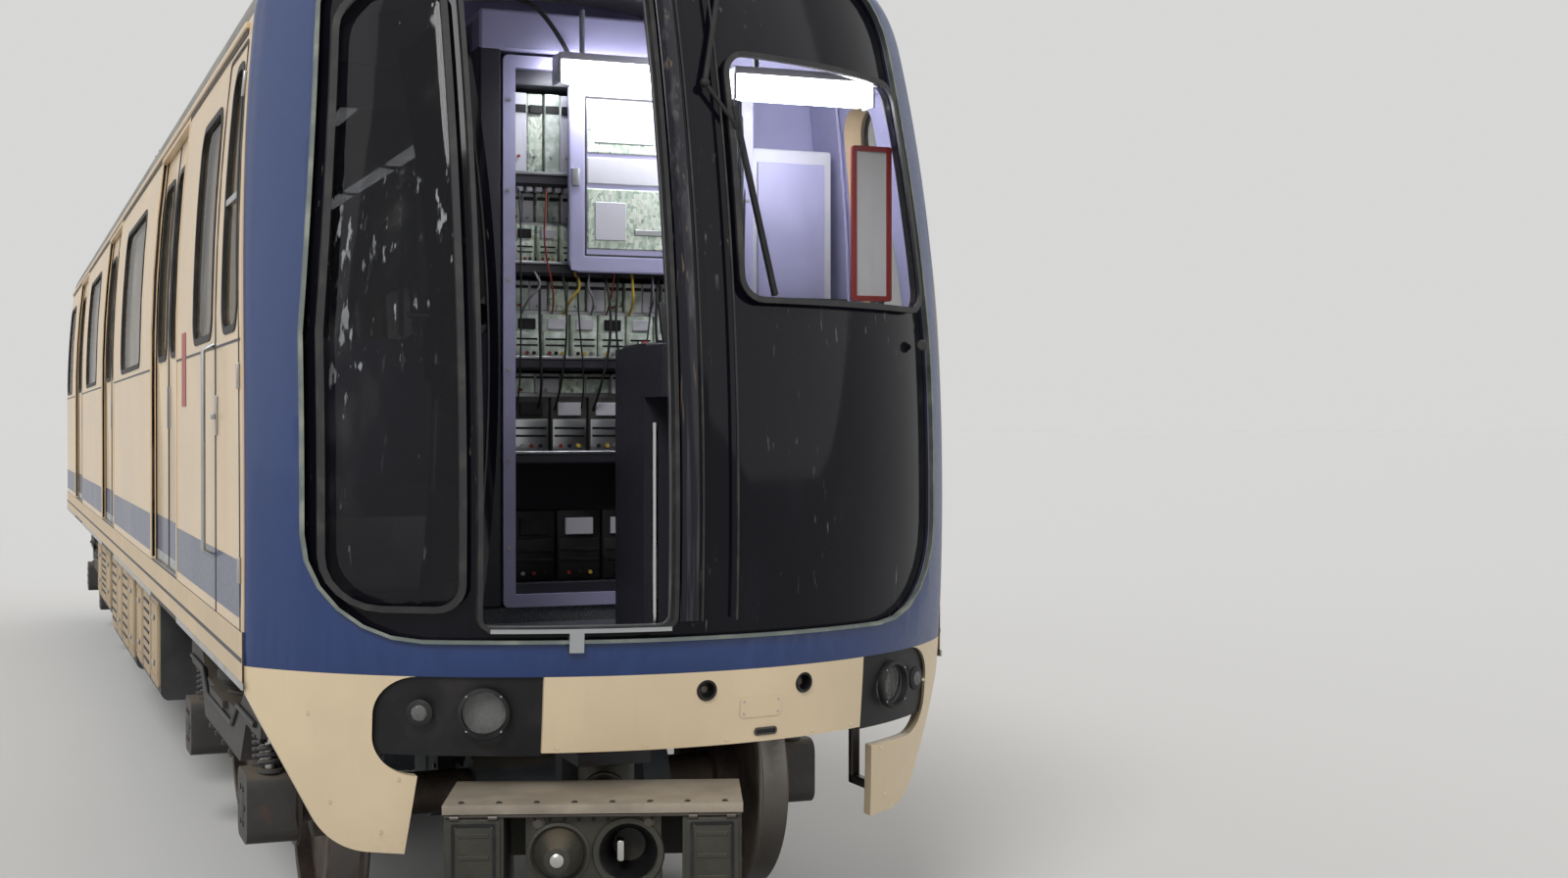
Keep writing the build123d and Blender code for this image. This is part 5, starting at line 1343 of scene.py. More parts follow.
def glazed_leaf(node, body, paint, slot):
    """A door leaf with softened edges and glass in its window."""
    leaf = Piece(f"{node}_dressed", paint, "side glass")
    leaf.copy_of(node, 0.002, island_look=lambda low, high: 1 if high.z - low.z < 1.1 else 0)
    return leaf.done(body, slot, node)


def side_wall(side, word):
    """The side wall, cream outside, lined inside."""
    def look(face):
        place = face.calc_center_median()
        if abs(place.x) > HALF - 0.050 and place.z < WAIST or face.normal.x * side > -0.3:
            return 0
        return 1 if place.y < NOSE + 1.47 else 2

    wall = Piece(f"side_wall_{word}_dressed", "side cream", "cab lilac", "saloon white")
    wall.copy_of(f"side_wall_{word}", 0.0, face_look=look, cut=NOSE + 1.47)
    wall.done("body", "cream_paint", f"side_wall_{word}")


def wall_spans():
    """Stretches of side wall between the doorways."""
    edges = [NOSE + 0.660]
    for front, rear in DOORWAYS:
        edges += [front - 0.012, rear + 0.012]
    edges.append(TAIL - 0.004)
    return list(zip(edges[0::2], edges[1::2]))


def side_trim(word, wrap):
    """Everything on the outside of one wall."""
    trim = Piece(f"side_trim_{word}", "band blue", "rubber", "aluminium", "side cream", "blank red plate",
                 "cab dark", "sill cream", wrap=wrap, plane="YZ")
    low, high = RAIL + sizes().band_low, RAIL + sizes().band_high
    for index, (y0, y1) in enumerate(wall_spans()):
        front = 0.07 if index == 0 else 0.0
        points = [(y0 + 0.04, low), (y1, low), (y1, high), (y0 + 0.04, high)]
        trim.plate(Outline(points, [front, 0, 0, front], 0.1), 0.0, 0.0002, sizes().band_film)
        trim.box((0.0002, y0 + (0.050 if index == 0 else 0.010), RAIL + 1.985), (0.0016, y1, RAIL + 1.993),
                 0.0, look=5)
        trim.box((-0.002, y0, SILL - 0.002), (0.004, y1, SILL + 0.020), 0.001, look=2)
    trim.box((-0.004, NOSE + 0.98, EAVES - 0.035), (0.014, TAIL - 0.01, EAVES - 0.012), 0.004, look=3)
    trim.box((0.000, NOSE + 0.98, EAVES - 0.050), (0.003, TAIL - 0.01, EAVES - 0.036), 0.0, look=5)
    for pane in PANES:
        trim.ring(side_window(*pane), -0.012, 0.012, -0.006, 0.004, look=1)
    cab_window(trim)
    for y0, y1 in zip((NOSE + 0.670, -3.700, 0.500, 4.700), (-3.705, 0.495, 4.695, TAIL - 0.004)):
        trim.box((0.0003, y0, SILL + 0.020), (0.0028, y1, FLOOR - 0.002), 0.001, look=6)
        trim.box((0.0026, y0, RAIL + 1.028), (0.0034, y1, RAIL + 1.042), 0.0, look=5)
    points = [(-6.490, 1.062), (-5.805, 1.062), (-5.805, 2.930), (-6.265, 2.930), (-6.400, 2.400),
              (-6.463, 2.000)]
    door = Outline([(y, RAIL + z) for y, z in points], [0.03, 0.03, 0.03, 0.03, 0, 0], 0.15)
    for outer, inner, proud in ((0.0, 0.009, 0.0024), (0.014, 0.017, 0.0012)):
        trim.ring(door, outer, inner, 0.0002, proud, look=5)
    for y, z in ((-6.490, 1.30), (-6.470, 1.88), (-6.300, 2.78)):
        trim.box((0.0004, y - 0.012, RAIL + z - 0.04), (0.010, y + 0.006, RAIL + z + 0.04), 0.003, 2, look=2)
    trim.box((0.0004, -5.870, RAIL + 1.700), (0.006, -5.832, RAIL + 1.830), 0.002, 2, look=2)
    trim.box((0.0060, -5.864, RAIL + 1.752), (0.020, -5.838, RAIL + 1.772), 0.003, 2, look=2)
    rail = ((0.002, 1.30), (0.036, 1.32), (0.036, 1.98), (0.002, 2.00))
    trim.tube([wrap(Vector((proud, -5.770, RAIL + z))) for proud, z in rail], 0.009, look=2, wrap=False)
    trim.plate(rectangle(-4.765, -4.610, RAIL + 1.805, RAIL + 2.086, 0.008, 0.3), 0, 0.0004, 0.002, look=4)
    trim.done("body", "cream_paint")


def cab_window(trim):
    """The bar and frame of the cab's side window."""
    trim.box((-0.006, -6.340, RAIL + 2.430), (0.002, -6.005, RAIL + 2.452), 0.002, look=2, grid=0.2)
    points = [(-6.440, WINDOW_LOW), (-6.010, WINDOW_LOW), (-6.010, RAIL + 2.860), (-6.240, RAIL + 2.860)]
    pane = Outline(points, [0.09] * 4, 0.1)
    trim.ring(pane, -0.012, 0.012, -0.006, 0.004, look=1)


class METROCAR_OT_side_trim(Step):
    """Blue band, seams, gutters, gaskets, bars, handles and the blank plate on both sides"""

    bl_idname = "metro_car.side_trim"
    bl_label = "Side trim"

    def make(self):
        for side, word, wrap in SIDES:
            side_wall(side, word)
            side_trim(word, wrap)


def leaf_trim(name, wrap, a, b, clear_low, clear_high):
    """What a leaf carries: its outer skin is 26 mm inside the wall's."""
    glazed_leaf(name, name, "door cream", "cream_paint")
    trim = Piece(f"{name}_trim", "rubber", "band blue", "aluminium", "saloon white", "side cream", wrap=wrap,
                 plane="YZ")
    skin = -0.026
    low, high = FLOOR + 0.005, DOOR_HEAD - 0.005
    front_leaf = name.endswith("front")
    meet = (b - 0.016, b + 0.0025) if front_leaf else (a - 0.0025, a + 0.016)
    trim.box((skin - 0.032, meet[0], low), (skin + 0.003, meet[1], high), 0.004, 2, grid=0.3)
    band0, band1 = (clear_low + 0.004, b - 0.018) if front_leaf else (a + 0.018, clear_high - 0.004)
    trim.box((skin + 0.0002, band0, RAIL + sizes().band_low),
             (skin + 0.0008, band1, RAIL + sizes().band_high), 0.0, look=1)
    trim.box((skin + 0.0002, band0, FLOOR + 0.010), (skin + 0.0014, band1, FLOOR + 0.05), 0.0, look=2)
    window = side_window(max(a, clear_low) + 0.09, min(b, clear_high) - 0.09)
    trim.ring(window, -0.014, 0.010, skin - 0.006, skin + 0.005)
    trim.ring(window, -0.020, 0.008, skin - 0.038, skin - 0.030, look=2)
    inner = rectangle(a + 0.03, b - 0.03, FLOOR + 0.06, RAIL + 1.960, 0.03, 0.2)
    trim.plate(inner, 0.0, skin - 0.0355, skin - 0.0332, look=3)
    grip = b - 0.055 if front_leaf else a + 0.055
    trim.box((skin + 0.0002, grip - 0.012, RAIL + 1.72), (skin + 0.004, grip + 0.012, RAIL + 1.90), 0.002, 2,
             look=2)
    trim.done(name, "cream_paint")


def doorway_trim(name, side, wrap, y0, y1):
    """Brush strips, sill plate, header strip and the inside casing of one doorway."""
    casing = Piece(name, "rubber", "aluminium", "saloon white", "side cream", "lamp glow")
    high = DOOR_HEAD
    for edge, way in ((y0, -1), (y1, 1)):
        casing.box((-0.017, edge, FLOOR + 0.01), (-0.001, edge + way * 0.010, high - 0.005), 0.002, grid=0.3,
                   wrap=wrap)
        casing.box((-0.001, edge + way * 0.003, FLOOR + 0.01), (0.003, edge + way * 0.030, high + 0.02),
                   0.001, grid=0.3, wrap=wrap, look=3)
    casing.box((-0.001, y0 - 0.03, high + 0.001), (0.004, y1 + 0.03, high + 0.022), 0.001, wrap=wrap, look=3)
    inner, outer = sorted((side * (HALF - WALL - 0.050), side * (HALF - 0.004)))
    for k in range(9):
        step = (outer - inner) / 9
        casing.box((inner + k * step + 0.003, y0 + 0.004, FLOOR),
                   (inner + (k + 1) * step - 0.003, y1 - 0.004, FLOOR + 0.003), 0.001, look=1)
    casing.box((side * (HALF - WALL - 0.110), y0 - 0.60, RAIL + 2.800),
               (side * (HALF - WALL - 0.035), y1 + 0.60, RAIL + 2.960), 0.012, 2, look=2)
    casing.done("body", "interior_light")


class METROCAR_OT_side_doors(Step):
    """Rubbers, bands, window gaskets and inner panels on the sliding leaves"""

    bl_idname = "metro_car.side_doors"
    bl_label = "Side doors"

    def make(self):
        for side, word, wrap in SIDES:
            for number, (y0, y1) in enumerate(DOORWAYS, start=1):
                middle = (y0 + y1) / 2
                leaf_trim(f"door_{word}_{number}_front", wrap, y0 - 0.020, middle - 0.003, y0, middle)
                leaf_trim(f"door_{word}_{number}_rear", wrap, middle + 0.003, y1 + 0.020, middle, y1)
                doorway_trim(f"doorway_{word}_{number}", side, wrap, y0, y1)


def bench_shells():
    shell = Piece("bench_shells", "moulded grey", "aluminium", "soft black")
    wall = HALF - WALL
    # Seat profile: distance from the wall's inner face, height over the floor
    profile = [(0.003, 0.0003), (0.150, 0.0003), (0.150, 0.300), (0.430, 0.330), (0.434, 0.362),
               (0.100, 0.348), (0.040, 0.860), (0.003, 0.860)]
    for side in (-1, 1):
        for y0, y1 in BENCHES:
            part = bmesh.new()
            verts = [part.verts.new((side * (wall - d), y0, FLOOR + h)) for d, h in profile]
            face = part.faces.new(verts)
            grown = bmesh.ops.extrude_face_region(part, geom=[face], use_keep_orig=True)["geom"]
            moved = [item for item in grown if isinstance(item, bmesh.types.BMVert)]
            bmesh.ops.translate(part, verts=moved, vec=(0, y1 - y0, 0))
            bmesh.ops.bevel(part, geom=part.edges[:], offset=0.006, segments=2, profile=0.5, affect="EDGES",
                            material=-1)
            shell.take(part)
            count = int((y1 - y0) / 0.7)
            for k in range(count + 1):
                y = y0 + 0.05 + (y1 - y0 - 0.10) * k / count
                shell.box((side * (wall - 0.400), y - 0.015, FLOOR + 0.270),
                          (side * (wall - 0.148), y + 0.015, FLOOR + 0.318), 0.005, look=1)
                shell.box((side * (wall - 0.158), y - 0.02, FLOOR + 0.02),
                          (side * (wall - 0.150), y + 0.02, FLOOR + 0.29), 0.003, look=2)
    shell.done("body", "seat_fabric", "benches")


def bench_cushions():
    """Crowned seat and back pads, one for each place."""
    pads = Piece("bench_cushions", "seat cloth", "seat vinyl")
    wall = HALF - WALL
    for side in (-1, 1):
        for y0, y1 in BENCHES:
            count = max(1, round((y1 - y0) / sizes().cushion_step))
            step = (y1 - y0) / count
            for k in range(count):
                low, high = y0 + k * step + 0.004, y0 + (k + 1) * step - 0.004
                bench_pad(pads, side, wall, low, high, (0.105, 0.350), (0.432, 0.364), 0.054)
                bench_pad(pads, side, wall, low, high, (0.098, 0.372), (0.046, 0.850), 0.034)
    thing = pads.done("body", "seat_fabric", sharp=180.0)


def bench_pad(pads, side, wall, y0, y1, start, end, thick):
    """One pad between two profile points: its face swells and its corners draw in."""
    part = bmesh.new()
    bmesh.ops.create_cube(part, size=1.0)
    bmesh.ops.subdivide_edges(part, edges=part.edges[:], cuts=9, use_grid_fill=True)
    start, end = Vector(start), Vector(end)
    along = end - start
    up = Vector((-along.y, along.x)).normalized()
    if up.y < 0 or (abs(up.y) < 0.2 and up.x < 0):
        up = -up
    for vert in part.verts:
        u, v, w = vert.co.x * 2, vert.co.y * 2, vert.co.z * 2
        draw = 1.0 - 0.035 * (u * u) * (v * v) * 2
        crown = (1 - abs(u) ** 3.5) * (1 - abs(v) ** 3.5)
        lift = 0.5 + 0.5 * w if w < 1 else 0.62 + 0.38 * crown
        face = 0.985 if w > 0.9 else 1.0
        place = start + along * (0.5 + 0.5 * u * face * draw) + up * thick * lift
        y = (y0 + y1) / 2 + (y1 - y0) / 2 * v * draw * face
        vert.co = (side * (wall - place.x), y, FLOOR + place.y)
    bmesh.ops.smooth_vert(part, verts=part.verts, factor=0.4, use_axis_x=True, use_axis_y=True,
                          use_axis_z=True)
    pads.take(part)


def saloon_rails():
    rails = Piece("saloon_rails", "stainless", "rubber", "seat vinyl")
    for side in (-1, 1):
        x = side * 0.560
        for y in (-5.497, 6.947):
            rails.lathe([(0.0, 0.006), (0.012, 0.004), (0.0156, 0.000), (0.0156, -0.020), (0.0151, -0.022)],
                        (x, y, RAIL + 3.010), (0, math.copysign(1, y), 0), 20, look=1)
        for k in range(15):
            y = -5.40 + 0.875 * k
            rails.tube([(x, y, RAIL + 3.010), (x, y, RAIL + 3.115)], 0.010)
            rails.rod((x, y, RAIL + 3.105), (x, y, RAIL + 3.118), 0.026, sides=20)
        for front, rear in DOORWAYS:
            for y in (front - 0.030, rear + 0.030):
                rails.rod((x, y, FLOOR + 0.0005), (x, y, FLOOR + 0.020), 0.034, 0.022, sides=24)
                rails.rod((x, y, RAIL + 2.985), (x, y, RAIL + 3.035), 0.026, sides=24)
    rails.done("body", "rail_steel")


def saloon_lamps():
    lights = Piece("saloon_lamps", "saloon glow", "aluminium", "saloon white")
    for side in (-1, 1):
        x = side * 0.300
        for k in range(9):
            y = -5.30 + 1.37 * k
            lights.box((x - 0.060, y, RAIL + 3.205), (x + 0.060, y + 1.20, RAIL + 3.232), 0.012, 2)
            lights.box((x - 0.072, y - 0.015, RAIL + 3.225), (x + 0.072, y + 1.215, RAIL + 3.240), 0.004,
                       look=1)
    lights.done("body", "interior_light")


def saloon_panels():
    """Window surrounds on the inside of the walls."""
    panels = Piece("saloon_panels", "saloon white", "rubber", "aluminium", "soft black", plane="YZ")
    for *_, wrap in SIDES:
        for pane in (side_window(*place) for place in PANES):
            panels.ring(pane, -0.045, 0.004, -WALL - 0.014, -WALL - 0.001, wrap=wrap)
            panels.ring(pane, -0.002, 0.010, -0.030, -0.020, wrap=wrap, look=1)
    panels.done("body", "interior_light")


class METROCAR_OT_saloon(Step):
    """Bench shells and cushions, rail ends, lamps and window panels in the saloon"""

    bl_idname = "metro_car.saloon"
    bl_label = "Saloon"

    def make(self):
        bench_shells()
        bench_cushions()
        saloon_rails()
        saloon_lamps()
        saloon_panels()


def bogie_springs(number, centre):
    """Paired coils on each axle box, and a rubber bellows with its plates at each side."""
    coils = Piece(f"springs_{number}", "spring paint", "rubber", "gear grey", "bright steel")
    wire = sizes().coil_wire / 2
    turns = sizes().coil_turns
    low, high = WHEEL_Z + 0.1205, RAIL + 0.680 - 0.0005
    for side in (-1, 1):
        for way in (-1, 1):
            for shift in (-0.070, 0.070):
                x, y = side * AXLE_BOX_X, centre + way * AXLE_REACH + shift
                count = int(turns * 12)
                points = []
                for k in range(count + 1):
                    angle = math.tau * turns * k / count
                    rise = low + 0.012 + wire + (high - low - 0.024 - 2 * wire) * k / count
                    points.append((x + 0.037 * math.cos(angle), y + 0.037 * math.sin(angle), rise))
                coils.tube(points, wire, smooth=True, sides=2)
                coils.rod((x, y, low), (x, y, low + 0.012), 0.047, sides=28, look=2)
                coils.rod((x, y, high - 0.012), (x, y, high), 0.047, sides=28, look=2)
                coils.rod((x, y, low + 0.01), (x, y, high - 0.01), 0.018, sides=16, look=3)
        seat, sill = RAIL + 0.690 + 0.0005, SILL - 0.006
        tall = sill - seat
        bellows = [(0.0, 0.0), (0.150, 0.0), (0.150, 0.022), (0.200, 0.030), (0.228, 0.060), (0.229, 0.085),
                   (0.205, 0.112), (0.178, 0.122), (0.178, 0.130), (0.205, 0.140), (0.229, 0.168),
                   (0.228, 0.192), (0.200, 0.222), (0.150, 0.228), (0.150, tall), (0.0, tall)]
        coils.lathe(bellows, (side * 0.790, centre, seat), UP, 48, look=1)
        for foot, head, radius in ((sill - 0.014, sill, 0.205), (seat, seat + 0.012, 0.190)):
            coils.rod((side * 0.790, centre, foot), (side * 0.790, centre, head), radius, sides=40,
                      bevel=0.003, look=2)
    coils.done(f"bogie_{number}", "spring_rubber", f"bogie_springs_{number}")


def bogie_gear(number, centre):
    """Ribs, covers with bolts, dampers and pipes on the bogie frame."""
    gear = Piece(f"bogie_gear_{number}", "gear grey", "dark steel", "soft black", "cable black",
                 "bright steel")
    for side in (-1, 1):
        outer = side * 1.040
        for way in (-1, 1):
            y = centre + way * AXLE_REACH
            gear.lathe([(0.0, 0.004), (0.050, 0.004), (0.056, 0.000), (0.082, -0.001), (0.086, -0.006),
                        (0.086, -0.010)], (outer, y, WHEEL_Z), (side, 0, 0), 32)
            for dy, dz in round_spots(6, 0.068):
                gear.bolt((outer, y + dy, WHEEL_Z + dz), (side, 0, 0), 0.009, 0.005, look=1)
            x = side * AXLE_BOX_X
            gear.box((x - 0.055, y - 0.045, WHEEL_Z + 0.118), (x + 0.055, y + 0.045, WHEEL_Z + 0.1202), 0.004)
            damper(gear, (side * 0.885, y - way * 0.100, WHEEL_Z + 0.060),
                   (side * 0.885, centre + way * 0.60, RAIL + 0.745 - 0.04))
        for k in (-0.34, -0.12, 0.12, 0.34):
            gear.box((side * 0.893, centre + k - 0.008, RAIL + 0.505),
                     (side * 1.017, centre + k + 0.008, RAIL + 0.525), 0.003)
        x = side * 1.012
        run = ((-1.10, 0.72), (-0.60, 0.72), (-0.42, 0.63), (0.42, 0.63), (0.60, 0.72), (1.10, 0.72))
        gear.tube([(x, centre + y, RAIL + z) for y, z in run], 0.010, look=3)
        for y in (-0.95, -0.50, 0.0, 0.50, 0.95):
            z = RAIL + (0.72 if abs(y) > 0.6 else 0.675 if abs(y) > 0.3 else 0.63)
            gear.box((x - side * 0.016 - 0.006, centre + y - 0.012, z - 0.016),
                     (x - side * 0.016 + 0.018, centre + y + 0.012, z + 0.016), 0.003, look=1)
    gear.done(f"bogie_{number}", "underframe_dark")


def damper(gear, foot, top):
    foot, top = Vector(foot), Vector(top)
    middle = foot.lerp(top, 0.5)
    gear.rod(foot, middle, 0.018, sides=16, look=4)
    gear.rod(middle, top, 0.028, sides=20, bevel=0.004, look=2)
    for end in (foot, top):
        gear.rod(end - Vector((0.026, 0, 0)), end + Vector((0.026, 0, 0)), 0.020, sides=16, look=1)


def brake_gear(number, centre):
    """Keys, pins, pipes and covers on the brake unit of every wheel."""
    brake = Piece(f"brakes_{number}", "brake dust", "dark steel", "soft black", "cable black", "bright steel")
    for side in (-1, 1):
        x = side * WHEEL_X
        for way in (-1, 1):
            axle = centre + way * AXLE_REACH
            for turn in (-14, -5, 5, 14):
                angle = math.radians(turn)
                y = axle - way * (0.470 * math.cos(angle))
                z = WHEEL_Z + 0.470 * math.sin(angle)
                brake.box((x - 0.042, y - 0.006, z - 0.012), (x + 0.042, y + 0.006, z + 0.012), 0.003, 2,
                          look=1)
            y = axle - way * 0.520
            brake.lathe([(0.0525, -0.014), (0.058, -0.012), (0.058, 0.012), (0.0525, 0.014)], (x, y, WHEEL_Z),
                        (0, 1, 0), 32, look=1)
            for dx, dz in round_spots(6, 0.055):
                spot = Vector((x + dx, y + way * 0.012, WHEEL_Z + dz))
                brake.rod(spot, spot - Vector((0, way * 0.024, 0)), 0.004, sides=8, look=4)
            brake.box((x - side * 0.045, y - 0.02, WHEEL_Z - 0.03),
                      (x - side * 0.062, y + 0.02, WHEEL_Z + 0.03), 0.006, 2, look=2)
            top = WHEEL_Z + 0.176
            brake.tube([(x, y - way * 0.02, WHEEL_Z + 0.05), (x, y - way * 0.05, WHEEL_Z + 0.09),
                        (x, y - way * 0.05, top + 0.004)], 0.006, look=3)
            for shift in (-0.020, 0.020):
                brake.bolt((x + shift, axle - way * 0.60, top - 0.001), UP, 0.009, 0.006, look=4)
    brake.done(f"bogie_{number}", "underframe_dark")


def motor_gear(number, centre):
    """Ribs, covers and bolts on the two motors, and a plate on top of each."""
    gear = Piece(f"motor_gear_{number}", "motor blue grey", "dark steel", "cable black", "aluminium")
    for way in (-1, 1):
        y = centre + way * (AXLE_REACH - 0.465)
        z = WHEEL_Z + 0.040
        for x in (-0.240, -0.170, -0.100, 0.100, 0.170, 0.240):
            gear.lathe([(0.214, -0.006), (0.2185, -0.006), (0.2185, 0.006), (0.214, 0.006)], (x, y, z),
                       (1, 0, 0), 40)
        for end in (-1, 1):
            gear.lathe([(0.0, 0.012), (0.060, 0.012), (0.070, 0.004), (0.150, 0.002), (0.205, -0.002)],
                       (end * 0.310, y, z), (end, 0, 0), 40)
            for dy, dz in round_spots(8, 0.17):
                gear.bolt((end * 0.311, y + dy, z + dz), (end, 0, 0), 0.010, 0.008, look=1)
        gear.box((-0.09, y - 0.07, z + 0.205), (0.09, y + 0.07, z + 0.235), 0.008, 2, look=1)
    gear.done(f"bogie_{number}", "motor_dark")


def wheelset(number, y):
    """Worn bright treads and hub rings of one wheelset."""
    def tread(face):
        place = face.calc_center_median()
        reach = math.hypot(place.y - y, place.z - WHEEL_Z)
        return 1 if reach > 0.415 and abs(face.normal.x) < 0.6 else 0

    wheel = Piece(f"wheelset_{number}_dressed", "wheel steel", "tread steel", "dark steel")
    wheel.copy_of(f"wheelset_{number}", 0.002, face_look=tread)
    for side in (-1, 1):
        wheel.lathe([(0.150, 0.0), (0.150, 0.012), (0.135, 0.020), (0.100, 0.020)],
                    (side * 0.858, y, WHEEL_Z), (side, 0, 0), 40, look=2)
    wheel.done(f"wheelset_{number}", "wheel_steel", f"wheelset_{number}")


class METROCAR_OT_bogies(Step):
    """Coil and air springs, dampers, brake blocks, covers, pipes and treads of both bogies"""

    bl_idname = "metro_car.bogies"
    bl_label = "Bogies"

    def make(self):
        for number, centre in enumerate(PIVOTS, start=1):
            bogie_springs(number, centre)
            bogie_gear(number, centre)
            brake_gear(number, centre)
            motor_gear(number, centre)
        for number, y in enumerate(AXLES, start=1):
            wheelset(number, y)


def coupler_matrix():
    """The front coupler's swing to the car's left, about its pivot pin."""
    pin = Vector((0, COUPLER_PIN, 0))
    turn = Matrix.Rotation(math.radians(-19), 4, "Z")
    return Matrix.Translation(pin) @ turn @ Matrix.Translation(-pin)


def coupler_face():
    """Cone and funnel rims, hooks, air valves and the guide plate."""
    swing = coupler_matrix()
    face = Piece("coupler_face", "coupler olive", "bright steel", "soft black", "cable red", "dark steel",
                 "cover grey", matrix=swing)
    plate = COUPLER_FACE + 0.035
    z = COUPLER_Z - 0.010
    # Place across, look, sides, turned profile
    for x, look, sides, profile in (
            (-0.095, 0, 36, [(0.070, 0.004), (0.078, 0.010), (0.086, 0.006), (0.086, -0.004)]),
            (-0.095, 1, 28, [(0.0, 0.100), (0.014, 0.098), (0.026, 0.090), (0.034, 0.084)]),
            (0.095, 0, 36, [(0.080, -0.006), (0.082, 0.006), (0.096, 0.008), (0.100, 0.000)]),
            (0.095, 2, 32, [(0.046, -0.110), (0.060, -0.060), (0.0790, -0.004)])):
        face.lathe(profile, (x, plate, z), (0, -1, 0), sides, look=look)
    face.box((0.062, plate + 0.02, z - 0.030), (0.084, plate + 0.09, z + 0.030), 0.008, 2, look=1)
    for x, dz in ((-0.150, 0.085), (0.150, 0.085), (-0.150, -0.115), (0.150, -0.115)):
        face.bolt((x, plate, z + dz), (0, -1, 0), 0.013, 0.012, look=4)
    for x in (-0.060, 0.060):
        face.lathe([(0.0, 0.016), (0.012, 0.016), (0.016, 0.010), (0.024, 0.008), (0.026, 0.0)],
                   (x, plate, z - 0.122), (0, -1, 0), 24, look=1 if x < 0 else 3)
    face.box((-0.180, plate - 0.006, z + 0.108), (0.180, plate + 0.004, z + 0.128), 0.004, look=5)
    for k in range(9):
        x = -0.16 + 0.04 * k
        face.box((x - 0.004, plate - 0.004, z + 0.088), (x + 0.004, plate + 0.002, z + 0.104), 0.001, look=2)
    face.done("coupler_front", "coupler_grey")


def coupler_lids():
    """Hinged lids of the two electric boxes and the lip under the cover."""
    swing = coupler_matrix()
    lids = Piece("coupler_lids", "coupler olive", "soft black", "dark steel", "cover grey", "aluminium",
                 matrix=swing)
    front = COUPLER_FACE + 0.012
    top = COVER_Z
    for side in (-1, 1):
        x0, x1 = sorted((side * 0.252, side * 0.396))
        z0, z1 = RAIL + 0.392, top - 0.014
        outline = rectangle(x0, x1, z0, z1, 0.016, 0.2)
        lids.plate(outline, 0.0, front - 0.009, front - 0.0005, bevel=0.002)
        lids.ring(outline, 0.012, 0.020, front - 0.012, front - 0.008, look=1)
        for k in range(4):
            z = z0 + 0.045 + k * (z1 - z0 - 0.09) / 3
            lids.box((x0 + 0.030, front - 0.0115, z - 0.006), (x1 - 0.030, front - 0.008, z + 0.006), 0.002)
        for x in (x0 + 0.020, x1 - 0.020):
            lids.rod((x - 0.012, front - 0.008, z1 + 0.004), (x + 0.012, front - 0.008, z1 + 0.004), 0.008,
                     sides=14, look=2)
            for z in (z0 + 0.015, z1 - 0.02):
                lids.bolt((x, front - 0.009, z), (0, -1, 0), 0.005, 0.003, look=2)
        for z in (z0 + 0.05, z0 + 0.13, z0 + 0.21):
            lids.box((side * 0.4045, front + 0.05, z), (side * 0.4075, front + 0.30, z + 0.012), 0.002)
    lids.box((-0.404, front - 0.009, top - 0.010), (0.404, front + 0.004, top - 0.001), 0.002, look=2)
    for k in range(8):
        x = -0.36 + 0.72 * k / 7
        lids.bolt((x, front + 0.022, top + 0.025), UP, 0.007, 0.0041, look=2)
    lids.done("coupler_front", "coupler_grey")


def coupler_shaft():
    """Clamp rings, pipes and the spring pot on the coupler's shaft."""
    swing = coupler_matrix()
    shaft = Piece("coupler_shaft", "coupler olive", "dark steel", "cable black", "bright steel", matrix=swing)
    z = COUPLER_Z
    back = COUPLER_PIN
    for y in (back - 0.18, back - 0.30):
        shaft.rod((0, y, z), (0, y + 0.026, z), 0.076, sides=36, bevel=0.005, look=1)
    shaft.rod((0, back - 0.285, z), (0, back - 0.185, z), 0.068, sides=36, bevel=0.008)
    for x in (-0.085, 0.085):
        shaft.tube([(x, back - 0.350, z - 0.05), (x, back - 0.20, z - 0.05),
                    (x * 0.9, back - 0.115, z - 0.05)], 0.012, look=2)
        shaft.rod((x, back - 0.35, z - 0.05), (x, back - 0.32, z - 0.05), 0.018, sides=6, look=3)
    shaft.done("coupler_front", "coupler_grey")


class METROCAR_OT_front_coupler(Step):
    """The automatic coupler: dusty cover, cone and funnel faces, box lids, pipes and bolts"""

    bl_idname = "metro_car.front_coupler"
    bl_label = "Front coupler"

    def make(self):
        body = Piece("coupler_body", "coupler olive", "cover grey")
        body.copy_of("coupler_front", 0.006,
                     face_look=lambda face: 1 if min(v.co.z for v in face.verts) > COVER_Z - 0.002 else 0)
        body.done("coupler_front", "coupler_grey", "coupler_front")
        coupler_face()
        coupler_lids()
        coupler_shaft()


def stud(piece, x, z, low, high, radius, **how):
    """A flat round head on the nose, from low to high proud of its skin."""
    piece.rod((x, nose_y(x, z, -low), z), (x, nose_y(x, z, -high), z), radius, **how)


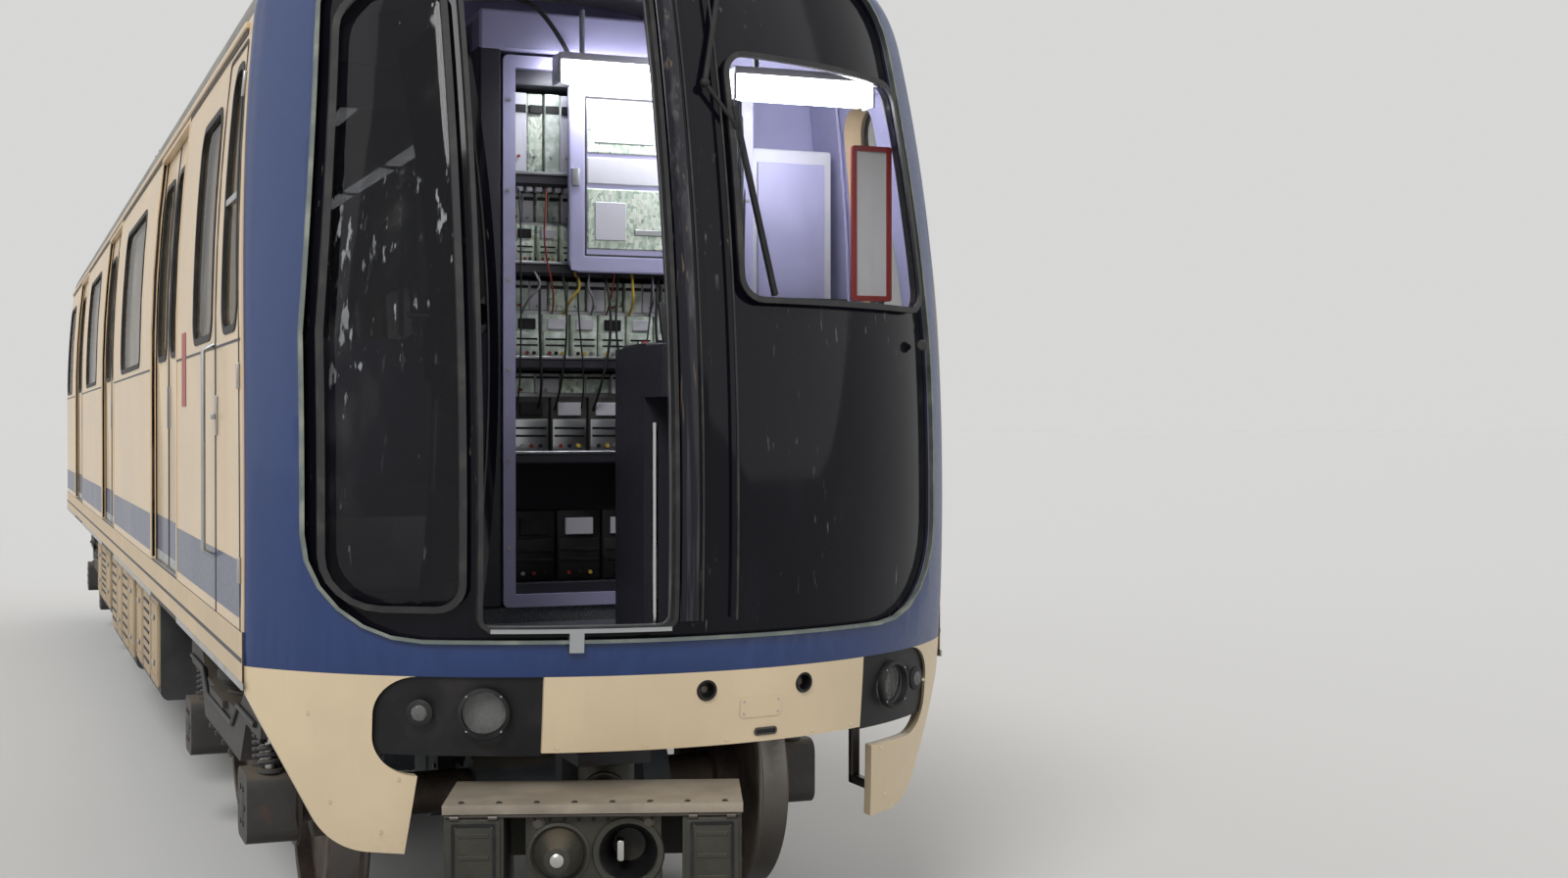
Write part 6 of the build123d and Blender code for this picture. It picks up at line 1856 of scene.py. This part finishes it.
class METROCAR_OT_skirt_fittings(Step):
    """Sockets, slot, bare badge plate, screws and brackets on bumper and cheeks"""

    bl_idname = "metro_car.skirt_fittings"
    bl_label = "Skirt fittings"

    def make(self):
        fit = Piece("skirt_fittings", "soft black", "dark steel", "skirt white", "aluminium", "rubber")
        for x in (0.080, 0.410):
            z = RAIL + 0.966
            y, way = nose_y(x, z), inward(x)
            fit.lathe([(0.0230, 0.030), (0.0230, -0.003), (0.029, -0.004), (0.032, 0.000), (0.032, 0.002)],
                      (x, y, z), way, 32)
            fit.lathe([(0.0, 0.020), (0.010, 0.020), (0.012, 0.026), (0.023, 0.028)], (x, y, z), way, 24,
                      look=1)
        x0, x1, z0, z1 = 0.190, 0.330, RAIL + 0.875, RAIL + 0.935
        fit.plate(rectangle(x0, x1, z0, z1, 0.012, 0.04), 0.0, 0.0002, 0.0022, wrap=on_nose, grid=GRID,
                  look=2)
        for x in (x0 + 0.012, x1 - 0.012):
            for z in (z0 + 0.012, z1 - 0.012):
                stud(fit, x, z, 0.0020, 0.0034, 0.0035, sides=10, look=3)
        slot = rectangle(0.245, 0.315, RAIL + 0.822, RAIL + 0.838, 0.006, 0.02)
        fit.ring(slot, -0.004, 0.002, 0.0002, 0.0030, wrap=on_nose, look=1)
        fit.plate(slot, 0.0, 0.0002, 0.0010, wrap=on_nose)
        for x in (-0.350, -0.100, 0.150, 0.450, 0.610):
            stud(fit, x, RAIL + 0.815, 0.0003, 0.0022, 0.0045, sides=12, look=2)
        for side in (-1, 1):
            for x, z in ((0.990, 0.900), (0.930, 0.640), (0.800, 0.560), (0.760, 0.720)):
                stud(fit, side * x, RAIL + z, 0.0003, 0.0035, 0.005, sides=14, look=2)
            low = RAIL + 0.560
            deep = nose_y(0.78, low, SHELL)
            for y, high in ((0.002, low + 0.030), (0.150, SILL + 0.02)):
                fit.box((side * 0.770, deep + y, low), (side * 0.800, deep + 0.180, high), 0.004, look=1)
        back = nose_y(0.6, RAIL + 0.80, SHELL)
        fit.box((-0.600, back + 0.004, RAIL + 0.806), (0.600, back + 0.05, RAIL + 0.840), 0.004, look=1)
        fit.done("body", "white_paint")


class METROCAR_OT_front_door_fittings(Step):
    """Lining, seal, lock, handle and hinge pads of the swung front door"""

    bl_idname = "metro_car.front_door_fittings"
    bl_label = "Front door fittings"

    def make(self):
        low, along = Vector((-0.588, -6.98251, 1.200)), Vector((0, 0.13854, 0.990357))
        opened = Matrix.Rotation(math.radians(110), 4, along)
        swing = Matrix.Translation(low) @ opened @ Matrix.Translation(-low)
        leaf = rectangle(-0.554, -0.047, RAIL + 1.184, RAIL + 3.034, 0.030, GRID)

        def hung(point):
            return swing @ on_nose(point)

        fit = Piece("front_door_fittings", "rubber", "cab dark", "aluminium", "soft black", "bright steel",
                    wrap=hung)
        fit.ring(leaf, -0.003, 0.014, -SHELL - 0.006, -SHELL - 0.0005)
        fit.plate(leaf, 0.020, -SHELL - 0.007, -SHELL - 0.0008, grid=GRID, look=1)
        fit.box((-0.130, -SHELL - 0.050, RAIL + 1.98), (-0.070, -SHELL - 0.006, RAIL + 2.16), 0.006, 2,
                grid=GRID, look=3)
        fit.box((-0.118, -SHELL - 0.068, RAIL + 2.05), (-0.082, -SHELL - 0.048, RAIL + 2.075), 0.004, look=4)
        grip = [hung(Vector((-0.160, -SHELL - depth, RAIL + z)))
                for depth, z in ((0.006, 1.60), (0.050, 1.62), (0.050, 1.90), (0.006, 1.92))]
        fit.tube(grip, 0.011, look=2, wrap=False)
        for z in (1.30, 2.10, 2.95):
            fit.box((-0.540, -SHELL - 0.012, RAIL + z - 0.05), (-0.480, -SHELL - 0.006, RAIL + z + 0.05),
                    0.003, look=2)
        fit.done("front_door", "black_gloss")


def box_lids():
    gear = Piece("box_lids", "box cream", "aluminium", "soft black", "dark steel", "gear grey", plane="YZ")
    top = SILL - 0.0003
    # Side, start, length, depth below the sill
    for side, start, length, depth in ((-1, -2.8, 1.5, 0.52), (-1, -1.15, 2.1, 0.56), (-1, 1.1, 1.6, 0.48),
                                       (1, -2.8, 2.2, 0.56), (1, -0.45, 1.2, 0.43), (1, 0.9, 1.9, 0.54)):
        count = max(2, round(length / 0.55))
        step = length / count
        x = side * 1.090
        for k in range(count):
            y0, y1 = start + k * step + 0.025, start + (k + 1) * step - 0.025
            z0, z1 = top - depth + 0.055, top - 0.045
            outline = rectangle(y0, y1, z0, z1, 0.02, 0.3)
            near, far = sorted((x + side * 0.0005, x + side * 0.010))
            gear.plate(outline, 0.0, near, far)
            face = x + side * 0.010
            near, far = sorted((face, face + side * 0.004))
            if k % 2:
                for row in range(7):
                    z = z0 + 0.06 + row * (z1 - z0 - 0.12) / 6
                    gear.box((near, y0 + 0.06, z - 0.008), (far, y1 - 0.06, z + 0.008), 0.003, look=2)
            else:
                gear.ring(outline, 0.03, 0.045, near, far)
                for z in (z0 + 0.10, z1 - 0.10):
                    gear.box((face, (y0 + y1) / 2 - 0.03, z - 0.012),
                             (face + side * 0.012, (y0 + y1) / 2 + 0.03, z + 0.012), 0.004, look=1)
            for y in (y0 + 0.06, y1 - 0.06):
                gear.rod((face, y - 0.03, z1 + 0.004), (face, y + 0.03, z1 + 0.004), 0.009, sides=12, look=3)
        for y in (start + 0.04, start + length - 0.04):
            gear.box((side * 1.02, y - 0.025, SILL - 0.035), (side * 1.100, y + 0.025, SILL + 0.06), 0.004,
                     look=4)
    gear.done("body", "underframe_dark")


def underfloor_pipes():
    """Pipes and cable ducts along the underframe."""
    pipes = Piece("underfloor_pipes", "cable black", "dark steel", "gear grey", "copper")
    for side in (-1, 1):
        for k, (x, z,
                radius) in enumerate(((0.255, 0.905, 0.020), (0.205, 0.915, 0.012), (0.170, 0.915, 0.012))):
            pipes.tube([(side * x, y, RAIL + z) for y in (-5.9, -5.2, -3.4, 3.4, 6.1)], radius, look=k % 2)
        for k in range(24):
            y = -5.8 + 0.5 * k
            pipes.box((side * 0.215 - 0.070, y - 0.012, RAIL + 0.928),
                      (side * 0.215 + 0.070, y + 0.012, RAIL + 0.952), 0.003, look=2)
        pipes.box((side * 1.085, -6.35, SILL - 0.022), (side * 1.112, 6.95, SILL - 0.001), 0.003, look=1)
    pipes.done("body", "underframe_dark")


def tank_fittings():
    tank = Piece("air_tank_fittings", "box dark", "dark steel", "bright steel")
    z = SILL - 0.1753
    for y in (-1.27, -0.51):
        tank.lathe([(0.1495, -0.025), (0.153, -0.025), (0.153, 0.025), (0.1495, 0.025)], (0, y, z), (0, 1, 0),
                   48, look=1)
    for y, way in ((-1.5, -1), (-0.3, 1)):
        tank.lathe([(0.0, 0.045), (0.060, 0.042), (0.110, 0.028), (0.140, 0.010), (0.149, -0.002)], (0, y, z),
                   (0, way, 0), 40)
        tank.rod((0, y + way * 0.03, z), (0, y + way * 0.075, z), 0.016, sides=6, look=2)
    tank.done("body", "underframe_dark")


class METROCAR_OT_underfloor(Step):
    """Lids, louvres, handles, straps and conduits of the gear under the floor"""

    bl_idname = "metro_car.underfloor"
    bl_label = "Underfloor gear"

    def make(self):
        box_lids()
        underfloor_pipes()
        tank_fittings()


ROOF_HEIGHTS = {}


def on_roof(point):
    """Lays a flat point (x, y, height over the skin) on the roof."""
    x = min(1.02, max(-1.02, point.x))
    key = round(x, 4)
    if key not in ROOF_HEIGHTS:
        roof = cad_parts["roof"]
        hit, place, normal = roof.ray_cast(Vector((x, 3.0, 6.0)), Vector((0, 0, -1)))[:3]
        if not hit:
            raise RuntimeError(f"no roof under x {x}")
        ROOF_HEIGHTS[key] = (place.z, normal.copy())
    height, normal = ROOF_HEIGHTS[key]
    return Vector((point.x, point.y, height)) + Vector((normal.x, 0, normal.z)) * point.z


def roof_vents():
    """Side louvres, mesh lids and bolts of the four roof boxes."""
    vents = Piece("roof_vent_fittings", "roof grey", "aluminium", "soft black", "dark steel")
    top = ROOF + 0.095
    for start in (-5.6, -3.3, -1.0, 4.7):
        for k in range(2):
            y0, y1 = start + 0.08 + 0.70 * k, start + 0.08 + 0.70 * k + 0.64
            vents.ring(rectangle(-0.52, 0.52, y0, y1, 0.03, 0.2), 0.0, 0.04, top - 0.001, top + 0.010,
                       plane="XY")
            for row in range(11):
                y = y0 + 0.06 + row * 0.052
                vents.box((-0.46, y - 0.016, top - 0.001), (0.46, y + 0.010, top + 0.008), 0.003, look=2)
            for x in (-0.50, 0.50):
                for y in (y0 + 0.03, y1 - 0.03):
                    vents.bolt((x, y, top + 0.010), UP, 0.008, 0.005, look=3)
        for side in (-1, 1):
            for k in range(12):
                y = start + 0.10 + 0.115 * k
                vents.box((side * 0.660 - 0.004, y, ROOF), (side * 0.660 + 0.004, y + 0.085, ROOF + 0.055),
                          0.003, look=2)
    vents.done("body", "roof_grey")


class METROCAR_OT_roof(Step):
    """Ribs, joints, louvres and lids on the roof"""

    bl_idname = "metro_car.roof_fittings"
    bl_label = "Roof fittings"

    def make(self):
        roof = Piece("roof_fittings", "roof grey", "aluminium", "soft black", "cable black", "dark steel",
                     wrap=on_roof)
        ribs = sizes().roof_ribs
        for side in (-1, 1):
            for k in range(ribs):
                x = side * (0.55 + 0.13 * k)
                roof.box((x - 0.012, NOSE + 0.75, -0.002), (x + 0.012, TAIL - 0.12, 0.008), 0.003)
        for k in range(13):
            y = -6.2 + 1.08 * k
            roof.box((-1.00, y - 0.012, -0.001), (1.00, y + 0.012, 0.004), 0.0, grid=0.06)
        roof.done("body", "roof_grey")
        roof_vents()


def panto_base(along, height):
    base = Piece("pantograph_insulators", "insulator", "bright steel", "spring paint", "copper", "dark steel")
    for x in (-0.385, 0.385):
        for y in (along - 0.215, along + 1.115):
            foot = on_roof(Vector((x, y, 0.0))).z
            profile = [(0.0455, 0.0)]
            for k in range(2):
                low = 0.004 + 0.018 * k
                profile += [(0.050, low), (0.068, low + 0.004), (0.068, low + 0.008), (0.050, low + 0.013)]
            profile.append((0.0455, 0.044))
            base.lathe(profile, (x, y, foot), UP, 32)
    for x in (-0.120, 0.120):
        turns = [math.tau * k / 10 for k in range(14 * 10 + 1)]
        points = [(x + 0.022 * math.cos(turn), along - 0.20 + 0.30 * k / 140,
                   height - 0.045 + 0.022 * math.sin(turn)) for k, turn in enumerate(turns)]
        base.tube(points, 0.0045, smooth=True, sides=1, look=2)
        for y0, y1, radius in ((-0.245, -0.195, 0.012), (0.095, 0.18, 0.008)):
            base.rod((x, along + y0, height - 0.045), (x, along + y1, height - 0.045), radius, sides=14,
                     look=1)
    base.box((-0.06, along + 0.35, ROOF + 0.052), (0.06, along + 0.75, ROOF + 0.088), 0.01, 2, look=4)
    base.rod((0, along + 0.40, ROOF + 0.075), (0, along + 0.70, ROOF + 0.075), 0.03, sides=24, look=1)
    base.done("body", "panto_frame")


def panto_arms(pivot, knee, head):
    lower = Piece("lower_arm_fittings", "bright steel", "copper", "dark steel")
    start, end = Vector((0, *pivot)), Vector((0, *knee))
    for share in (0.10, 0.90):
        place = start.lerp(end, share)
        way = (end - start).normalized() * 0.02
        lower.rod(place - way, place + way, 0.0365, sides=28, bevel=0.003, look=2)
    for side in (-1, 1):
        lower.rod((side * 0.2005, *pivot), (side * 0.2035, *pivot), 0.034, sides=24)
    lower.done("pantograph_lower_arm", "panto_frame")
    upper = Piece("upper_arm_fittings", "bright steel", "copper", "dark steel")
    for side in (-1, 1):
        a, b = Vector((side * 0.088, *knee)), Vector((side * 0.088, *head))
        for share in (0.06, 0.94):
            place, way = a.lerp(b, share), (b - a).normalized() * 0.018
            upper.rod(place - way, place + way, 0.0235, sides=24, bevel=0.002, look=2)
    a, b, half = Vector((0, *knee)), Vector((0, *head)), Vector((0.088, 0, 0))
    for share in (0.25, 0.50, 0.75):
        place = a.lerp(b, share)
        upper.rod(place - half, place + half, 0.008, sides=12)
    upper.done("pantograph_upper_arm", "panto_frame")


def contact_strips(along, height):
    crown = Piece("contact_strips", "contact strip", "copper", "bright steel")
    top = height + 0.070
    for way in (-1, 1):
        y = along + way * 0.165
        for k in range(4):
            x0 = -0.476 + 0.2385 * k
            crown.box((x0, y - 0.0195, top - 0.003), (x0 + 0.2365, y + 0.0195, top + 0.0005), 0.0008)
        for x in (-0.40, -0.13, 0.13, 0.40):
            crown.box((x - 0.015, y - 0.024, top - 0.018), (x + 0.015, y + 0.024, top - 0.006), 0.002, look=2)
    crown.done("pantograph_head", "panto_frame")


class METROCAR_OT_pantograph(Step):
    """Insulators, springs, damper, arm collars and contact strips of the pantograph"""

    bl_idname = "metro_car.pantograph"
    bl_label = "Pantograph"

    def make(self):
        for node in ("pantograph_base", "pantograph_lower_arm", "pantograph_upper_arm", "pantograph_head"):
            piece = Piece(f"{node}_dressed", "frame red")
            piece.copy_of(node, 0.0025)
            piece.done("body" if node == "pantograph_base" else node, "panto_frame", node)
        panto_base(*PANTO_PIVOT)
        panto_arms(PANTO_PIVOT, PANTO_KNEE, PANTO_HEAD)
        contact_strips(*PANTO_HEAD)


class METROCAR_OT_rear_end(Step):
    """Door frame, blue band and sockets of the rear wall, the end door's fittings and the rear coupler"""

    bl_idname = "metro_car.rear_end"
    bl_label = "Rear end"

    def make(self):
        rear = Piece("rear_fittings", "rubber", "aluminium", "soft black", "blank red plate", "side cream",
                     "dark steel", "lamp glass", "band blue")
        y = TAIL
        door = rectangle(-0.350, 0.350, FLOOR + 0.030, FLOOR + 1.910, 0.010, 0.3)
        rear.ring(door, -0.040, -0.004, y - 0.006, y - 0.0005, look=1)
        rear.ring(door, -0.052, -0.040, y - 0.006, y - 0.0008)
        low, high = RAIL + sizes().band_low, RAIL + sizes().band_high
        for x0, x1 in ((-1.140, -0.405), (0.405, 1.140)):
            rear.box((x0, y - 0.002, low), (x1, y - 0.0004, high), 0.0, look=7)
        rear.done("body", "cream_paint")
        glazed_leaf("end_door", "end_door", "door cream", "cream_paint")
        gate = Piece("end_door_fittings", "rubber", "aluminium", "soft black", "side cream")
        outer = TAIL - WALL + 0.036
        window = rectangle(-0.240, 0.240, WINDOW_LOW, FLOOR + 1.760, 0.06, 0.2)
        for skin in (outer, outer - 0.041):
            gate.ring(window, -0.014, 0.010, skin - 0.001, skin + 0.006)
        gate.ring(rectangle(-0.300, 0.322, FLOOR + 0.10, RAIL + 1.92, 0.03, 0.3), 0.0, 0.012, outer - 0.001,
                  outer + 0.003, look=3)
        handle = ((0.0, 1.95), (0.035, 1.95), (0.035, 2.10), (0.0, 2.10))
        gate.tube([(0.290, outer + out, RAIL + z) for out, z in handle], 0.009, look=1)
        gate.done("end_door", "cream_paint")
        sockets = Piece("rear_sockets", "soft black", "dark steel", "aluminium")
        for side in (-1, 1):
            for k in range(2):
                x = side * (0.52 + 0.22 * k)
                sockets.box((x - 0.07, TAIL - 0.10, SILL - 0.19), (x + 0.07, TAIL - 0.012, SILL - 0.0003),
                            0.012, 2)
                sockets.lathe([(0.0, 0.004), (0.030, 0.004), (0.040, 0.000), (0.048, -0.004),
                               (0.048, -0.020)], (x, TAIL - 0.008, SILL - 0.10), (0, 1, 0), 28, look=1)
                sockets.bolt((x, TAIL - 0.005, SILL - 0.10), (0, 1, 0), 0.009, 0.004, look=2)
        sockets.done("body", "underframe_dark")
        bar = Piece("rear_coupler_dressed", "coupler olive", "bright steel")
        bar.copy_of("coupler_rear", 0.004)
        bar.done("coupler_rear", "coupler_grey", "coupler_rear")


SKY_LIGHT = (1.0, 0.985, 0.96, 1.0)
SKY_STRENGTH = 0.42
BACKDROP = (0.68, 0.68, 0.675, 1.0)
FLOOR_GREY = (0.60, 0.60, 0.595)
FLOOR_SIZE = 600.0
# Name, place it shines from, strength, softness in degrees
SUNS = (
    ("key", (-0.55, -0.75, 0.85), 1.70, 24), ("fill", (0.75, -0.60, 0.50), 0.60, 60),
    ("left", (-0.95, 0.25, 0.50), 0.60, 60), ("rear", (0.25, 0.85, 0.70), 0.70, 60),
)
# The solved camera of the photo: place, then its tilt down and its turn to the right in degrees
CAMERA_PLACE = (-1.845, -12.500, 1.756)
CAMERA_TILT = 0.36
CAMERA_TURN = 22.1


def studio_floor():
    mesh = bpy.data.meshes.new("stage_floor")
    part = bmesh.new()
    bmesh.ops.create_grid(part, x_segments=1, y_segments=1, size=FLOOR_SIZE,
                          matrix=Matrix.Translation((0, 0, -0.002)))
    part.to_mesh(mesh)
    part.free()
    look = Look("stage floor")
    look.set(base_color=FLOOR_GREY, roughness=0.9, specular_ior_level=0.1)
    mesh.materials.append(look.material)
    floor = bpy.data.objects.new("stage_floor", mesh)
    bpy.context.scene.collection.objects.link(floor)


def sky():
    """A soft light, and a pale backdrop for the rays that show the sky itself."""
    world = bpy.data.worlds.new("studio")
    world.use_nodes = True
    tree = world.node_tree
    tree.nodes.clear()

    def add(kind, *links, **values):
        node = tree.nodes.new(kind)
        for name, value in values.items():
            node.inputs[name].default_value = value
        for index, socket in enumerate(links):
            tree.links.new(socket, node.inputs[index])
        return node

    rays = add("ShaderNodeLightPath").outputs
    seen = rays["Is Camera Ray"]
    for kind in ("Is Glossy Ray", "Is Transmission Ray"):
        either = add("ShaderNodeMath", seen, rays[kind])
        either.operation = "MAXIMUM"
        seen = either.outputs[0]
    light = add("ShaderNodeBackground", Color=SKY_LIGHT, Strength=SKY_STRENGTH)
    pale = add("ShaderNodeBackground", Color=BACKDROP, Strength=1.0)
    mix = add("ShaderNodeMixShader", seen, light.outputs[0], pale.outputs[0])
    add("ShaderNodeOutputWorld", mix.outputs[0])
    bpy.context.scene.world = world


def suns():
    for name, place, power, soft in SUNS:
        lamp = bpy.data.lights.new(name, "SUN")
        lamp.energy = power
        lamp.angle = math.radians(soft)
        thing = bpy.data.objects.new(name, lamp)
        thing.location = Vector(place) * 12.0
        thing.rotation_euler = (-Vector(place)).to_track_quat("-Z", "Y").to_euler()
        bpy.context.scene.collection.objects.link(thing)


def photo_camera():
    eye = bpy.data.cameras.new("photo_camera")
    eye.lens = 45.0
    eye.sensor_width = 36.0
    thing = bpy.data.objects.new("photo_camera", eye)
    thing.location = CAMERA_PLACE
    thing.rotation_euler = (math.radians(90 - CAMERA_TILT), 0.0, math.radians(-CAMERA_TURN))
    bpy.context.scene.collection.objects.link(thing)
    bpy.context.scene.camera = thing
    bpy.context.scene.view_settings.view_transform = "Standard"


class METROCAR_OT_stage(Step):
    """The floor, the lamps and the camera at the photograph's angle"""

    bl_idname = "metro_car.stage"
    bl_label = "Stage"

    def make(self):
        studio_floor()
        sky()
        suns()
        photo_camera()


STEPS = (
    METROCAR_OT_finish_solids, METROCAR_OT_front_trim, METROCAR_OT_headlamps,
    METROCAR_OT_cab_interior, METROCAR_OT_side_trim, METROCAR_OT_side_doors, METROCAR_OT_saloon,
    METROCAR_OT_bogies, METROCAR_OT_front_coupler, METROCAR_OT_skirt_fittings,
    METROCAR_OT_front_door_fittings, METROCAR_OT_underfloor, METROCAR_OT_roof, METROCAR_OT_pantograph,
    METROCAR_OT_rear_end, METROCAR_OT_stage,
)


class METROCAR_PT_panel(bpy.types.Panel):
    """Sidebar panel that lists the steps, colours and sizes"""

    bl_idname = "METROCAR_PT_panel"
    bl_label = "Metro car"
    bl_space_type = "VIEW_3D"
    bl_region_type = "UI"
    bl_category = "Metro car"

    def draw(self, context):
        for step in STEPS:
            self.layout.operator(step.bl_idname)
        for group in (context.scene.metro_car_colours, context.scene.metro_car_sizes):
            for name in group.__annotations__:
                self.layout.prop(group, name)


def register():
    for kind in (MetroCarColours, MetroCarSizes, *STEPS, METROCAR_PT_panel):
        bpy.utils.register_class(kind)
    bpy.types.Scene.metro_car_colours = PointerProperty(type=MetroCarColours)
    bpy.types.Scene.metro_car_sizes = PointerProperty(type=MetroCarSizes)


def unregister():
    del bpy.types.Scene.metro_car_colours
    del bpy.types.Scene.metro_car_sizes
    for kind in (METROCAR_PT_panel, *reversed(STEPS), MetroCarSizes, MetroCarColours):
        bpy.utils.unregister_class(kind)


def main():
    register()
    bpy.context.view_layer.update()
    for step in STEPS:
        group, name = step.bl_idname.split(".")
        getattr(getattr(bpy.ops, group), name)()


if __name__ == "__main__":
    main()
